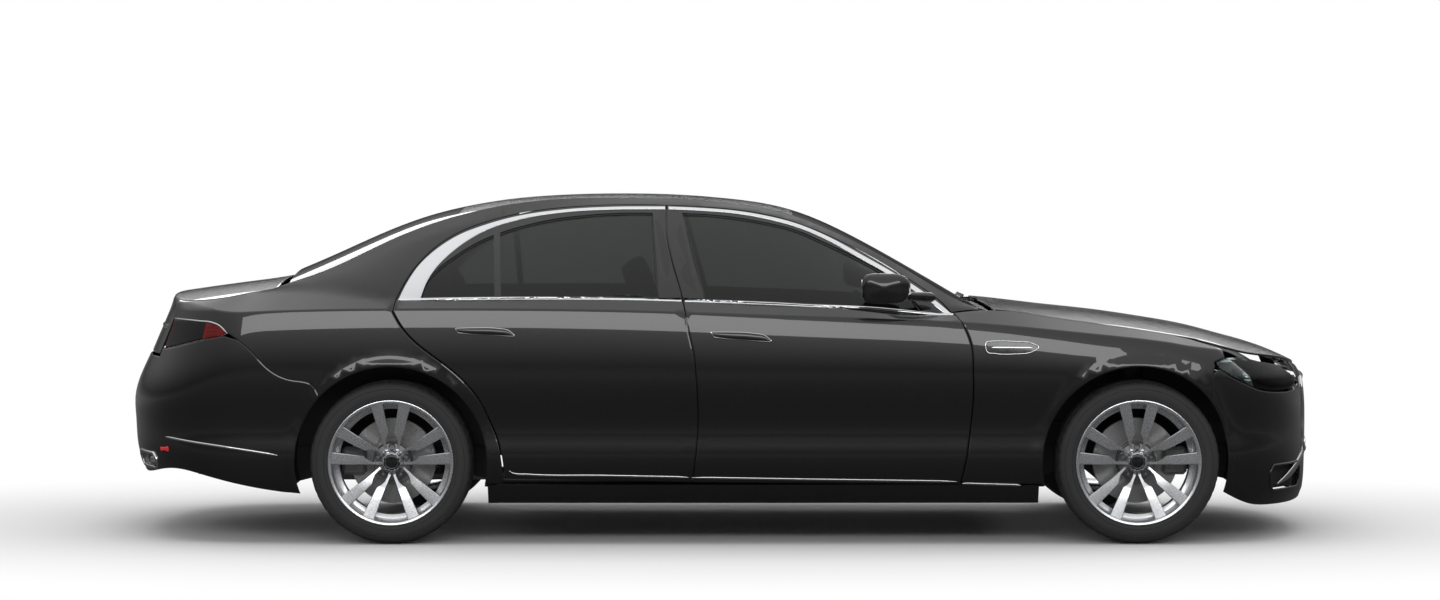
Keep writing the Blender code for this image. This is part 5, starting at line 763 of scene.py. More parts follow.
def quarter_outline():
    rear = shifted(rear_edge, -SHUT_GAP)
    rear = rear[rear[:, 1] > FENDER_LOW + 0.01]
    top = shifted(top_line, -SHUT_GAP)
    top = top[(top[:, 0] < RAIL_END_X - 0.012)]
    rail_x = RAIL_END_X - RAIL_GAP
    gap_w = float(np.interp(-rail_x, -shifted(top_line, -SHUT_GAP)[:, 0], shifted(top_line, -SHUT_GAP)[:, 1]))
    rail = rail_run(RAIL_END_X - 0.01, -1.9)
    lamp_top = shifted(smooth_run(as_places(TAILLAMP_TOP), 10), SEAT_GAP)
    corner = LID_CORNER
    places = np.array([s for s in TAIL_PLACES if s > corner + 0.02] + [corner])
    deck = np.stack([places, belt_place(places) - SHUT_GAP / 2], -1)
    lamp_top = lamp_top[lamp_top[:, 0] > corner + 0.012]
    start = arch_angle(REAR_SPLIT[-1][0], REAR_SPLIT[-1][1], REAR_AXLE_S)
    arch = arc(REAR_AXLE_S, ARCH_RADIUS, start, arch_edge_angle(FENDER_LOW, True), 19)
    corner_low = (corner, float(lamp_top[0][1]))
    return joined([(rail_x, gap_w), (rail_x, float(rail_place(rail_x)))], rail, deck, [corner_low], lamp_top,
                  smooth_run(as_places(REAR_SPLIT), 8)[:-1], arch,
                  straight_run((arch[-1][0] + 0.01, FENDER_LOW), (rear[-1][0] - 0.004, FENDER_LOW), 3),
                  rear[::-1], top[::-1])


def mirrored_outline(run):
    """A loop symmetric about the centre plane, from its left half: first point front, last rear."""
    run = np.array(run, float)
    other = run[::-1] * [1, -1]
    whole = np.concatenate([run, other[np.abs(other[:, 1]) > 1e-9]])
    return joined(whole)


def end_surface(front):
    """Maps (t, w) to the nose or tail, where t runs across the car from the right to the left."""
    def point(uv):
        s = (SIDE_END - np.abs(uv[:, 0])) * (1 if front else -1)
        x, y, z = side_drawn(s, uv[:, 1])
        for axle in (REAR_AXLE_S, FRONT_AXLE_S):
            y = y + arch_flare(x, z, axle)
        found = real_point(x, y, z)
        found[:, 1] *= np.where(uv[:, 0] < 0, -1.0, 1.0)
        return found
    return point


def crossing_outline(run):
    """A loop across the car in (t, w), from a run in (s, w) that ends and starts at the centre."""
    run = np.array(run, float)
    half = np.stack([SIDE_END - np.abs(run[:, 0]), run[:, 1]], -1)
    other = half[::-1] * [-1, 1]
    return joined(half, other[np.abs(other[:, 0]) > 1e-6])


def crossing_hole(inner_y, outer_y, low, high, front, side=1):
    """A rounded opening in the nose or tail between two distances from the centre plane."""
    outer = SIDE_END - abs(place_at_width(outer_y, (low + high) / 2, front))
    inner = SIDE_END - abs(place_at_width(inner_y, (low + high) / 2, front)) if inner_y > 0 else -outer
    cut = min(0.03, (high - low) * 0.3)
    crown = []
    if inner_y == 0:
        crown = [(outer * share, high + GRILLE_CROWN * (1 - share ** 2)) for share in (0.5, 0.0, -0.5)]
    loop = np.array([(inner + cut, low), (outer - cut, low), (outer, low + cut), (outer, high - cut),
                     (outer - cut, high), *crown, (inner + cut, high), (inner, high - cut), (inner, low + cut)])
    return loop * [side, 1]


def lamp_outline(top, bottom):
    return joined(smooth_run(as_places(top), 12), smooth_run(as_places(bottom), 10))


def front_bumper_outline():
    lamp = shifted(smooth_run(as_places(HEADLAMP_BOTTOM), 10), SEAT_GAP)
    split_run = shifted(as_places(FENDER_SPLIT), SEAT_GAP)
    start = arch_angle(*FENDER_SPLIT[-1], FRONT_AXLE_S)
    arch = arc(FRONT_AXLE_S, ARCH_RADIUS, start, arch_edge_angle(BUMPER_LIP[0][1], True), 12)
    lip = smooth_run(as_places(BUMPER_LIP), 10)
    lamp_end = as_places(HEADLAMP_TOP)[-1] + [SHUT_GAP, 0.0]
    places = np.array([s for s in NOSE_PLACES[::-1] if s > lamp_end[0] + 0.01])
    top = np.stack([places, belt_place(places) - SHUT_GAP], -1)
    return lamp, split_run, arch, lip, lamp_end, top


def tail_lamp_outline():
    top = smooth_run(as_places(TAILLAMP_TOP), 10)
    bottom = smooth_run(as_places(TAILLAMP_BOTTOM), 9)
    corner = LID_CORNER
    top = top[top[:, 0] > corner + 0.01]
    bottom = bottom[bottom[:, 0] > corner + 0.01]
    return joined([(corner, top[0][1])], top, bottom, [(corner, bottom[-1][1])])


# Roof, glass, hood and boot lid

ROOF_GRID = (0.20, 0.20)
HOOD_REAR_X = 1.190
HOOD_SKIN = 0.010
HOOD_AXIS_X = 1.187
HOOD_AXIS_DROP = 0.018
HOOD_EYE_Y = 0.600
WINDSCREEN_LOW_X = 1.105
WINDSCREEN_BOW = 0.045
LID_SKIN = 0.010
LID_AXIS_X = -1.946
LID_AXIS_Z = 1.090
LID_EYE_Y = 0.500
EYE_WIDTH = 0.030
LUG_POST = 0.017


def glasshouse_outline(start_x, end_x, front_bow=0.0, rear_bow=0.0, count=41):
    """An outline in (x, y) on the roof surface, with its edges bowed along the car."""
    side_x = np.array([start_x, *[x for x in RAIL_STATIONS if end_x + 0.01 < x < start_x - 0.01], end_x])
    left = np.stack([side_x, RAIL_Y(side_x) - RAIL_LIP - RAIL_GAP], -1)
    share = np.linspace(1, -1, count)[1:-1]
    rear = np.stack([end_x - rear_bow * (1 - share**2), share * left[-1][1]], -1)
    front = np.stack([start_x + front_bow * (1 - share**2), share * left[0][1]], -1)
    return joined(left, rear, (left * [1, -1])[::-1], front[::-1])


def lid_u(y, z):
    """Where on the boot lid's rear face a drawn height is, as its place u."""
    edge = tail_edge(y)
    return LID_FRONT - edge + (deck_height(edge, y) - z) / 0.965


# Fine meshes with the body lines' own normals

CAR_BODY = "car_body"
PANEL_STEP = (0.040, 0.030)
EDGE_ROLL = 0.0045
EDGE_DROP = 0.0020


def outward_normals(surface, uv, inward):
    """The surface's unit normals at the points, pointing out of the car."""
    delta = 2e-4
    du = surface(uv + [delta, 0]) - surface(uv - [delta, 0])
    dv = surface(uv + [0, delta]) - surface(uv - [0, delta])
    way = np.cross(du, dv)
    way = way / np.maximum(np.linalg.norm(way, axis=1, keepdims=True), 1e-12)
    flip = np.sign(np.sum(way * -inward, axis=1))
    return way * np.where(flip == 0, 1, flip)[:, None]


def inward_ways(surface, uv, outer, inward):
    """Unit directions of depth: a given one, or else the surface's normal into the car."""
    if inward is not None:
        return np.broadcast_to(np.asarray(inward, float), outer.shape)
    to_centre = np.array([0.0, 0.0, 0.5]) - outer
    to_centre[:, 0] = np.where(np.abs(outer[:, 0]) > 2.1, to_centre[:, 0], 0)
    return -outward_normals(surface, uv, to_centre)


def grid_points(loop, step):
    """Staggered points inside a loop."""
    low, high = loop.min(axis=0), loop.max(axis=0)
    rows = []
    for i, v in enumerate(np.arange(low[1] + step[1] / 2, high[1], step[1])):
        us = np.arange(low[0] + step[0] * (0.25 + 0.5 * (i % 2)), high[0], step[0])
        rows.append(np.stack([us, np.full(len(us), v)], -1))
    points = np.concatenate(rows) if rows else np.zeros((0, 2))
    return points[inside(points, loop)]


def filled(outline, loops, step, lines):
    """Points and triangles that fill an outline, with the inner loops and the lines as edges."""
    points = [tuple(p) for p in outline]
    edges = [(i, (i + 1) % len(outline)) for i in range(len(outline))]
    for loop in loops:
        start = len(points)
        points += [tuple(p) for p in loop]
        edges += [(start + i, start + (i + 1) % len(loop)) for i in range(len(loop))]
    free = grid_points(outline, step)
    scale = np.array(step, float)
    for line in lines:
        kept = inside(line, outline)
        for loop in [outline, *loops]:
            kept &= loop_distance(line, loop) > 0.003
        start = len(points)
        places = np.flatnonzero(kept)
        points += [tuple(line[i]) for i in places]
        edges += [(start + i, start + i + 1) for i in range(len(places) - 1) if places[i + 1] == places[i] + 1]
        if len(free):
            near_line = np.abs(free[:, 1] - np.interp(free[:, 0], line[:, 0], line[:, 1])) < 0.35 * step[1]
            free = free[~near_line | (free[:, 0] < line[0, 0]) | (free[:, 0] > line[-1, 0])]
    for loop in [outline, *loops]:
        if len(free):
            free = free[loop_distance(free / scale, loop / scale) > 0.42]
    points += [tuple(p) for p in free]
    found = delaunay_2d_cdt([Vector(p) for p in points], edges, [], 1, 1e-7)
    return np.array([tuple(p) for p in found[0]]), np.array(found[2])


def turned_left(loop):
    """The loop in the order that keeps its inside on the left."""
    loop = np.asarray(loop, float)
    return loop if signed_area(loop) > 0 else loop[::-1]


def clean_inset(loop, distance):
    """The loop drawn in, without the points that a tight corner throws back over its edge."""
    loop = turned_left(loop)
    moved_in = inset(loop, distance)
    kept = loop_distance(moved_in, loop) > 0.85 * abs(distance)
    kept &= inside(moved_in, loop) == (distance > 0)
    return moved_in[kept]


def fine_panel(name, outline, surface, depths, step=PANEL_STEP, zones=(), holes=(), inward=None, lines=(),
               rolled=True):
    """A panel between two depths behind a surface, its shut edges rolled over and its normals true."""
    outline = turned_left(outline)
    holes = [turned_left(hole) for hole in holes]
    rolls = []
    if rolled:
        rolls = [clean_inset(outline, EDGE_ROLL)]
        for hole in holes:
            grown = inset(hole, -EDGE_ROLL)
            rolls.append(grown[loop_distance(grown, hole) > 0.85 * EDGE_ROLL])
    uv, triangles = filled(outline, [*holes, *zones, *rolls], step, lines)
    centres = uv[triangles].mean(axis=1)
    kept = inside(centres, outline)
    for hole in holes:
        kept &= ~inside(centres, hole)
    triangles, centres = triangles[kept], centres[kept]
    zone = np.zeros(len(triangles), int)
    for number, loop in enumerate(zones, 1):
        zone[inside(centres, loop)] = number
    outer = surface(uv)
    way = inward_ways(surface, uv, outer, inward)
    normal = outward_normals(surface, uv, way)
    drop = np.zeros(len(uv))
    if rolled:
        for loop in [outline, *holes]:
            drop[loop_distance(uv, loop) < 1e-6] = EDGE_DROP
    by_zone = {}
    for k in range(len(zones) + 1):
        near, far = depths(uv, k)
        by_zone[k] = (near + drop, np.maximum(far, near + drop + 0.0004))
    points, normals, index = [], [], {}

    def corner(i, depth):
        key = (int(i), round(float(depth), 6))
        if key not in index:
            index[key] = len(points)
            points.append(outer[i] + way[i] * depth)
            normals.append(normal[i])
        return index[key]

    faces, kinds, sides = [], [], {}
    for tri, k in zip(triangles, zone):
        near, far = by_zone[k]
        faces.append([corner(i, near[i]) for i in tri])
        kinds.append(2 if any(drop[i] for i in tri) else 1)
        faces.append([corner(i, far[i]) for i in reversed(tri)])
        kinds.append(-1)
        for a, b in zip(tri, np.roll(tri, -1)):
            sides.setdefault((min(a, b), max(a, b)), []).append(k)
    for (a, b), found in sides.items():
        walls = []
        if len(found) == 1:
            walls.append(by_zone[found[0]])
        elif found[0] != found[1]:
            (near0, far0), (near1, far1) = by_zone[found[0]], by_zone[found[1]]
            walls += [(near0, near1), (far0, far1)]
        for first, second in walls:
            ring = [corner(a, second[a]), corner(a, first[a]), corner(b, first[b]), corner(b, second[b])]
            face = [p for i, p in enumerate(ring) if p != ring[i - 1]]
            if len(face) > 2:
                faces.append(face)
                kinds.append(0)
    mesh = bpy.data.meshes.new(name)
    mesh.from_pydata([tuple(p) for p in points], [], faces)
    kind = mesh.attributes.new("kind", 'INT', 'FACE')
    kind.data.foreach_set("value", np.array(kinds, np.int32))
    true = mesh.attributes.new("true_normal", 'FLOAT_VECTOR', 'POINT')
    true.data.foreach_set("vector", np.array(normals, np.float32).ravel())
    work = bmesh.new()
    work.from_mesh(mesh)
    bmesh.ops.recalc_face_normals(work, faces=work.faces)
    work.to_mesh(mesh)
    work.free()
    set_true_normals(mesh)
    return mesh


def set_true_normals(mesh):
    """Shades outer faces by the body lines' normals, and all others by their own."""
    mesh.shade_smooth()
    kinds = np.zeros(len(mesh.polygons), np.int32)
    mesh.attributes["kind"].data.foreach_get("value", kinds)
    true = np.zeros(len(mesh.vertices) * 3, np.float32)
    mesh.attributes["true_normal"].data.foreach_get("vector", true)
    true = true.reshape(-1, 3)
    result = np.zeros((len(mesh.loops), 3), np.float32)
    for polygon, kind in zip(mesh.polygons, kinds):
        own = np.array(polygon.normal)
        for loop in polygon.loop_indices:
            if kind in (1, -1):
                result[loop] = true[mesh.loops[loop].vertex_index] * kind
            elif kind == 2:
                blend = true[mesh.loops[loop].vertex_index] * 0.35 + own * 0.65
                result[loop] = blend / np.linalg.norm(blend)
            else:
                result[loop] = own
    mesh.normals_split_custom_set([tuple(n) for n in result])
    mesh.attributes.remove(mesh.attributes["true_normal"])


def put(name, mesh, finish, body=CAR_BODY, nodes=()):
    """A piece in the scene, riding on a body and standing for some CAD nodes."""
    thing = bpy.data.objects.new(name, mesh)
    bpy.context.scene.collection.objects.link(thing)
    finishes = finish if isinstance(finish, (list, tuple)) else [finish]
    mesh.materials.clear()
    for each in finishes:
        mesh.materials.append(each)
    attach(thing, body)
    if nodes:
        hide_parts(*nodes)
    return thing


def plain_mesh(name, points, faces, smooth_angle=40, subdivisions=0):
    """A mesh from points and faces, smooth but for its sharp edges."""
    mesh = bpy.data.meshes.new(name)
    mesh.from_pydata([tuple(p) for p in points], [], faces)
    work = bmesh.new()
    work.from_mesh(mesh)
    bmesh.ops.remove_doubles(work, verts=work.verts, dist=1e-6)
    bmesh.ops.recalc_face_normals(work, faces=work.faces)
    work.to_mesh(mesh)
    work.free()
    if subdivisions:
        mesh = modified(mesh, [("SUBSURF", {"levels": subdivisions, "render_levels": subdivisions})])
    mesh.shade_smooth()
    mesh.set_sharp_from_angle(angle=math.radians(smooth_angle))
    return mesh


def modified(mesh, steps):
    """The mesh after a list of modifiers, each a type and its settings."""
    thing = bpy.data.objects.new(mesh.name, mesh)
    bpy.context.scene.collection.objects.link(thing)
    for kind, settings in steps:
        step = thing.modifiers.new(kind.lower(), kind)
        for key, value in settings.items():
            setattr(step, key, value)
    graph = bpy.context.evaluated_depsgraph_get()
    result = bpy.data.meshes.new_from_object(thing.evaluated_get(graph))
    bpy.data.objects.remove(thing)
    return result


def loft(name, rings, closed_ends=True, smooth_angle=40, subdivisions=0, closed_rings=True):
    """A skin through rings of equal count."""
    points = [tuple(p) for ring in rings for p in ring]
    count = len(rings[0])
    faces = []
    if closed_ends:
        faces = [list(range(count)), list(range(len(points) - count, len(points)))]
    for r in range(len(rings) - 1):
        for i in range(count if closed_rings else count - 1):
            a, b = r * count + i, r * count + (i + 1) % count
            faces.append([a, b, b + count, a + count])
    return plain_mesh(name, points, faces, smooth_angle, subdivisions)


def box(name, low, high, bevel=0.0, segments=3):
    """A box between two corners, with its edges rounded."""
    work = bmesh.new()
    bmesh.ops.create_cube(work, size=1.0)
    low, high = Vector(low), Vector(high)
    bmesh.ops.scale(work, vec=high - low, verts=work.verts)
    bmesh.ops.translate(work, vec=(low + high) / 2, verts=work.verts)
    if bevel:
        bmesh.ops.bevel(work, geom=list(work.edges), offset=bevel, segments=segments, profile=0.5,
                        affect='EDGES')
    mesh = bpy.data.meshes.new(name)
    work.to_mesh(mesh)
    work.free()
    mesh.shade_smooth()
    mesh.set_sharp_from_angle(angle=math.radians(40))
    return mesh


def rod(name, start, end, radius, sides=24, end_radius=None):
    start, end = Vector(start), Vector(end)
    work = bmesh.new()
    bmesh.ops.create_cone(work, cap_ends=True, segments=sides, radius1=radius,
                          radius2=radius if end_radius is None else end_radius, depth=(end - start).length)
    turn = (end - start).to_track_quat('Z', 'Y').to_matrix().to_4x4()
    work.transform(Matrix.Translation((start + end) / 2) @ turn)
    mesh = bpy.data.meshes.new(name)
    work.to_mesh(mesh)
    work.free()
    mesh.shade_smooth()
    mesh.set_sharp_from_angle(angle=math.radians(40))
    return mesh


def turned(name, profile, steps, closed=True, smooth_angle=30):
    """A profile of (radius, place) turned about the Y axis."""
    rings = []
    for k in range(steps):
        angle = 2 * math.pi * k / steps
        rings.append([(r * math.sin(angle), place, r * math.cos(angle)) for r, place in profile])
    points = [p for ring in rings for p in ring]
    count = len(profile)
    faces = []
    for k in range(steps):
        after = (k + 1) % steps
        for i in range(count if closed else count - 1):
            j = (i + 1) % count
            faces.append([k * count + i, k * count + j, after * count + j, after * count + i])
    return plain_mesh(name, points, faces, smooth_angle)


def merged(name, meshes):
    """Several meshes as one, each keeping its own material slots' order."""
    work = bmesh.new()
    for mesh in meshes:
        work.from_mesh(mesh)
    result = bpy.data.meshes.new(name)
    work.to_mesh(result)
    work.free()
    return result


def transformed(mesh, matrix):
    copy = mesh.copy()
    copy.transform(matrix)
    if matrix.determinant() < 0:
        copy.flip_normals()
    return copy


def pipe(name, points, radius, sides=12, closed=False):
    """A round tube along a run of real points."""
    points = np.array(points, float)
    rings = []
    ahead = np.gradient(points, axis=0)
    if closed:
        ahead = np.roll(points, -1, axis=0) - np.roll(points, 1, axis=0)
    ahead = ahead / np.linalg.norm(ahead, axis=1, keepdims=True)
    side = np.cross(ahead[0], [0, 0, 1.0])
    if np.linalg.norm(side) < 1e-3:
        side = np.cross(ahead[0], [1.0, 0, 0])
    for point, way in zip(points, ahead):
        side = side - way * np.dot(side, way)
        side = side / np.linalg.norm(side)
        other = np.cross(way, side)
        angles = np.linspace(0, 2 * math.pi, sides + 1)[:-1]
        size = radius
        rings.append([point + size * (math.cos(a) * side + math.sin(a) * other) for a in angles])
    if closed:
        rings.append(rings[0])
    return loft(name, rings, closed_ends=not closed)


def strip(name, surface, run, width, rise, sink=0.002, inward=None, taper=0.0):
    """A raised band with a rounded back, lying along a run of places on a surface.

    Width and rise may be numbers or one value per point; taper narrows both ends to nothing.
    """
    run = np.array(run, float)
    ahead = np.gradient(run, axis=0)
    ahead = ahead / np.maximum(np.linalg.norm(ahead, axis=1, keepdims=True), 1e-9)
    aside = np.stack([-ahead[:, 1], ahead[:, 0]], -1)
    length = np.concatenate([[0], np.cumsum(np.hypot(*np.diff(run, axis=0).T))])
    ends = np.ones(len(run))
    if taper:
        ends = np.clip(np.minimum(length, length[-1] - length) / taper, 0.04, 1) ** 0.6
    width = np.broadcast_to(width, len(run)) * ends
    rise = np.broadcast_to(rise, len(run)) * (0.4 + 0.6 * ends)
    profile = [(-0.5, -sink), (-0.5, 0.35), (-0.42, 0.78), (-0.22, 0.97), (0.0, 1.0), (0.22, 0.97), (0.42, 0.78),
               (0.5, 0.35), (0.5, -sink)]
    columns = []
    for share, lift in profile:
        uv = run + aside * (share * width)[:, None]
        outer = surface(uv)
        way = inward_ways(surface, uv, outer, inward)
        normal = outward_normals(surface, uv, way)
        height = np.full(len(run), lift) if lift < 0 else lift * rise
        columns.append(outer + normal * height[:, None])
    rings = np.array(columns).transpose(1, 0, 2)
    return loft(name, rings, smooth_angle=50)


# Materials

def new_material(name, colour, roughness, metallic=0.0, coat=0.0, coat_roughness=0.03, specular=0.5):
    made = bpy.data.materials.new(name)
    made.use_nodes = True
    shader = made.node_tree.nodes["Principled BSDF"]
    shader.inputs["Base Color"].default_value = (*colour, 1.0)
    shader.inputs["Roughness"].default_value = roughness
    shader.inputs["Metallic"].default_value = metallic
    shader.inputs["Coat Weight"].default_value = coat
    shader.inputs["Coat Roughness"].default_value = coat_roughness
    shader.inputs["Specular IOR Level"].default_value = specular
    return made, made.node_tree, shader


def noise(tree, scale, detail=2.0, stretch=(1, 1, 1)):
    """A noise in the object's own metres."""
    place = tree.nodes.new("ShaderNodeTexCoord")
    fit = tree.nodes.new("ShaderNodeMapping")
    fit.inputs["Scale"].default_value = stretch
    found = tree.nodes.new("ShaderNodeTexNoise")
    found.inputs["Scale"].default_value = scale
    found.inputs["Detail"].default_value = detail
    tree.links.new(place.outputs["Object"], fit.inputs["Vector"])
    tree.links.new(fit.outputs["Vector"], found.inputs["Vector"])
    return found.outputs["Fac"]


def vary(tree, shader, socket, amount, low, high):
    """Sets a socket from low to high as the amount goes from 0 to 1."""
    curve = tree.nodes.new("ShaderNodeMapRange")
    curve.inputs["From Min"].default_value = 0.3
    curve.inputs["From Max"].default_value = 0.7
    curve.inputs["To Min"].default_value = low
    curve.inputs["To Max"].default_value = high
    tree.links.new(amount, curve.inputs["Value"])
    tree.links.new(curve.outputs["Result"], shader.inputs[socket])


def tint(tree, shader, amount, first, second):
    """Blends the base colour between two as the amount goes from 0 to 1."""
    blend = tree.nodes.new("ShaderNodeValToRGB")
    blend.color_ramp.elements[0].position = 0.3
    blend.color_ramp.elements[1].position = 0.7
    blend.color_ramp.elements[0].color = (*first, 1)
    blend.color_ramp.elements[1].color = (*second, 1)
    tree.links.new(amount, blend.inputs["Fac"])
    tree.links.new(blend.outputs["Color"], shader.inputs["Base Color"])


def bump(tree, shader, amount, strength, distance):
    relief = tree.nodes.new("ShaderNodeBump")
    relief.inputs["Strength"].default_value = strength
    relief.inputs["Distance"].default_value = distance
    tree.links.new(amount, relief.inputs["Height"])
    tree.links.new(relief.outputs["Normal"], shader.inputs["Normal"])


def paint_material():
    made, tree, shader = new_material("black_paint", (0.006, 0.006, 0.007), 0.34, 0.2, coat=1.0,
                                      coat_roughness=0.02, specular=0.25)
    flakes = noise(tree, 2600.0, 1.0)
    tint(tree, shader, flakes, (0.004, 0.004, 0.0045), (0.010, 0.010, 0.011))
    vary(tree, shader, "Roughness", noise(tree, 900.0, 1.0), 0.26, 0.40)
    return made


def chrome_material():
    made, tree, shader = new_material("chrome", (0.78, 0.79, 0.81), 0.07, 1.0)
    vary(tree, shader, "Roughness", noise(tree, 60.0, 3.0), 0.05, 0.11)
    return made


def glass_material():
    made = bpy.data.materials.new("tinted_glass")
    made.use_nodes = True
    tree = made.node_tree
    tree.nodes.remove(tree.nodes["Principled BSDF"])
    out = tree.nodes["Material Output"]
    clear = tree.nodes.new("ShaderNodeBsdfTransparent")
    haze = noise(tree, 3.0, 2.0)
    blend = tree.nodes.new("ShaderNodeValToRGB")
    blend.color_ramp.elements[0].color = (0.34, 0.35, 0.35, 1)
    blend.color_ramp.elements[1].color = (0.38, 0.39, 0.39, 1)
    tree.links.new(haze, blend.inputs["Fac"])
    tree.links.new(blend.outputs["Color"], clear.inputs["Color"])
    gloss = tree.nodes.new("ShaderNodeBsdfGlossy")
    gloss.inputs["Roughness"].default_value = 0.015
    facing_share = tree.nodes.new("ShaderNodeFresnel")
    facing_share.inputs["IOR"].default_value = 1.52
    mix = tree.nodes.new("ShaderNodeMixShader")
    tree.links.new(facing_share.outputs["Fac"], mix.inputs["Fac"])
    tree.links.new(clear.outputs["BSDF"], mix.inputs[1])
    tree.links.new(gloss.outputs["BSDF"], mix.inputs[2])
    tree.links.new(mix.outputs["Shader"], out.inputs["Surface"])
    return made


def lens_material(name, colour):
    made = bpy.data.materials.new(name)
    made.use_nodes = True
    tree = made.node_tree
    tree.nodes.remove(tree.nodes["Principled BSDF"])
    out = tree.nodes["Material Output"]
    clear = tree.nodes.new("ShaderNodeBsdfTransparent")
    shade = noise(tree, 20.0, 1.0)
    blend = tree.nodes.new("ShaderNodeValToRGB")
    blend.color_ramp.elements[0].color = (*colour, 1)
    blend.color_ramp.elements[1].color = (*[min(1.0, c * 1.06) for c in colour], 1)
    tree.links.new(shade, blend.inputs["Fac"])
    tree.links.new(blend.outputs["Color"], clear.inputs["Color"])
    gloss = tree.nodes.new("ShaderNodeBsdfGlossy")
    gloss.inputs["Roughness"].default_value = 0.03
    facing_share = tree.nodes.new("ShaderNodeFresnel")
    facing_share.inputs["IOR"].default_value = 1.5
    mix = tree.nodes.new("ShaderNodeMixShader")
    tree.links.new(facing_share.outputs["Fac"], mix.inputs["Fac"])
    tree.links.new(clear.outputs["BSDF"], mix.inputs[1])
    tree.links.new(gloss.outputs["BSDF"], mix.inputs[2])
    tree.links.new(mix.outputs["Shader"], out.inputs["Surface"])
    return made


def plain_material(name, first, second, roughness, scale, metallic=0.0, relief=0.0, coat=0.0, spread=0.08):
    """A finish whose colour and roughness vary a little at a given scale, with a fine relief."""
    made, tree, shader = new_material(name, first, roughness, metallic, coat=coat)
    grain = noise(tree, scale, 3.0)
    tint(tree, shader, grain, first, second)
    vary(tree, shader, "Roughness", grain, max(0.03, roughness - spread), roughness + spread)
    if relief:
        bump(tree, shader, grain, 0.5, relief)
    return made


PAINT = paint_material()
CHROME = chrome_material()
GLASS = glass_material()
LENS = lens_material("clear_lens", (0.90, 0.94, 0.95))
RED_LENS = lens_material("red_lens", (0.75, 0.05, 0.045))
GLOSS_BLACK = plain_material("gloss_black", (0.006, 0.006, 0.006), (0.010, 0.010, 0.010), 0.12, 30.0, coat=0.6)
TRIM = plain_material("black_trim", (0.014, 0.014, 0.014), (0.022, 0.022, 0.022), 0.55, 400.0, relief=0.0002)
RUBBER = plain_material("tyre_rubber", (0.016, 0.016, 0.016), (0.026, 0.026, 0.026), 0.72, 140.0, relief=0.0003)
ALLOY = plain_material("silver_alloy", (0.60, 0.61, 0.63), (0.68, 0.69, 0.71), 0.26, 500.0, metallic=0.85, coat=0.5)
DARK_ALLOY = plain_material("dark_alloy", (0.16, 0.16, 0.165), (0.22, 0.22, 0.225), 0.42, 90.0, metallic=0.8)
STEEL = plain_material("bare_steel", (0.22, 0.22, 0.22), (0.32, 0.31, 0.30), 0.45, 60.0, metallic=0.85)
DISC = plain_material("brake_disc", (0.38, 0.38, 0.38), (0.48, 0.48, 0.47), 0.34, 200.0, metallic=0.95)
GUIDE = plain_material("light_guide", (0.86, 0.88, 0.90), (0.93, 0.94, 0.95), 0.18, 60.0, coat=0.8)
REFLECTOR = plain_material("lamp_reflector", (0.80, 0.76, 0.76), (0.88, 0.85, 0.85), 0.22, 60.0, metallic=0.6)
RED_GLOW = plain_material("red_element", (0.72, 0.02, 0.02), (0.82, 0.04, 0.035), 0.25, 60.0, coat=0.6)
RED_PLASTIC = plain_material("red_reflector", (0.62, 0.015, 0.015), (0.75, 0.03, 0.03), 0.18, 120.0, coat=0.8)
MIRROR = plain_material("mirror_silver", (0.80, 0.81, 0.82), (0.86, 0.87, 0.88), 0.06, 8.0, metallic=1.0, spread=0.02)
IRON = plain_material("engine_iron", (0.11, 0.11, 0.11), (0.18, 0.175, 0.17), 0.62, 80.0, metallic=0.5, relief=0.0006)
LEATHER = plain_material("dark_leather", (0.030, 0.029, 0.029), (0.044, 0.042, 0.041), 0.52, 260.0, relief=0.0005)
PLASTIC = plain_material("cabin_plastic", (0.024, 0.024, 0.024), (0.034, 0.034, 0.034), 0.58, 500.0, relief=0.0002)
UNDERBODY = plain_material("underbody", (0.018, 0.018, 0.018), (0.030, 0.030, 0.029), 0.85, 50.0, relief=0.0008)
LAMP_METAL = plain_material("lamp_chrome", (0.72, 0.73, 0.75), (0.82, 0.83, 0.85), 0.16, 40.0, metallic=1.0)


# Doors, their glass and the side frames

def crease_lines(start, end):
    """Lines along the crease and the belt, and on both sides of their rounding."""
    found = []
    for rise in (-CREASE_ROUND, -CREASE_ROUND / 2, 0.0, CREASE_ROUND / 2, CREASE_ROUND):
        found.append(crease_line(start, end) + [0, rise])
    return found


def belt_lines(start, end):
    return [body_line(belt_place, start, end) + [0, rise] for rise in (-0.006, 0.0, 0.006)]


def build_door(place, word, side):
    front = place == "front"
    loop, step, window, _ = door_loop(front)
    inner = thinned(inset(loop, step))
    surface = side_surface(side)
    name = f"door_{place}_{word}"
    shell = fine_panel(f"{name}_skin", loop, surface, door_depths, zones=[inner], holes=[window],
                       inward=facing(side), lines=[*crease_lines(-1.45, 1.10), *belt_lines(-1.40, 1.00)])
    put(f"{name}_skin", shell, PAINT, name, [name])
    pane = fine_panel(f"{name}_glass", inset(window, SEAT_GAP), surface,
                      even_depth(GLASS_INSET, GLASS_INSET + GLASS_THICKNESS), inward=facing(side), rolled=False)
    put(f"{name}_glass", pane, GLASS, name, [f"glass_{place}_{word}"])


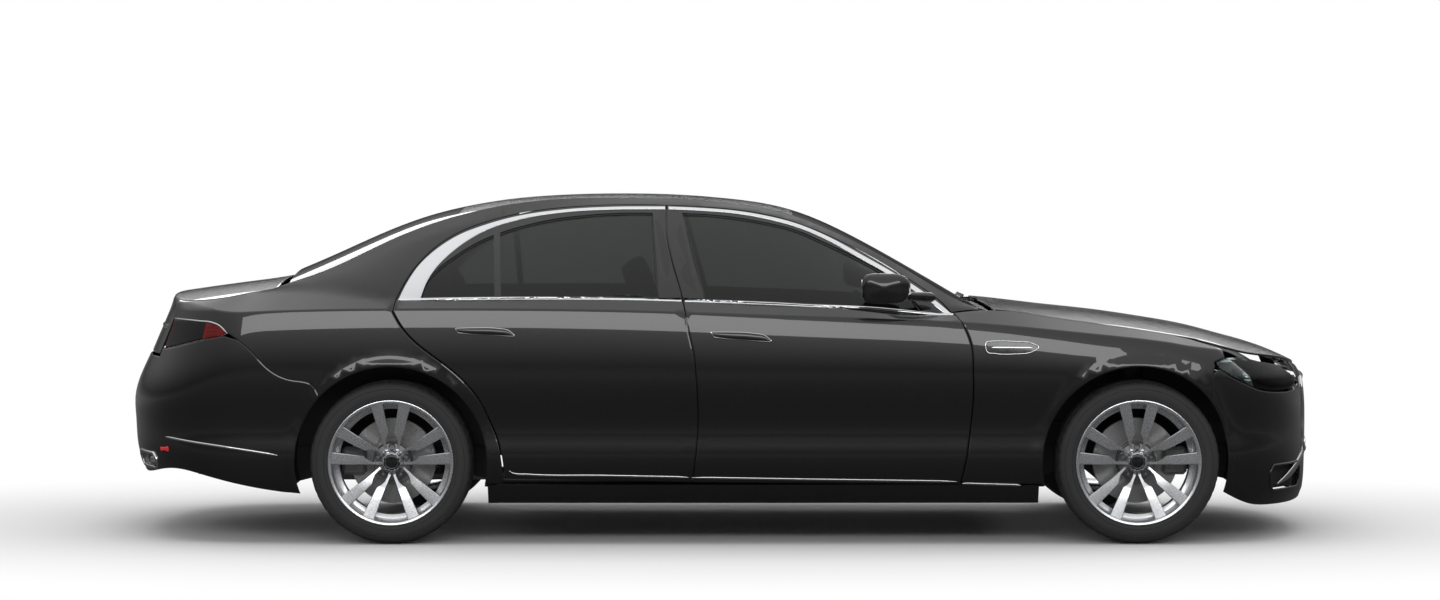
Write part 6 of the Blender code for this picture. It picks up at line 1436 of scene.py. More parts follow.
def build_side_frame(word, side):
    """Windscreen pillar, roof rail, centre pillar and sill."""
    loop, step, _, _ = door_loop(True)
    front_hole = thinned(aperture(loop, step))
    loop, step, _, counts = door_loop(False)
    rear_hole = aperture(loop, step)
    b_part = rear_hole[:counts[0]][::-1]
    top_part = rear_hole[counts[0]:counts[0] + counts[1]]
    top_part = top_part[top_part[:, 0] > RAIL_END_X + 0.015][::-1]
    low_part = rear_hole[sum(counts[:3]):][::-1]
    gap_top = shifted(top_line, -SHUT_GAP)[::-1]
    rail_foot = (RAIL_END_X, float(np.interp(RAIL_END_X, gap_top[:, 0], gap_top[:, 1])))
    outline = joined(straight_run((SILL_REAR_X, SILL_LOW), (SILL_FRONT_X, SILL_LOW), 16),
                     straight_run((SILL_FRONT_X, SILL_HIGH), (BULKHEAD_X + 0.10, SILL_HIGH), 2),
                     straight_run((BULKHEAD_X, SILL_HIGH), (BULKHEAD_X, 0.92), 7),
                     rail_run(1.115, RAIL_END_X), [rail_foot], thinned(np.concatenate([top_part, b_part])),
                     low_part, [(SILL_REAR_X, SILL_HIGH + 0.006)])
    between = np.linspace(-0.08, -0.38, 25)
    lowered = np.interp(between, gap_top[:, 0], gap_top[:, 1]) - 0.4 * SHUT_GAP
    cowl = np.linspace(1.18, 0.99, 24)
    floor_w = SILL_HIGH + 0.0025
    hidden = joined([(-1.3, floor_w), (1.30, floor_w), (1.30, 0.98)],
                    np.stack([cowl, belt_place(cowl) + 0.003], -1),
                    [(0.90, 0.90), (0.90, 0.40), (-0.03, 0.40), (-0.03, lowered[0] - 0.03)],
                    np.stack([between, lowered], -1),
                    [(-0.42, lowered[-1] - 0.03), (-0.42, 0.40), (-1.3, 0.40)])
    name = f"side_frame_{word}"
    shell = fine_panel(f"{name}_skin", outline, side_surface(side), side_frame_depths, zones=[hidden],
                       holes=[front_hole], inward=facing(side), rolled=False)
    put(f"{name}_skin", shell, PAINT, nodes=[name])


def build_wings(word, side):
    """Fender and quarter panel of one side."""
    surface = side_surface(side)
    fender = fine_panel(f"fender_{word}_skin", fender_outline(), surface, even_skin(SKIN),
                        lines=[*crease_lines(0.9, 2.25)])
    put(f"fender_{word}_skin", fender, PAINT, nodes=[f"fender_{word}"])
    quarter = fine_panel(f"quarter_panel_{word}_skin", quarter_outline(), surface, even_skin(SKIN),
                         lines=[*crease_lines(-1.40, -2.30), *belt_lines(-1.40, -1.90)])
    put(f"quarter_panel_{word}_skin", quarter, PAINT, nodes=[f"quarter_panel_{word}"])


for word, side in SIDES:
    build_door("front", word, side)
    build_door("rear", word, side)
    build_side_frame(word, side)
    build_wings(word, side)


# Bumpers, roof, glass, hood and boot lid

def finer(points, spacing=0.03):
    """A run with more points on its straight stretches."""
    points = np.array(points, float)
    found = []
    for a, b in zip(points, points[1:]):
        count = max(1, int(np.hypot(*(b - a)) / spacing))
        found.append(np.linspace(a, b, count, endpoint=False))
    return np.concatenate([*found, points[-1:]])


def closed_finer(loop, spacing=0.03):
    return finer(np.concatenate([loop, loop[:1]]), spacing)[:-1]


def build_front_bumper():
    lamp, split_run, arch, lip, lamp_end, top = front_bumper_outline()
    run = np.concatenate([top, [lamp_end], lamp, split_run[1:], arch[1:], lip[1:]])
    outline = closed_finer(crossing_outline(run))
    holes = [closed_finer(crossing_hole(0, GRILLE_HALF_WIDTH, GRILLE_LOW, GRILLE_HIGH, True), 0.02)]
    for side in (LEFT, RIGHT):
        holes.append(closed_finer(crossing_hole(INTAKE_INNER, INTAKE_OUTER, INTAKE_LOW, INTAKE_HIGH, True, side),
                                  0.02))
    shell = fine_panel("front_bumper_skin", outline, end_surface(True), even_skin(BUMPER_SKIN), holes=holes)
    put("front_bumper_skin", shell, PAINT, nodes=["front_bumper"])
    return holes


def build_rear_bumper():
    bottom = shifted(smooth_run(as_places(TAILLAMP_BOTTOM), 9), SEAT_GAP)
    corner = LID_CORNER
    bottom = bottom[bottom[:, 0] > corner + 0.01][::-1]
    low_split = shifted(smooth_run(as_places(REAR_SPLIT), 8), -SEAT_GAP)
    start = arch_angle(REAR_SPLIT[-1][0], REAR_SPLIT[-1][1], REAR_AXLE_S)
    arch = arc(REAR_AXLE_S, ARCH_RADIUS, start, 180 - math.degrees(
        math.asin((REAR_LIP[0][1] - TYRE_RADIUS) / ARCH_RADIUS)), 14)
    lip = smooth_run(as_places(REAR_LIP), 10)
    under_lid = straight_run((-SIDE_END, BUMPER_TOP), (corner - 0.012, BUMPER_TOP), 7)
    run = np.concatenate([under_lid, [(corner, BUMPER_TOP), (corner, bottom[0][1])],
                          bottom, low_split, arch[1:], lip[1:]])
    holes = []
    for side in (LEFT, RIGHT):
        holes.append(closed_finer(crossing_hole(EXHAUST_INNER, EXHAUST_OUTER, EXHAUST_LOW, EXHAUST_HIGH, False,
                                                side), 0.015))
    shell = fine_panel("rear_bumper_skin", closed_finer(crossing_outline(run)), end_surface(False),
                       even_skin(BUMPER_SKIN), holes=holes)
    put("rear_bumper_skin", shell, PAINT, nodes=["rear_bumper"])
    return holes


def lid_outline():
    corner = LID_CORNER
    places = np.array([s for s in TAIL_PLACES if s > corner + 0.005] + [corner])
    lines = shoulder_lines(places)
    _, _, in_x, in_y, _ = plan_contour(places, lines[2], np.full(len(places), TAIL_TOP_Z))
    apart = SHUT_GAP / 2 + SKIN * np.clip(1.4 - lines[6] / 0.09, 0, 1.3)
    deck_x, deck_y = lines[7] + in_x * apart, lines[8] + in_y * apart
    deck = np.stack([LID_FRONT - deck_x, deck_y], -1)
    share = np.linspace(0, 1, 33)[:-1]
    front = np.stack([np.zeros(32), share * deck[0][1]], -1)
    face = []
    for z in np.linspace(0.985, LID_BOTTOM, 12):
        y = float(side_drawn(np.array([corner]), np.array([z]))[1][0]) - SHUT_GAP - LAMP_SHELL / 2
        face.append((lid_u(y, z), y))
    low = [(lid_u(y, LID_BOTTOM), y) for y in np.linspace(0.55, 0.0, 20)]
    return mirrored_outline(np.concatenate([front, [(0.0, deck[0][1])], deck, face, low]))


def hood_outline():
    side_x = np.array(EDGE_STATIONS)
    edge = np.stack([side_x, BELT_Y(side_x) - SHUT_GAP / 2], -1)
    lines = shoulder_lines(NOSE_PLACES)
    _, _, in_x, in_y, _ = plan_contour(NOSE_PLACES, lines[2], np.full(len(NOSE_PLACES), NOSE_TOP_Z))
    apart = SHUT_GAP / 2 + SKIN * np.clip(1.4 - lines[6] / 0.09, 0, 1.3)
    nose = np.stack([lines[7] + in_x * apart, lines[8] + in_y * apart], -1)
    share = np.linspace(0, 1, 33)[:-1]
    rear = np.stack([np.full(32, HOOD_REAR_X), share * edge[0][1]], -1)
    return mirrored_outline(np.concatenate([rear, edge, nose]))


def build_top():
    roof = glasshouse_outline(ROOF_FRONT_X, ROOF_REAR_X)
    put("roof_skin", fine_panel("roof_skin", roof, glasshouse_surface, even_skin(SKIN), (0.05, 0.05), rolled=False),
        PAINT, nodes=["roof_panel"])
    loop = glasshouse_outline(WINDSCREEN_LOW_X, ROOF_FRONT_X + RAIL_GAP, WINDSCREEN_BOW, 0.0)
    put("windscreen_glass", fine_panel("windscreen_glass", loop, glasshouse_surface, even_skin(GLASS_THICKNESS),
                                       (0.05, 0.05), rolled=False), GLASS, nodes=["windscreen"])
    loop = glasshouse_outline(ROOF_REAR_X - RAIL_GAP, REAR_WINDOW_END_X)
    put("rear_glass", fine_panel("rear_glass", loop, glasshouse_surface, even_skin(GLASS_THICKNESS), (0.05, 0.05),
                                 rolled=False), GLASS, nodes=["rear_window"])
    put("hood_skin", fine_panel("hood_skin", hood_outline(), hood_surface, even_skin(HOOD_SKIN), (0.04, 0.04)),
        PAINT, "hood", ["hood"])
    put("trunk_lid_skin", fine_panel("trunk_lid_skin", lid_outline(), lid_surface, even_skin(LID_SKIN),
                                     (0.03, 0.04)), PAINT, "trunk_lid", ["trunk_lid"])


front_holes = build_front_bumper()
rear_holes = build_rear_bumper()
build_top()


# Ribbons, chrome and trim on the body lines

RIBBON_SHARES = (0.0, 0.0, 0.05, 0.16, 0.34, 0.5, 0.66, 0.84, 0.95, 1.0, 1.0)
RIBBON_LIFTS = (-1.0, 0.35, 0.70, 0.92, 0.99, 1.0, 0.99, 0.92, 0.70, 0.35, -1.0)


def ribbon(name, surface, first, second, rise, sink=0.0015, inward=None):
    """A crowned band between two runs of places on a surface, of equal count."""
    first, second = np.array(first, float), np.array(second, float)
    rise = np.broadcast_to(rise, len(first))
    columns = []
    for share, lift in zip(RIBBON_SHARES, RIBBON_LIFTS):
        uv = first + (second - first) * share
        outer = surface(uv)
        way = inward_ways(surface, uv, outer, inward)
        normal = outward_normals(surface, uv, way)
        height = np.full(len(uv), -sink) if lift < 0 else lift * rise
        columns.append(outer + normal * height[:, None])
    return loft(name, np.array(columns).transpose(1, 0, 2), smooth_angle=60)


def band(centre, width, count=40, power=0.6):
    """Two edges of a band along a run, drawn to a point at both ends."""
    centre = resampled(centre, count)
    ahead = np.gradient(centre, axis=0)
    ahead = ahead / np.linalg.norm(ahead, axis=1, keepdims=True)
    aside = np.stack([-ahead[:, 1], ahead[:, 0]], -1)
    share = np.linspace(0, 1, count)
    ends = np.clip(np.minimum(share, 1 - share) / 0.06, 0.05, 1) ** power
    half = np.broadcast_to(width, count)[:, None] / 2 * ends[:, None]
    return centre + aside * half, centre - aside * half


def resampled(run, count):
    """A smooth run through the points, with evenly spaced points."""
    run = np.array(run, float)
    length = np.concatenate([[0], np.cumsum(np.hypot(*np.diff(run, axis=0).T))])
    fine = np.linspace(0, length[-1], count)
    found = np.zeros((count, run.shape[1]))
    slope = np.gradient(run, length, axis=0)
    place = np.clip(np.searchsorted(length, fine, side="right") - 1, 0, len(run) - 2)
    span = length[place + 1] - length[place]
    t = ((fine - length[place]) / span)[:, None]
    h00, h10 = 2 * t ** 3 - 3 * t ** 2 + 1, t ** 3 - 2 * t ** 2 + t
    h01, h11 = -2 * t ** 3 + 3 * t ** 2, t ** 3 - t ** 2
    found = (h00 * run[place] + h10 * span[:, None] * slope[place]
             + h01 * run[place + 1] + h11 * span[:, None] * slope[place + 1])
    return found


REAR_CHROME_OUTER = ((-1.388, 1.082), (-1.351, 1.180), (-1.302, 1.271), (-1.235, 1.346), (-1.140, 1.416),
                     (-1.018, 1.469), (-0.876, 1.511), (-0.663, 1.541), (-0.484, 1.550), (-0.240, 1.552))
REAR_CHROME_INNER = ((-1.293, 1.084), (-1.267, 1.177), (-1.230, 1.250), (-1.171, 1.322), (-1.103, 1.383),
                     (-1.016, 1.439), (-0.875, 1.489), (-0.662, 1.525), (-0.484, 1.534), (-0.240, 1.536))
FRONT_CHROME_OUTER = ((-0.225, 1.552), (-0.090, 1.546), (0.085, 1.530), (0.201, 1.508), (0.332, 1.471),
                      (0.463, 1.411), (0.609, 1.326), (0.738, 1.247), (0.866, 1.156), (0.945, 1.092),
                      (1.012, 1.024))
FRONT_CHROME_INNER = ((-0.225, 1.536), (-0.090, 1.530), (0.085, 1.514), (0.200, 1.491), (0.328, 1.453),
                      (0.458, 1.392), (0.600, 1.306), (0.727, 1.228), (0.848, 1.140), (0.922, 1.080),
                      (0.985, 1.022))
REAR_BELT = ((-1.378, 1.086), (-1.200, 1.087), (-1.004, 1.0875), (-0.650, 1.087), (-0.301, 1.084), (-0.166, 1.081))
FRONT_BELT = ((-0.151, 1.080), (0.051, 1.076), (0.240, 1.067), (0.408, 1.054), (0.560, 1.049), (0.732, 1.044),
              (0.880, 1.037), (1.006, 1.026))
BELT_WIDTH = 0.0145
SILL_STRIPS = (((-0.906, 0.319), (-0.885, 0.308), (-0.824, 0.303), (-0.500, 0.298), (-0.135, 0.291)),
               ((-0.120, 0.290), (0.300, 0.283), (0.700, 0.277), (1.018, 0.272)))
FENDER_STRIP = ((1.042, 0.2635), (1.150, 0.260), (1.292, 0.2555))
REAR_BUMPER_STRIP = ((-2.535, 0.4505), (-2.400, 0.4405), (-2.160, 0.4190), (-2.000, 0.3985), (-1.903, 0.3835))
REAR_HANDLE = (((-1.136, 0.931), (-1.060, 0.933), (-0.960, 0.931), (-0.905, 0.921), (-0.883, 0.903)),
               ((-1.122, 0.912), (-1.060, 0.906), (-0.980, 0.903), (-0.920, 0.899), (-0.883, 0.897)))
FRONT_HANDLE = (((-0.038, 0.915), (0.038, 0.915), (0.140, 0.910), (0.195, 0.899), (0.219, 0.879)),
                ((-0.024, 0.893), (0.038, 0.886), (0.120, 0.881), (0.180, 0.876), (0.219, 0.874)))
BADGE = ((1.143, 0.874), (1.180, 0.876), (1.269, 0.874), (1.335, 0.868), (1.368, 0.850), (1.335, 0.829),
         (1.269, 0.821), (1.180, 0.823), (1.147, 0.829), (1.139, 0.850))


def closed_run(points, count):
    points = np.array(points, float)
    return resampled(np.concatenate([points, points[:1]]), count + 1)[:-1]


def on_surface(surface, uv, lift, inward=None):
    uv = np.array(uv, float)
    outer = surface(uv)
    way = inward_ways(surface, uv, outer, inward)
    return outer + outward_normals(surface, uv, way) * lift


def add_side_trim(word, side):
    surface = side_surface(side)
    way = facing(side)
    rear, front = f"door_rear_{word}", f"door_front_{word}"
    pieces = [ribbon("t", surface, resampled(REAR_CHROME_OUTER, 90), resampled(REAR_CHROME_INNER, 90), 0.0030,
                     inward=way)]
    low, high = band(REAR_BELT, BELT_WIDTH, 60, 0.0)
    pieces.append(ribbon("t", surface, high, low, 0.0042, inward=way))
    put(f"window_chrome_rear_{word}", merged("window_chrome_rear", pieces), CHROME, rear)
    pieces = [ribbon("t", surface, resampled(FRONT_CHROME_OUTER, 90), resampled(FRONT_CHROME_INNER, 90), 0.0030,
                     inward=way)]
    low, high = band(FRONT_BELT, BELT_WIDTH, 60, 0.0)
    pieces.append(ribbon("t", surface, high, low, 0.0042, inward=way))
    put(f"window_chrome_front_{word}", merged("window_chrome_front", pieces), CHROME, front)
    for run, body, name in ((SILL_STRIPS[0], rear, "sill_strip_rear"), (SILL_STRIPS[1], front, "sill_strip_front"),
                            (FENDER_STRIP, CAR_BODY, "sill_strip_fender")):
        low, high = band(run, 0.0095, 60, 0.5)
        put(f"{name}_{word}", ribbon(name, surface, high, low, 0.0040, inward=way), CHROME, body)
    low, high = band(REAR_BUMPER_STRIP, 0.0110, 60, 0.5)
    put(f"bumper_strip_{word}", ribbon("bumper_strip", surface, high, low, 0.0050), CHROME)
    for (top, bottom), body, name in ((REAR_HANDLE, rear, "handle_rear"), (FRONT_HANDLE, front, "handle_front")):
        top, bottom = resampled(top, 40), resampled(bottom, 40)
        grip = ribbon(name, surface, top, bottom, 0.0100 * np.sin(np.linspace(0.25, math.pi - 0.25, 40)) ** 0.5,
                      inward=way)
        put(f"{name}_{word}", grip, PAINT, body)
        rim = on_surface(surface, np.concatenate([top, bottom[::-1]]), 0.0022, way)
        put(f"{name}_edge_{word}", pipe(name, rim, 0.0028, 8, True), CHROME, body)
    loop = closed_run(BADGE, 64)
    put(f"fender_badge_{word}", pipe("badge", on_surface(surface, loop, 0.0016), 0.0030, 10, True), CHROME)
    middle = loop.mean(axis=0)
    inner = middle + (loop - middle) * 0.97
    put(f"fender_badge_field_{word}", fine_panel("badge_field", inner, surface, even_depth(-0.0012, 0.0005),
                                                 (0.03, 0.02), inward=way, rolled=False), GLOSS_BLACK)
    put(f"fender_badge_bar_{word}", ribbon("badge_bar", surface, *band(((1.165, 0.8485), (1.34, 0.8475)), 0.010, 30),
                                           0.0035), CHROME)


def add_window_details(word, side):
    """Divider and seal of the rear window, seals round both panes."""
    surface = side_surface(side)
    way = facing(side)
    rear, front = f"door_rear_{word}", f"door_front_{word}"
    divider = ribbon("divider", surface, resampled(((-0.972, 1.098), (-0.985, 1.420)), 24),
                     resampled(((-0.944, 1.098), (-0.957, 1.436)), 24), 0.0015, 0.012, inward=way)
    put(f"window_divider_{word}", divider, GLOSS_BLACK, rear)
    for body, front_door in ((rear, False), (front, True)):
        _, _, window, _ = door_loop(front_door)
        ring = closed_finer(inset(window, 0.003), 0.012)
        seal = on_surface(surface, ring, -0.0085, way)
        put(f"seal_{body}", pipe("seal", seal, 0.0045, 8, True), TRIM, body)
    triangle = np.array([(0.868, 1.062), (0.905, 1.057), (0.985, 1.024), (0.930, 1.074), (0.845, 1.140),
                         (0.800, 1.172), (0.838, 1.100)])
    triangle = closed_finer(triangle, 0.02)
    put(f"sail_{word}", fine_panel("sail", triangle, surface, even_depth(-0.0012, 0.0005), (0.03, 0.03), inward=way,
                                   rolled=False), GLOSS_BLACK, front)


def add_black_frames(word, side):
    """Black window frames and centre pillar between the chrome and the panes."""
    surface = side_surface(side)
    way = facing(side)
    for front_door in (True, False):
        _, _, window, _ = door_loop(front_door)
        window = turned_left(window)
        if front_door:
            top = resampled(FRONT_CHROME_INNER, 60)
            edge = shifted(placed(DOOR_SPLIT), SHUT_GAP / 2 + 0.0015)
            sill = np.array([(-0.151, 1.088), (0.240, 1.074), (0.560, 1.056), (0.880, 1.044), (0.962, 1.036)])
        else:
            top = resampled(REAR_CHROME_INNER, 60)[::-1]
            edge = shifted(placed(DOOR_SPLIT), -SHUT_GAP / 2 - 0.0015)
            sill = np.array([(-0.175, 1.088), (-0.301, 1.091), (-0.650, 1.094), (-1.004, 1.0945), (-1.285, 1.094)])
        edge = edge[(edge[:, 1] > 1.09)]
        top_w = 1.534
        high = np.array([(np.interp(w, placed(DOOR_SPLIT)[::-1, 1], placed(DOOR_SPLIT)[::-1, 0])
                          + (0.0050 if front_door else -0.0050), w) for w in np.linspace(top_w, 1.095, 24)])
        if front_door:
            loop = np.concatenate([top[top[:, 0] > high[0][0] + 0.004][::-1], high, sill[1:]])
        else:
            loop = np.concatenate([top[top[:, 0] < high[0][0] - 0.004], sill[1:][::-1], high[::-1]])
        body = f"door_{'front' if front_door else 'rear'}_{word}"
        frame_piece = fine_panel("window_frame", thinned(closed_finer(loop, 0.012), 0.004), surface,
                                 even_depth(-0.0010, 0.0004), (0.06, 0.06), holes=[window], inward=way, rolled=False)
        put(f"window_frame_{body[5:]}", frame_piece, GLOSS_BLACK, body)


for word, side in SIDES:
    add_black_frames(word, side)
    add_side_trim(word, side)
    add_window_details(word, side)


# Wheels

SPOKE_STATIONS = (((-0.0300, 0.0400), (-0.0140, 0.0450), 0.052, 0.018),
                  ((-0.0322, 0.0590), (-0.0222, 0.0630), 0.060, 0.020),
                  ((-0.0385, 0.0830), (-0.0255, 0.0870), 0.069, 0.022),
                  ((-0.0440, 0.1010), (-0.0205, 0.1070), 0.077, 0.024),
                  ((-0.0480, 0.1140), (-0.0120, 0.1230), 0.083, 0.026),
                  ((-0.0635, 0.1660), (-0.0208, 0.1770), 0.096, 0.028),
                  ((-0.0775, 0.2130), (-0.0292, 0.2250), 0.106, 0.028),
                  ((-0.0880, 0.2475), (-0.0358, 0.2600), 0.1135, 0.026))
RIM_PROFILE = ((0.2705, 0.1195), (0.2695, 0.1228), (0.2665, 0.1235), (0.2620, 0.1222), (0.2580, 0.1205),
               (0.2555, 0.1165), (0.2520, 0.1060), (0.2500, 0.0850), (0.2485, 0.0600), (0.2470, 0.0480),
               (0.2330, 0.0430), (0.2290, 0.0405), (0.2280, 0.0350), (0.2290, 0.0000), (0.2350, -0.0500),
               (0.2450, -0.1000), (0.2530, -0.1110), (0.2690, -0.1110), (0.2705, -0.1050), (0.2640, -0.0950),
               (0.2560, -0.0500), (0.2560, 0.0700), (0.2640, 0.1080))
TYRE_OUTLINE = ((0.2675, 0.1090), (0.2700, 0.1180), (0.2750, 0.1215), (0.2820, 0.1238), (0.2920, 0.1258),
                (0.3020, 0.1268), (0.3120, 0.1262), (0.3220, 0.1240), (0.3320, 0.1195), (0.3400, 0.1125),
                (0.3450, 0.1045), (0.3475, 0.0960), (0.3490, 0.0880))


def tyre_mesh():
    """A road tyre: bulged walls, a bead line, four round grooves and cuts across the shoulders."""
    grooves = (0.066, 0.024, -0.024, -0.066)
    tread = []
    for place in np.linspace(0.082, -0.082, 42):
        crown = 0.3520 - 0.0022 * (place / 0.082) ** 2
        tread.append((crown, place))
    profile = [(r, y) for r, y in TYRE_OUTLINE]
    profile += [(r - (0.0065 if min(abs(y - g) for g in grooves) < 0.0046 else 0.0), y) for r, y in tread]
    profile += [(r, -y) for r, y in TYRE_OUTLINE[::-1]]
    profile += [(0.2665, -0.1000), (0.2665, 0.1000)]
    steps = 240
    rings = []
    for k in range(steps):
        angle = 2 * math.pi * k / steps
        ring = []
        for r, y in profile:
            cut = 0.0
            if 0.0745 < abs(y) < 0.1050 and r > 0.344 and k % 5 == 0:
                cut = 0.0045
            if 0.0300 < abs(y) < 0.0600 and r > 0.350 and (k + (3 if y > 0 else 0)) % 8 == 0:
                cut = 0.0045
            ring.append(((r - cut) * math.sin(angle), y, (r - cut) * math.cos(angle)))
        rings.append(ring)
    rings.append(rings[0])
    mesh = loft("tyre", rings, closed_ends=False, smooth_angle=28)
    letters = [turned("t", ((r, 0.1262 - lift), (r + 0.0012, 0.1275 - lift), (r + 0.0024, 0.1262 - lift)), 160)
               for r, lift in ((0.2860, 0.0010), (0.3170, 0.0006))]
    return merged("tyre", [mesh, *letters])


def spoke_mesh(mirrored_side):
    rings = []
    for a, b, face, thick in SPOKE_STATIONS:
        a, b = np.array(a), np.array(b)
        if mirrored_side:
            a, b = a * [-1, 1], b * [-1, 1]
        across_way = b - a
        ring = []
        for share, depth in ((0.0, 0.0050), (0.02, 0.0022), (0.07, 0.0004), (0.5, 0.0), (0.93, 0.0004),
                             (0.98, 0.0022), (1.0, 0.0050), (0.90, thick), (0.5, thick + 0.003), (0.10, thick)):
            point = a + across_way * share
            ring.append((point[0], face - depth, point[1]))
        rings.append(ring)
    return loft("spoke", rings, smooth_angle=32)


def rim_mesh():
    """Rim barrel with its lip and ten blade spokes in five pairs."""
    pieces = [turned("t", RIM_PROFILE, 160, smooth_angle=28)]
    for k in range(SPOKE_PAIRS):
        turn = Matrix.Rotation(2 * math.pi * k / SPOKE_PAIRS, 4, 'Y')
        for other in (False, True):
            pieces.append(transformed(spoke_mesh(other), turn))
    return merged("rim", pieces)


def lobed(name, profile, steps, lobes, depth, smooth_angle=30):
    """A turned profile whose radius waves a few times round."""
    rings = []
    for k in range(steps + 1):
        angle = 2 * math.pi * (k % steps) / steps
        wave = 1 + depth * math.cos(lobes * angle)
        rings.append([(r * wave * math.sin(angle), y, r * wave * math.cos(angle)) for r, y in profile])
    return loft(name, rings, closed_ends=False, smooth_angle=smooth_angle)


def hub_meshes():
    """The dark hub with its bolts, the bright ring and the plain cap."""
    dark = [turned("t", ((0.001, 0.045), (0.040, 0.052), (0.052, 0.050), (0.078, 0.043), (0.084, 0.036),
                         (0.086, 0.000), (0.080, -0.012), (0.001, -0.012)), 64)]
    bolts = []
    for k in range(SPOKE_PAIRS):
        turn = Matrix.Rotation(2 * math.pi * k / SPOKE_PAIRS, 4, 'Y') @ Matrix.Translation((0, 0, 0.0655))
        ring = turned("t", ((0.0105, 0.040), (0.0105, 0.053), (0.0122, 0.0555), (0.0142, 0.0535), (0.0150, 0.040)), 24)
        dark.append(transformed(ring, turn))
        bolt = turned("t", ((0.0005, 0.0505), (0.0060, 0.0505), (0.0070, 0.0490), (0.0075, 0.0420),
                            (0.0005, 0.0420)), 6, smooth_angle=15)
        bolts.append(transformed(bolt, turn))
    ring = lobed("t", ((0.0335, 0.060), (0.0345, 0.0705), (0.0375, 0.0735), (0.0440, 0.0725), (0.0480, 0.0670),
                       (0.0490, 0.0560), (0.0335, 0.0560)), 120, 10, 0.035)
    cap = turned("t", ((0.0005, 0.0715), (0.0180, 0.0712), (0.0290, 0.0700), (0.0330, 0.0680), (0.0340, 0.0600),
                       (0.0005, 0.0600)), 64)
    cap_ring = turned("t", ((0.0265, 0.0700), (0.0275, 0.0722), (0.0290, 0.0722), (0.0298, 0.0698)), 64)
    return merged("hub", dark), merged("bolts", bolts), merged("hub_ring", [ring, cap_ring]), cap


def disc_mesh():
    """A vented brake disc: two plates with short ribs between them, and its bell."""
    pieces = [turned("t", ((0.100, -0.0155), (0.184, -0.0155), (0.185, -0.0165), (0.185, -0.0255), (0.100, -0.0255)),
                     120, smooth_angle=20),
              turned("t", ((0.100, -0.0350), (0.184, -0.0350), (0.185, -0.0360), (0.185, -0.0448), (0.100, -0.0448)),
                     120, smooth_angle=20),
              turned("t", ((0.086, -0.0155), (0.102, -0.0155), (0.102, -0.0448), (0.096, -0.0448), (0.086, -0.0200)),
                     80)]
    for k in range(48):
        turn = Matrix.Rotation(2 * math.pi * k / 48, 4, 'Y')
        pieces.append(transformed(box("t", (-0.0018, -0.0352, 0.110), (0.0018, -0.0253, 0.1835)), turn))
    return merged("disc", pieces)


def add_wheels():
    tyre, rim, disc = tyre_mesh(), rim_mesh(), disc_mesh()
    hub, bolts, ring, cap = hub_meshes()
    for place, x, plane in (("front", FRONT_AXLE_X, WHEEL_PLANE_FRONT), ("rear", REAR_AXLE_X, WHEEL_PLANE_REAR)):
        for word, side in SIDES:
            seat = Matrix.Translation((x, side * plane, TYRE_RADIUS))
            if side < 0:
                seat = seat @ Matrix.Diagonal((-1, -1, 1, 1))
            body = f"wheel_{place}_{word}"
            put(f"tyre_{place}_{word}_road", transformed(tyre, seat), RUBBER, body, [f"tyre_{place}_{word}"])
            put(f"rim_{place}_{word}_alloy", transformed(rim, seat), ALLOY, body, [f"rim_{place}_{word}"])
            put(f"disc_{place}_{word}", transformed(disc, seat), DISC, body, [f"rim_{place}_{word}"])
            put(f"hub_{place}_{word}", transformed(hub, seat), DARK_ALLOY, body, [f"rim_{place}_{word}"])
            put(f"bolts_{place}_{word}", transformed(bolts, seat), STEEL, body, [f"rim_{place}_{word}"])
            put(f"hub_ring_{place}_{word}", transformed(ring, seat), CHROME, body, [f"rim_{place}_{word}"])
            put(f"cap_{place}_{word}", transformed(cap, seat), GLOSS_BLACK, body, [f"rim_{place}_{word}"])


def add_liners():
    """Dark liners over the wheels, from the skin's edge inward."""
    for axle_s, axle_x, inner_y in ((FRONT_AXLE_S, FRONT_AXLE_X, 0.47), (REAR_AXLE_S, REAR_AXLE_X, 0.60)):
        for word, side in SIDES:
            surface = side_surface(side)
            rings = []
            for degrees in np.linspace(-14, 194, 80):
                turn = math.radians(degrees)
                ring = []
                for radius, sink in ((0.4160, 0.009), (0.4240, 0.014), (0.4400, 0.050), (0.4480, None), (0.1200, None),
                                     (0.1200, 0.003), (0.4440, 0.003), (0.4360, 0.052), (0.4200, 0.018)):
                    x, w = radius * math.cos(turn), TYRE_RADIUS + radius * math.sin(turn)
                    skin = abs(surface(np.array([(axle_s + x, w)]))[0][1])
                    y = inner_y if sink is None else skin - sink
                    if sink == 0.003:
                        y = inner_y + sink
                    ring.append((axle_x + x, side * y, w))
                rings.append(ring)
            put(f"liner_{'front' if axle_x > 0 else 'rear'}_{word}", loft("liner", rings, smooth_angle=50), TRIM)


add_wheels()
add_liners()


# Lamps

HEADLAMP_LOOP = ((2.176, 0.783), (2.222, 0.797), (2.272, 0.804), (2.351, 0.804), (2.501, 0.783), (2.684, 0.754),
                 (2.775, 0.722), (2.830, 0.692), (2.800, 0.668), (2.720, 0.656), (2.600, 0.650), (2.489, 0.653),
                 (2.410, 0.664), (2.352, 0.679), (2.290, 0.703), (2.238, 0.726), (2.192, 0.754))
TAILLAMP_LOOP = ((-2.716, 0.958), (-2.622, 0.958), (-2.397, 0.955), (-2.285, 0.950), (-2.238, 0.940),
                 (-2.180, 0.907), (-2.201, 0.900), (-2.360, 0.878), (-2.530, 0.852), (-2.676, 0.836),
                 (-2.716, 0.834))


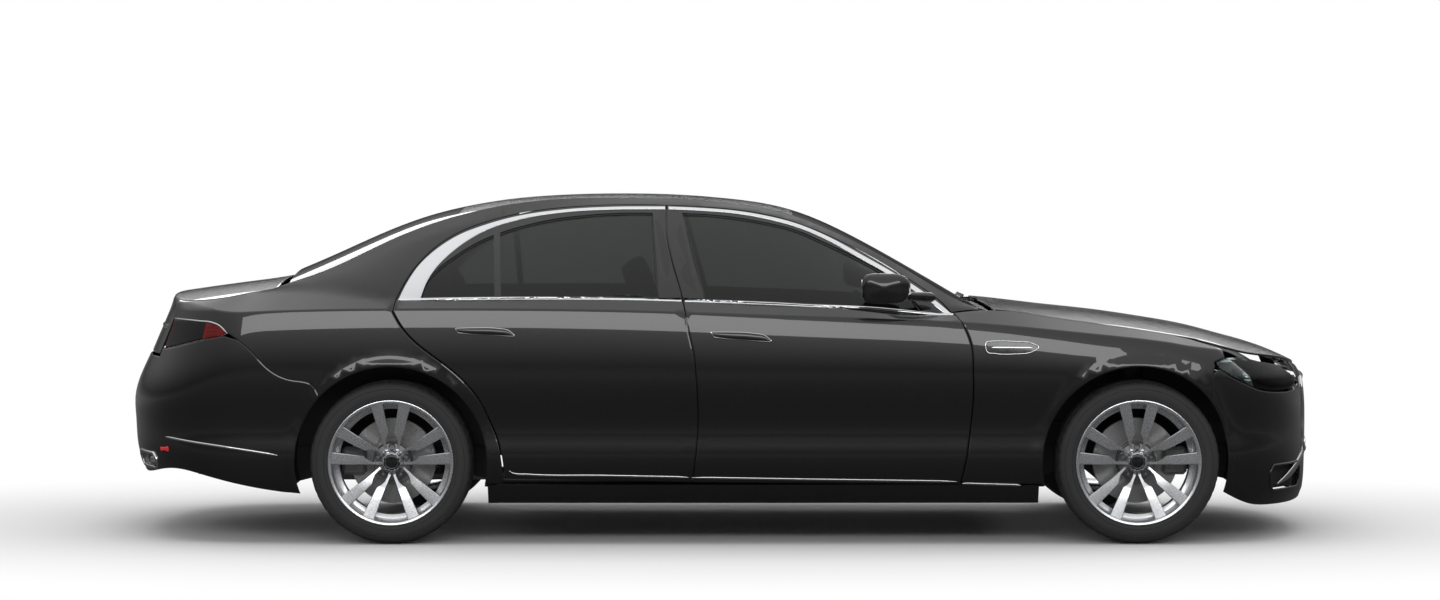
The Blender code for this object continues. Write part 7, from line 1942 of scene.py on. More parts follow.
def deep_bowl(name, surface, loop, depths, inward=None):
    """A dished housing: rings drawn in from an outline, each further under the surface."""
    middle = loop.mean(axis=0)
    rings = []
    for share, depth in depths:
        rings.append(on_surface(surface, middle + (loop - middle) * share, -depth, inward))
    points = np.concatenate(rings)
    count = len(loop)
    faces = []
    for r in range(len(rings) - 1):
        for k in range(count):
            n = (k + 1) % count
            faces.append((r * count + k, r * count + n, (r + 1) * count + n, (r + 1) * count + k))
    points = np.concatenate([points, [rings[-1].mean(axis=0)]])
    for k in range(count):
        faces.append(((len(rings) - 1) * count + k, (len(rings) - 1) * count + (k + 1) % count, len(points) - 1))
    return modified(plain_mesh(name, points, faces, 40), [("SOLIDIFY", {"thickness": 0.0015, "offset": 0.0})])


def lamp_bar(name, surface, run, width, depth, thick, inward=None):
    """A bar inside a lamp that follows a run in the lamp's own outline places."""
    low, high = band(run, width, 40, 0.5)
    rings = []
    for a, b in zip(low, high):
        pair = on_surface(surface, [a, b], -depth, inward)
        deeper = on_surface(surface, [a, b], -(depth + thick), inward)
        middle = (pair[0] + pair[1]) / 2
        lift = on_surface(surface, [(a + b) / 2], -(depth - thick * 0.35), inward)[0]
        rings.append([pair[0], lift if np.linalg.norm(lift - middle) < 0.02 else middle, pair[1], deeper[1],
                      deeper[0]])
    return loft(name, rings, smooth_angle=50)


def fitted(middle, size, points):
    middle = np.array(middle, float)
    return [tuple(middle + np.array(p) * size) for p in points]


HOOK = ((-0.5, 0.45), (0.05, 0.50), (0.42, 0.20), (0.50, -0.10), (0.30, -0.40), (-0.10, -0.50), (-0.5, -0.46))
CHEVRON = ((-0.5, 0.50), (0.0, 0.46), (0.36, 0.16), (0.50, -0.16), (0.34, -0.50))


def add_headlamp(word, side):
    surface = side_surface(side)
    loop = closed_run(HEADLAMP_LOOP, 120)
    shell = fine_panel("lens", clean_inset(loop, 0.0015), surface, even_depth(0.0008, 0.0038), (0.03, 0.02))
    put(f"headlamp_{word}_lens", shell, LENS, nodes=[f"headlamp_{word}"])
    bowl = deep_bowl("bowl", surface, clean_inset(loop, 0.0030), ((1.0, 0.0045), (0.985, 0.030), (0.95, 0.045),
                                                                  (0.80, 0.052), (0.50, 0.055), (0.20, 0.056)))
    put(f"headlamp_{word}_housing", bowl, GLOSS_BLACK, nodes=[f"headlamp_{word}"])
    bright, light = [], []
    for middle, size in (((2.385, 0.732), (0.100, 0.056)), ((2.520, 0.716), (0.100, 0.056)),
                         ((2.655, 0.702), (0.090, 0.046))):
        hook = fitted(middle, size, HOOK)
        light.append(lamp_bar("t", surface, hook, 0.0085, 0.010, 0.006))
        chevron = fitted((middle[0] + size[0] * 0.20, middle[1] + 0.002), (size[0] * 1.06, size[1] * 1.30), CHEVRON)
        bright.append(lamp_bar("t", surface, chevron, 0.011, 0.016, 0.010))
        blade = fitted((middle[0] + size[0] * 0.46, middle[1] - size[1] * 0.46), (0.060, 0.022),
                       ((-0.5, -0.4), (0.0, -0.05), (0.5, 0.5)))
        bright.append(lamp_bar("t", surface, blade, 0.0085, 0.012, 0.008))
        lamp = deep_bowl("t", surface, np.array([(middle[0] - size[0] * 0.08 + size[0] * 0.33 * math.cos(a),
                                                  middle[1] + size[1] * 0.30 * math.sin(a))
                                                 for a in np.linspace(0, 2 * math.pi, 33)[:-1]]),
                         ((1.0, 0.020), (0.92, 0.036), (0.6, 0.044), (0.2, 0.046)))
        bright.append(lamp)
    brow = ((2.215, 0.7885), (2.300, 0.7930), (2.420, 0.7870), (2.520, 0.7700), (2.650, 0.7460), (2.745, 0.7180))
    light.append(lamp_bar("t", surface, brow, 0.0085, 0.008, 0.006))
    tray = ((2.230, 0.745), (2.300, 0.711), (2.370, 0.684), (2.470, 0.665), (2.600, 0.660), (2.740, 0.669))
    bright.append(lamp_bar("t", surface, tray, 0.006, 0.008, 0.006))
    put(f"headlamp_{word}_reflectors", merged("reflectors", bright), CHROME)
    put(f"headlamp_{word}_guides", merged("guides", light), GUIDE)


def add_tail_lamp(word, side):
    surface = side_surface(side)
    loop = closed_run(TAILLAMP_LOOP, 110)
    shell = fine_panel("lens", clean_inset(loop, 0.0012), surface, even_depth(0.0006, 0.0036), (0.03, 0.02))
    put(f"taillamp_{word}_lens", shell, RED_LENS, nodes=[f"taillamp_{word}"])
    bowl = deep_bowl("bowl", surface, clean_inset(loop, 0.0026), ((1.0, 0.0042), (0.985, 0.018), (0.94, 0.026),
                                                                  (0.70, 0.028), (0.35, 0.029)))
    put(f"taillamp_{word}_housing", bowl, REFLECTOR, nodes=[f"taillamp_{word}"])
    chrome_run = ((-2.705, 0.9600), (-2.600, 0.9600), (-2.397, 0.9570), (-2.290, 0.9520), (-2.236, 0.9400),
                  (-2.172, 0.9055))
    high, low = band(chrome_run, 0.0075, 80, 0.5)
    put(f"taillamp_{word}_strip", ribbon("tail_strip", surface, high, low, 0.0030), CHROME)
    red = []
    for w, start, end in ((0.938, -2.690, -2.300), (0.922, -2.690, -2.270), (0.906, -2.690, -2.270),
                          (0.890, -2.690, -2.330), (0.874, -2.690, -2.430)):
        red.append(lamp_bar("t", surface, ((start, w - 0.006), ((start + end) / 2, w), (end, w + 0.001)), 0.0085,
                            0.012, 0.006))
    put(f"taillamp_{word}_elements", merged("elements", red), RED_GLOW)
    pale = [lamp_bar("t", surface, ((-2.695, 0.851), (-2.560, 0.868), (-2.400, 0.890)), 0.009, 0.008, 0.006)]
    put(f"taillamp_{word}_clear_bar", merged("clear_bar", pale), GUIDE)
    spot = closed_run(((-2.600, 0.4040), (-2.560, 0.4055), (-2.520, 0.4040), (-2.520, 0.3930), (-2.560, 0.3920),
                       (-2.600, 0.3930)), 40)
    put(f"side_reflector_{word}", fine_panel("side_reflector", spot, surface, even_depth(-0.0018, 0.0006),
                                             (0.02, 0.01)), RED_PLASTIC)


for word, side in SIDES:
    add_headlamp(word, side)
    add_tail_lamp(word, side)


# Front and rear ends

def hole_bounds(hole):
    return hole.min(axis=0), hole.max(axis=0)


def add_front_end():
    surface = end_surface(True)
    grille, *intakes = front_holes
    low, high = hole_bounds(grille)
    frame = on_surface(surface, clean_inset(grille, 0.004), 0.0010)
    put("grille_frame", pipe("grille_frame", frame, 0.0085, 12, True), CHROME, nodes=["grille"])
    slats = []
    count = 6
    for k in range(count):
        w = low[1] + (high[1] - low[1]) * (k + 0.5) / count
        reach = high[0] - 0.010
        upper = [(t, w + 0.0085) for t in np.linspace(-reach, reach, 60)]
        lower = [(t, w - 0.0085) for t in np.linspace(-reach, reach, 60)]
        rings = []
        for a, b in zip(on_surface(surface, upper, -0.020), on_surface(surface, lower, -0.020)):
            middle = (a + b) / 2
            rings.append([a, (middle[0] + 0.0065, middle[1], middle[2] + 0.001), b,
                          (b[0] - 0.018, b[1], b[2] + 0.003), (a[0] - 0.018, a[1], a[2] - 0.003)])
        slats.append(loft("t", rings, smooth_angle=30))
    for t in (-0.29, -0.145, 0.0, 0.145, 0.29):
        rings = []
        for w in np.linspace(low[1] + 0.004, high[1] - 0.004, 30):
            a = on_surface(surface, [(t - 0.0045, w)], -0.026)[0]
            b = on_surface(surface, [(t + 0.0045, w)], -0.026)[0]
            rings.append([a, b, b - [0.016, 0, 0], a - [0.016, 0, 0]])
        slats.append(loft("t", rings, smooth_angle=30))
    put("grille_slats", merged("grille_slats", slats), CHROME, nodes=["grille"])
    put("grille_backing", honeycomb("grille_backing", surface, clean_inset(grille, 0.006), 0.050, 0.016), TRIM)
    for (word, _), hole in zip(SIDES, intakes):
        put(f"intake_mesh_{word}", honeycomb("intake_mesh", surface, clean_inset(hole, 0.002), 0.026, 0.016), TRIM)
        rim = on_surface(surface, clean_inset(hole, 0.002), 0.0005)
        put(f"intake_frame_{word}", pipe("intake_frame", rim, 0.0050, 10, True), GLOSS_BLACK)
    for word, side in SIDES:
        side_way = side_surface(side)
        top = resampled(((3.300, 0.428), (3.050, 0.395), (2.850, 0.345), (2.700, 0.295), (2.568, 0.246)), 50)
        bottom = resampled(((3.300, 0.400), (3.060, 0.362), (2.860, 0.310), (2.705, 0.262), (2.568, 0.238)), 50)
        put(f"front_blade_{word}", ribbon("front_blade", side_way, top, bottom,
                                          0.0060 * np.sin(np.linspace(0.3, math.pi - 0.3, 50)) ** 0.5), CHROME)


def honeycomb(name, surface, loop, depth, pitch):
    """A dark mesh behind an opening: crossed bars in front of a closed plate."""
    low, high = loop.min(axis=0), loop.max(axis=0)
    pieces = []
    for step in (1, -1):
        reach = high[1] - low[1]
        for start in np.arange(low[0] - reach, high[0], pitch):
            run = np.array([(start, low[1]), (start + reach, high[1])] if step > 0 else
                           [(start, high[1]), (start + reach, low[1])])
            dense = np.stack([np.linspace(run[0][k], run[1][k], 14) for k in (0, 1)], -1)
            dense = dense[inside(dense, loop)]
            if len(dense) > 1:
                pieces.append(pipe("t", on_surface(surface, dense, -depth), 0.0019, 5))
    plate = fine_panel("t", clean_inset(loop, -0.004), surface, even_depth(depth + 0.006, depth + 0.009),
                       (0.05, 0.05), rolled=False)
    return merged(name, [*pieces, plate])


def add_rear_end():
    surface = end_surface(False)
    for (word, _), hole in zip(SIDES, rear_holes):
        ring = on_surface(surface, clean_inset(hole, 0.003), 0.0010)
        put(f"exhaust_trim_{word}", pipe("exhaust_trim", ring, 0.0075, 12, True), CHROME)
        inner = clean_inset(hole, 0.008)
        rings = [on_surface(surface, inner, lift) for lift in (-0.002, -0.030, -0.060)]
        count = len(inner)
        faces = [(r * count + k, r * count + (k + 1) % count, (r + 1) * count + (k + 1) % count, (r + 1) * count + k)
                 for r in range(2) for k in range(count)]
        tube = plain_mesh("exhaust_outlet", np.concatenate(rings), faces, 40)
        put(f"exhaust_outlet_{word}", modified(tube, [("SOLIDIFY", {"thickness": 0.002, "offset": 0.0})]), STEEL)
    strip_w = 0.930
    rings = []
    for y in np.linspace(-0.560, 0.560, 70):
        uv = np.array([(lid_u(y, strip_w), y), (lid_u(y, strip_w - 0.016), y)])
        a, b = on_surface(lid_surface, uv, 0.0005)
        middle = on_surface(lid_surface, [uv.mean(axis=0)], 0.0045)[0]
        back = on_surface(lid_surface, uv, -0.0030)
        rings.append([a, middle, b, back[1], back[0]])
    put("lid_strip", loft("lid_strip", rings, smooth_angle=50), CHROME, "trunk_lid")


def add_cowl():
    """Dark cover at the foot of the windscreen, with two wipers parked on it."""
    rings = []
    for y in np.linspace(-0.66, 0.66, 80):
        bow = WINDSCREEN_BOW * (1 - (y / 0.70) ** 2)
        front, back = 1.178, WINDSCREEN_LOW_X + bow - 0.006
        a = hood_surface(np.array([(1.192, y)]))[0]
        b = glasshouse_surface(np.array([(back, y)]))[0]
        rings.append([(front, y, a[2] - 0.022), ((front + back) / 2, y, (a[2] + b[2]) / 2 - 0.014),
                      (back + 0.004, y, b[2] - 0.004), (back + 0.004, y, b[2] - 0.012),
                      (front, y, a[2] - 0.032)])
    put("cowl_cover", loft("cowl_cover", rings, smooth_angle=50), TRIM)
    for number, (pivot_y, tip_y) in enumerate(((0.56, -0.03), (-0.06, -0.60))):
        blade, arm = [], []
        for share in np.linspace(0, 1, 16):
            y = pivot_y + (tip_y - pivot_y) * share
            x = WINDSCREEN_LOW_X + WINDSCREEN_BOW * (1 - (y / 0.70) ** 2) - 0.020 - 0.030 * share
            blade.append(on_surface(glasshouse_surface, [(x, y)], 0.0075)[0])
            arm.append(on_surface(glasshouse_surface, [(x + 0.012 - 0.010 * share, y)], 0.0160)[0])
        put(f"wiper_{number + 1}", merged("wiper", [pipe("t", blade[2:], 0.0042, 8), pipe("t", arm[:10], 0.0050, 8)]),
            TRIM)


add_front_end()
add_rear_end()
add_cowl()


# Cabin

def crowned(name, half, power=0.38, plan=0.30, count=(64, 30), channels=(), seams=(), bolster=0.0):
    """A crowned closed cushion about its middle, with sewn channels across it and seams along it."""
    a, b, h = half
    points, faces = [], []
    across_count, up_count = count
    for j in range(1, up_count):
        tilt = -math.pi / 2 + math.pi * j / up_count
        cos_up = math.cos(tilt) ** power
        sin_up = math.copysign(abs(math.sin(tilt)) ** power, math.sin(tilt))
        for i in range(across_count):
            turn = 2 * math.pi * i / across_count
            x = math.copysign(abs(math.cos(turn)) ** plan, math.cos(turn)) * cos_up
            y = math.copysign(abs(math.sin(turn)) ** plan, math.sin(turn)) * cos_up
            crown = 1.0 - 0.22 * (x * x + y * y) if tilt > 0 else 1.0
            lift = sin_up * crown
            points.append([a * x, b * y, h * lift])
    first, last = len(points), len(points) + 1
    points += [[0, 0, -h], [0, 0, h]]
    for j in range(up_count - 2):
        for i in range(across_count):
            n = (i + 1) % across_count
            faces.append((j * across_count + i, j * across_count + n, (j + 1) * across_count + n,
                          (j + 1) * across_count + i))
    top = (up_count - 2) * across_count
    for i in range(across_count):
        n = (i + 1) % across_count
        faces.append((n, i, first))
        faces.append((top + i, top + n, last))
    mesh = plain_mesh(name, points, faces, 60, 1)
    for vertex in mesh.vertices:
        x, y, z = vertex.co
        if z > 0.25 * h:
            sink = 0.0
            for place in channels:
                sink += 0.0075 * math.exp(-((x / a - place) * a / 0.0095) ** 2) * (abs(y) < b * 0.66)
            for place in seams:
                sink += 0.0085 * math.exp(-((abs(y) / b - place) * b / 0.0090) ** 2)
            rise = bolster * smooth_share((abs(y) / b - 0.66) / 0.20) * (1 - smooth_share((abs(y) / b - 0.92) / 0.10))
            vertex.co.z = z + rise - sink
    return mesh


def smooth_share(t):
    t = min(max(t, 0.0), 1.0)
    return t * t * (3 - 2 * t)


def seat_pieces(name, centre_y, half, base_x, floor, cushion_z, cushion_length, back_height, lean, heads, nodes):
    """Seat base, cushion, back and head restraints."""
    base = float(along(base_x))
    z = float(up(cushion_z))
    low = float(up(floor))
    seams = (0.64,) if half < 0.4 else (0.33, 0.36, 0.94)
    cushion = crowned("cushion", (cushion_length / 2 + 0.045, half - 0.006, 0.072), channels=(-0.45, -0.15, 0.15, 0.45),
                      seams=seams, bolster=0.018 if half < 0.4 else 0.0)
    place = Matrix.Translation((base - cushion_length / 2 + 0.025, centre_y, z - 0.062)) @ Matrix.Rotation(
        math.radians(-3), 4, 'Y')
    thing = put(f"{name}_cushion", transformed(cushion, place), LEATHER, nodes=nodes)
    seat = Matrix.Translation((base - cushion_length + 0.03, centre_y, z - 0.02)) @ Matrix.Rotation(
        math.radians(-lean), 4, 'Y')
    back = crowned("back", (back_height / 2 + 0.045, half - 0.010, 0.070), channels=(-0.5, -0.2, 0.1, 0.4),
                   seams=seams, bolster=0.020 if half < 0.4 else 0.0)
    face = Matrix.Translation((0, 0, back_height / 2 - 0.03)) @ Matrix.Rotation(math.radians(90), 4, 'Y')
    thing = put(f"{name}_back", transformed(back, seat @ face), LEATHER, nodes=nodes)
    posts = []
    for number, head_y in enumerate(heads):
        head = crowned("head", (0.092, 0.132, 0.050), 0.45, 0.42, (48, 24), seams=(0.70,))
        centre = Matrix.Translation((0.006, head_y - centre_y, back_height + 0.092)) @ Matrix.Rotation(
            math.radians(90), 4, 'Y')
        thing = put(f"{name}_headrest_{number + 1}", transformed(head, seat @ centre), LEATHER, nodes=nodes)
        for offset in (-0.055, 0.055):
            start = seat @ Vector((-0.004, head_y - centre_y + offset, back_height - 0.06))
            end = seat @ Vector((-0.004, head_y - centre_y + offset, back_height + 0.06))
            posts.append(rod("t", start, end, 0.0062, 16))
    put(f"{name}_posts", merged("posts", posts), CHROME, nodes=nodes)
    plinth = box("plinth", (base - cushion_length * 0.85, centre_y - half * 0.72, low + 0.0006),
                 (base + 0.01, centre_y + half * 0.72, z - 0.115), 0.018, 4)
    rails = [box("t", (base - cushion_length * 0.95, centre_y + offset - 0.020, low + 0.0006),
                 (base + 0.05, centre_y + offset + 0.020, low + 0.034), 0.005, 2)
             for offset in (-half * 0.82, half * 0.82)] if half < 0.4 else []
    put(f"{name}_base", merged("seat_base", [plinth, *rails]), PLASTIC, nodes=nodes)


def add_dashboard():
    """Dashboard pad, console, cluster, centre screen and vents."""
    profile = ((1.168, 0.62), (1.168, 0.905), (1.09, 0.928), (1.01, 0.936), (0.90, 0.940), (0.80, 0.934), (0.745, 0.915),
               (0.715, 0.885), (0.704, 0.845), (0.712, 0.800), (0.735, 0.740), (0.790, 0.665), (0.88, 0.62))
    rings = []
    for share in np.linspace(-1, 1, 49):
        y = 0.752 * share
        bow = 0.022 * (1 - share * share)
        rings.append([(float(along(x)) - (bow if x < 1.0 else 0.0) * (0.8 if z > 0.8 else 0.3), y, float(up(z)))
                      for x, z in profile])
    put("dash_pad", loft("dash_pad", rings, smooth_angle=35), LEATHER, nodes=["dashboard"])
    console_profile = ((-0.42, 0.385), (-0.42, 0.585), (-0.40, 0.600), (-0.10, 0.607), (0.20, 0.607), (0.42, 0.612),
                       (0.60, 0.655), (0.74, 0.720), (0.85, 0.700), (0.85, 0.385))
    rings = []
    for y, drop in ((-0.113, 0.018), (-0.108, 0.006), (-0.096, 0.0), (0.0, -0.003), (0.096, 0.0), (0.108, 0.006),
                    (0.113, 0.018)):
        rings.append([(float(along(x)), y, float(up(z)) - (drop if z > 0.5 else 0)) for x, z in console_profile])
    put("console", loft("console", rings, smooth_angle=35), PLASTIC, nodes=["dashboard"])
    lid = crowned("lid", (0.17, 0.088, 0.024), 0.45, 0.35, (40, 20), seams=(0.86,))
    thing = put("console_lid", transformed(lid, Matrix.Translation((-0.20, 0, float(up(0.618))))), LEATHER,
                nodes=["dashboard"])
    screen = box("screen", (-0.006, -0.150, -0.115), (0.006, 0.150, 0.115), 0.006, 3)
    tilt = Matrix.Translation((float(along(0.655)), 0, float(up(0.810)))) @ Matrix.Rotation(math.radians(-22), 4, 'Y')
    put("centre_screen", transformed(screen, tilt), GLOSS_BLACK, nodes=["dashboard"])
    binnacle = []
    for y in np.linspace(-0.185, 0.185, 25):
        arch_z = 0.026 * (1 - (y / 0.20) ** 4)
        binnacle.append([(float(along(0.712)), 0.40 + y, float(up(0.925)) + arch_z),
                         (float(along(0.705)), 0.40 + y, float(up(0.936)) + arch_z),
                         (float(along(0.80)), 0.40 + y, float(up(0.940)) + arch_z * 0.7),
                         (float(along(0.86)), 0.40 + y, float(up(0.930))),
                         (float(along(0.80)), 0.40 + y, float(up(0.925)))])
    put("binnacle", loft("binnacle", binnacle, smooth_angle=35), LEATHER, nodes=["dashboard"])
    cluster = box("cluster", (-0.005, -0.150, -0.050), (0.005, 0.150, 0.050), 0.005, 3)
    tilt = Matrix.Translation((float(along(0.700)), 0.40, float(up(0.890)))) @ Matrix.Rotation(math.radians(-15), 4, 'Y')
    put("cluster", transformed(cluster, tilt), GLOSS_BLACK, nodes=["dashboard"])
    vents = []
    quarter = Matrix.Rotation(math.radians(90), 4, 'Z')
    for y in (-0.66, -0.115, 0.115, 0.66):
        ring = turned("t", ((0.024, -0.004), (0.024, 0.012), (0.028, 0.016), (0.036, 0.014), (0.038, -0.004)), 40)
        fins = [box("t", (-0.027, 0.000, k * 0.012 - 0.0015), (0.027, 0.010, k * 0.012 + 0.0015)) for k in (-1, 0, 1)]
        where = Matrix.Translation((float(along(0.703)), y, float(up(0.868)))) @ quarter
        vents += [transformed(piece, where) for piece in (ring, *fins)]
    put("vents", merged("vents", vents), CHROME, nodes=["dashboard"])


def add_steering_wheel():
    low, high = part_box("steering_wheel")
    centre = Matrix.Translation(((low[0] + high[0]) / 2, 0.400, (low[2] + high[2]) / 2))
    seat = centre @ Matrix.Rotation(math.radians(24), 4, 'Y') @ Matrix.Rotation(math.radians(90), 4, 'Z')
    ring = [(0.185 + 0.0145 * math.cos(a), 0.0165 * math.sin(a)) for a in np.linspace(0, 2 * math.pi, 21)[:-1]]
    rim = turned("t", ring, 96, smooth_angle=60)
    put("steering_rim", transformed(rim, seat), LEATHER, nodes=["steering_wheel"])
    hub = crowned("t", (0.070, 0.058, 0.024), 0.5, 0.5, (40, 20))
    hub = transformed(hub, Matrix.Translation((0, -0.010, 0)) @ Matrix.Rotation(math.radians(90), 4, 'X'))
    bars = []
    for degrees in (90, 270, 180):
        turn = Matrix.Rotation(math.radians(degrees), 4, 'Y')
        bars.append(transformed(box("t", (-0.017, -0.012, 0.045), (0.017, 0.004, 0.176), 0.005, 3), turn))
    put("steering_hub", transformed(merged("t", [hub, *bars]), seat), PLASTIC, nodes=["steering_wheel"])
    front = seat @ Vector((0, 0.0, 0))
    back = seat @ Vector((0, 0.0, 0)) + Vector((0.17, 0, -0.076))
    put("steering_column", rod("t", front, back, 0.034, 32), PLASTIC, nodes=["dashboard"])


def add_door_cards(word, side):
    """Trimmed inner panel, armrest and pull of each door."""
    surface = side_surface(side)
    way = facing(side)
    for place, low_s, high_s, arm in (("front", 0.02, 0.96, (0.12, 0.74)), ("rear", -0.90, -0.22, (-0.84, -0.30))):
        body = f"door_{place}_{word}"
        loop = closed_run(((low_s, 0.34), ((low_s + high_s) / 2, 0.33), (high_s, 0.34), (high_s, 0.66), (high_s, 0.93),
                           ((low_s + high_s) / 2, 0.965), (low_s, 0.965), (low_s, 0.66)), 80)
        card = fine_panel("card", loop, surface, even_depth(CARD_DEPTH, CARD_DEPTH + 0.004), (0.05, 0.05), inward=way)
        put(f"door_card_{place}_{word}", card, LEATHER, body)
        rings = []
        for s in np.linspace(*arm, 30):
            outer = surface(np.array([(s, 0.74)]))[0]
            y = outer[1] - side * (CARD_DEPTH + 0.003)
            inner = y - side * 0.052
            rings.append([(outer[0], y, outer[2] + 0.030), (outer[0], inner + side * 0.012, outer[2] + 0.030),
                          (outer[0], inner, outer[2] + 0.016), (outer[0], inner + side * 0.004, outer[2] - 0.020),
                          (outer[0], y, outer[2] - 0.034)])
        put(f"armrest_{place}_{word}", loft("armrest", rings, smooth_angle=50), PLASTIC, body)
        start, end = surface(np.array([(arm[0] + 0.10, 0.86)]))[0], surface(np.array([(arm[0] + 0.24, 0.86)]))[0]
        offset = Vector((0, -side * (CARD_DEPTH + 0.014), 0))
        put(f"door_pull_{place}_{word}", rod("t", Vector(start) + offset, Vector(end) + offset, 0.007, 16), CHROME,
            body)


def add_belts(word, side):
    """The belt of each front seat, from the pillar to the seat's foot."""
    rings = []
    for share in np.linspace(0, 1, 24):
        x, z = -0.25 + 0.03 * share, 1.22 - 0.72 * share
        y = side * (0.700 - 0.012 * math.sin(math.pi * share))
        rings.append([(x - 0.023, y, z), (x + 0.023, y, z), (x + 0.023, y - side * 0.0015, z),
                      (x - 0.023, y - side * 0.0015, z)])
    put(f"belt_{word}", loft("belt", rings, smooth_angle=30), TRIM)


def mirror_meshes(surface, side):
    """Door mirror: its rounded housing."""
    rings = []
    for share in np.linspace(0, 1, 22):
        y = 0.948 + 0.182 * share
        end = max(0.0, (share - 0.80) / 0.20)
        size = math.sqrt(max(0.0, 1 - end ** 2.2)) * (0.80 + 0.20 * smooth_share(share / 0.35))
        size = max(size, 0.10)
        x = 0.716 - 0.022 * share
        z = 1.104 + 0.004 * share
        ring = []
        for k in range(48):
            turn = 2 * math.pi * k / 48
            c, s = math.cos(turn), math.sin(turn)
            power = 0.62 if c > 0 else 0.42
            ring.append((x + (0.106 if c > 0 else 0.098) * size * math.copysign(abs(c) ** power, c), side * y,
                         z + 0.064 * size * math.copysign(abs(s) ** 0.66, s)))
        rings.append(ring)
    shell = loft("mirror_shell", rings, smooth_angle=50)
    return shell


def add_mirror(word, side):
    surface = side_surface(side)
    shell = mirror_meshes(surface, side)
    finishes = [PAINT, GLOSS_BLACK, GUIDE]
    body = f"door_front_{word}"
    put(f"mirror_{word}_shell", shell, finishes, body, [f"mirror_{word}"])
    for polygon in shell.polygons:
        z = polygon.center[2]
        if z < 1.0825:
            polygon.material_index = 1
    edge = []
    for share in np.linspace(0.05, 0.80, 30):
        y = 0.948 + 0.182 * share
        size = 0.80 + 0.20 * smooth_share(share / 0.35)
        edge.append((0.716 - 0.022 * share + 0.1045 * size, side * y, 1.0845))
    put(f"mirror_{word}_light", pipe("mirror_light", edge, 0.0042, 8), GUIDE, body)
    low, high = 0.99, 1.118
    pane = []
    for y in (low, high):
        pane.append([(0.612 - 0.010 * (y - low) / (high - low), side * y, z) for z in (1.062, 1.146)])
    glass = plain_mesh("mirror_pane", [*pane[0], *pane[1]], [(0, 1, 3, 2)], 20)
    glass = modified(glass, [("SOLIDIFY", {"thickness": 0.003, "offset": 0.0}), ("BEVEL", {"width": 0.0012,
                                                                                         "segments": 2})])
    put(f"mirror_{word}_glass", glass, MIRROR, body)
    foot = []
    for share in np.linspace(0, 1, 16):
        y = 0.892 + 0.075 * share
        x = 0.898 - 0.150 * share ** 1.3
        z = 1.062 + 0.012 * share
        thick = 0.016 + 0.006 * (1 - share)
        wide = 0.032 + 0.030 * share
        foot.append([(x + wide * math.cos(a), side * y, z + thick * math.sin(a)) for a in
                     np.linspace(0, 2 * math.pi, 25)[:-1]])
    put(f"mirror_{word}_arm", loft("mirror_arm", foot, smooth_angle=60), GLOSS_BLACK, body)


CARD_DEPTH = DOOR_DEPTH + 0.0006
FLOOR_TOP = 0.2003
seat_pieces("seat_front_left", 0.400, 0.265, 0.320, FLOOR_TOP, 0.520, 0.50, 0.560, 20, [0.400], ["seat_front_left"])
seat_pieces("seat_front_right", -0.400, 0.265, 0.320, FLOOR_TOP, 0.520, 0.50, 0.560, 20, [-0.400], ["seat_front_right"])
seat_pieces("rear_seat", 0.0, 0.640, -0.510, 0.4003, 0.545, 0.52, 0.500, 24, [-0.36, 0.36], ["rear_seat"])
add_dashboard()
add_steering_wheel()
for word, side in SIDES:
    add_door_cards(word, side)
    add_belts(word, side)
    add_mirror(word, side)


# Finishes of the CAD nodes that stay

KEPT_FINISHES = (("floor_pan", "UNDERBODY"), ("bulkhead", "UNDERBODY"), ("front_subframe", "UNDERBODY"),
                 ("front_rails", "UNDERBODY"), ("rear_axle", "IRON"), ("rear_shelf", "PLASTIC"),
                 ("exhaust", "STEEL"), ("engine", "IRON"), ("knuckle", "IRON"), ("side_frame", "TRIM"),
                 ("strut", "IRON"), ("brake", "DISC"))
FINISHES = {"UNDERBODY": UNDERBODY, "IRON": IRON, "PLASTIC": PLASTIC, "STEEL": STEEL, "TRIM": TRIM, "DISC": DISC}


def dress_kept_nodes():
    for thing in bpy.context.scene.objects:
        if thing.name not in NODE_NAMES or not thing.material_slots:
            continue
        finish = UNDERBODY
        for start, word in KEPT_FINISHES:
            if thing.name.startswith(start):
                finish = FINISHES[word]
        for slot in thing.material_slots:
            slot.material = finish


NODE_NAMES = {node for nodes in frame["record"]["behaviour"]["bodies"].values() for node in nodes}
dress_kept_nodes()


# Floor, light and camera

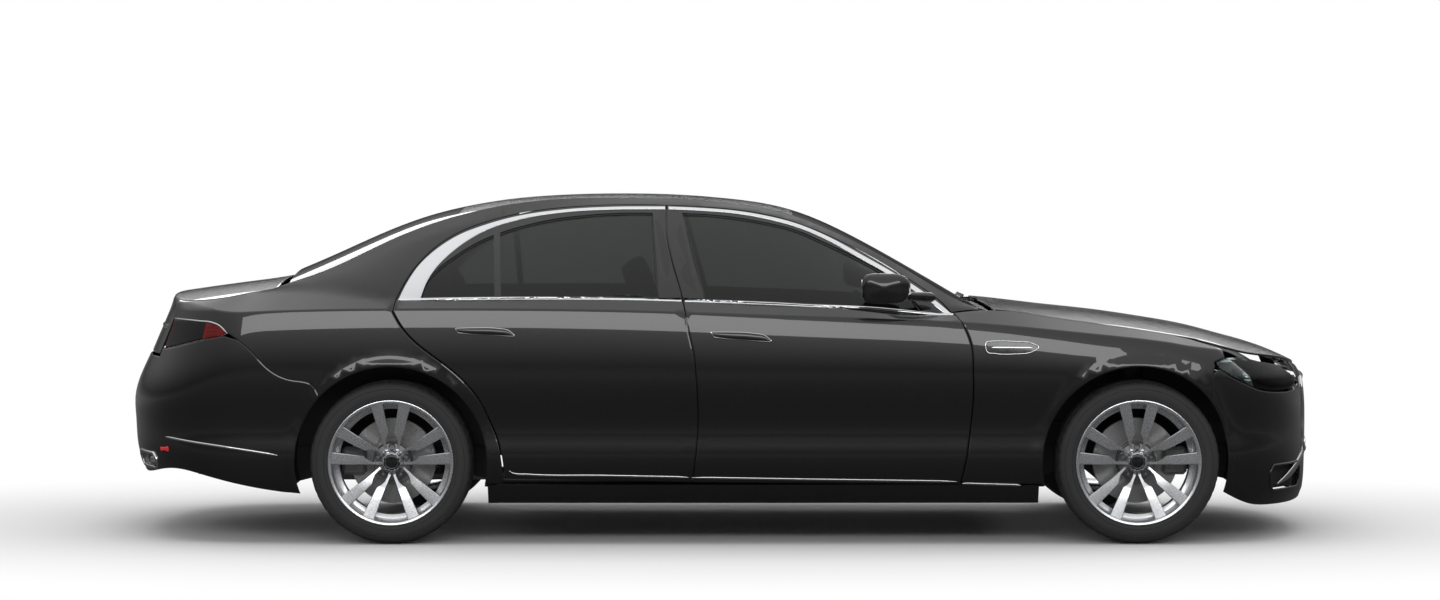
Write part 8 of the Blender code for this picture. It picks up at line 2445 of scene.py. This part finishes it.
def build_stage():
    size = 40.0
    points = [(-size, -size, 0), (size, -size, 0), (size, size, 0), (-size, size, 0)]
    mesh = bpy.data.meshes.new("floor")
    mesh.from_pydata(points, [], [(0, 1, 2, 3)])
    floor = bpy.data.objects.new("floor", mesh)
    bpy.context.scene.collection.objects.link(floor)
    made = bpy.data.materials.new("pale_floor")
    made.use_nodes = True
    tree = made.node_tree
    shader = tree.nodes["Principled BSDF"]
    shader.inputs["Base Color"].default_value = (0.80, 0.80, 0.80, 1)
    shader.inputs["Roughness"].default_value = 0.9
    shader.inputs["Specular IOR Level"].default_value = 0.1
    place = tree.nodes.new("ShaderNodeTexCoord")
    reach = tree.nodes.new("ShaderNodeVectorMath")
    reach.operation = 'LENGTH'
    fit = tree.nodes.new("ShaderNodeMapping")
    fit.inputs["Scale"].default_value = (0.50, 1.0, 1.0)
    far = tree.nodes.new("ShaderNodeMapRange")
    far.interpolation_type = 'SMOOTHSTEP'
    far.inputs["From Min"].default_value = 1.25
    far.inputs["From Max"].default_value = 2.8
    white = tree.nodes.new("ShaderNodeEmission")
    white.inputs["Color"].default_value = (1, 1, 1, 1)
    white.inputs["Strength"].default_value = 1.0
    mix = tree.nodes.new("ShaderNodeMixShader")
    tree.links.new(place.outputs["Object"], fit.inputs["Vector"])
    tree.links.new(fit.outputs["Vector"], reach.inputs[0])
    tree.links.new(reach.outputs["Value"], far.inputs["Value"])
    tree.links.new(far.outputs["Result"], mix.inputs["Fac"])
    tree.links.new(shader.outputs["BSDF"], mix.inputs[1])
    tree.links.new(white.outputs["Emission"], mix.inputs[2])
    mirrored = tree.nodes.new("ShaderNodeEmission")
    mirrored.inputs["Color"].default_value = (1, 1, 1, 1)
    bright = tree.nodes.new("ShaderNodeMapRange")
    bright.inputs["From Min"].default_value = 1.0
    bright.inputs["From Max"].default_value = 9.0
    bright.inputs["To Min"].default_value = 0.05
    bright.inputs["To Max"].default_value = 0.16
    rays = tree.nodes.new("ShaderNodeLightPath")
    choose = tree.nodes.new("ShaderNodeMixShader")
    tree.links.new(reach.outputs["Value"], bright.inputs["Value"])
    tree.links.new(bright.outputs["Result"], mirrored.inputs["Strength"])
    tree.links.new(rays.outputs["Is Glossy Ray"], choose.inputs["Fac"])
    tree.links.new(mix.outputs["Shader"], choose.inputs[1])
    tree.links.new(mirrored.outputs["Emission"], choose.inputs[2])
    tree.links.new(choose.outputs["Shader"], tree.nodes["Material Output"].inputs["Surface"])
    mesh.materials.append(made)


def build_world():
    """White to the camera and through glass, and to gloss a pale sky above a darker horizon."""
    world = bpy.data.worlds.new("studio")
    bpy.context.scene.world = world
    world.use_nodes = True
    tree = world.node_tree
    back = tree.nodes["Background"]
    out = tree.nodes["World Output"]
    back.inputs["Color"].default_value = (1, 1, 1, 1)
    back.inputs["Strength"].default_value = 0.45
    seen = tree.nodes.new("ShaderNodeBackground")
    seen.inputs["Strength"].default_value = 1.0
    rays = tree.nodes.new("ShaderNodeLightPath")
    either = tree.nodes.new("ShaderNodeMath")
    either.operation = 'MAXIMUM'
    third = tree.nodes.new("ShaderNodeMath")
    third.operation = 'MAXIMUM'
    mix = tree.nodes.new("ShaderNodeMixShader")
    tree.links.new(rays.outputs["Is Camera Ray"], either.inputs[0])
    tree.links.new(rays.outputs["Is Glossy Ray"], either.inputs[1])
    tree.links.new(either.outputs["Value"], third.inputs[0])
    tree.links.new(rays.outputs["Is Transmission Ray"], third.inputs[1])
    tree.links.new(third.outputs["Value"], mix.inputs["Fac"])
    tree.links.new(back.outputs["Background"], mix.inputs[1])
    tree.links.new(seen.outputs["Background"], mix.inputs[2])
    tree.links.new(mix.outputs["Shader"], out.inputs["Surface"])
    place = tree.nodes.new("ShaderNodeTexCoord")
    parts = tree.nodes.new("ShaderNodeSeparateXYZ")
    sky = tree.nodes.new("ShaderNodeValToRGB")
    shift = tree.nodes.new("ShaderNodeMapRange")
    shift.inputs["From Min"].default_value = -1.0
    shift.inputs["From Max"].default_value = 1.0
    stops = ((0.0, 0.10), (0.495, 0.12), (0.52, 0.05), (0.56, 0.16), (0.66, 0.55), (1.0, 1.0))
    ramp_nodes = sky.color_ramp.elements
    while len(ramp_nodes) < len(stops):
        ramp_nodes.new(0.5)
    for stop, (position, level) in zip(ramp_nodes, stops):
        stop.position = position
        stop.color = (level, level, level, 1)
    only_camera = tree.nodes.new("ShaderNodeMixRGB")
    only_camera.inputs["Color2"].default_value = (1, 1, 1, 1)
    tree.links.new(place.outputs["Generated"], parts.inputs["Vector"])
    tree.links.new(parts.outputs["Z"], shift.inputs["Value"])
    tree.links.new(shift.outputs["Result"], sky.inputs["Fac"])
    tree.links.new(rays.outputs["Is Glossy Ray"], only_camera.inputs["Fac"])
    only_camera.inputs["Color1"].default_value = (1, 1, 1, 1)
    tree.links.new(sky.outputs["Color"], only_camera.inputs["Color2"])
    tree.links.new(only_camera.outputs["Color"], seen.inputs["Color"])


def area_light(name, place, target, size, power):
    lamp = bpy.data.lights.new(name, 'AREA')
    lamp.shape = 'RECTANGLE'
    lamp.size, lamp.size_y = size
    lamp.energy = power
    thing = bpy.data.objects.new(name, lamp)
    thing.location = place
    way = Vector(target) - Vector(place)
    thing.rotation_euler = way.to_track_quat('-Z', 'Y').to_euler()
    bpy.context.scene.collection.objects.link(thing)
    return thing


# The photograph's camera: its distance, height and focal length come from the wheels' places in it
CAMERA_DISTANCE = 15.96
CAMERA_HEIGHT = 1.62
FOCAL_PIXELS = 3502.0
PHOTO_WIDTH, PHOTO_HEIGHT = 1440, 600
HORIZON_PIXEL_Y = 167.7
SENSOR = 36.0


def build_camera():
    lens = bpy.data.cameras.new("camera")
    lens.sensor_width = SENSOR
    lens.lens = FOCAL_PIXELS * SENSOR / PHOTO_WIDTH
    lens.clip_end = 200.0
    thing = bpy.data.objects.new("camera", lens)
    thing.location = (0.0, -CAMERA_DISTANCE, CAMERA_HEIGHT)
    down = math.atan((PHOTO_HEIGHT / 2 - HORIZON_PIXEL_Y) / FOCAL_PIXELS)
    thing.rotation_euler = (math.radians(90) - down, 0, 0)
    bpy.context.scene.collection.objects.link(thing)
    bpy.context.scene.camera = thing


build_stage()
build_world()
overhead = area_light("overhead", (0.0, 0.0, 5.5), (0, 0, 0), (9.0, 5.0), 260.0)
overhead.visible_glossy = False
area_light("near_side", (0.0, -9.0, 4.2), (0, 0, 0.6), (12.0, 1.6), 240.0)
area_light("far_side", (0.0, 9.0, 4.2), (0, 0, 0.6), (12.0, 1.6), 160.0)
build_camera()
bpy.context.scene.view_settings.view_transform = 'Standard'
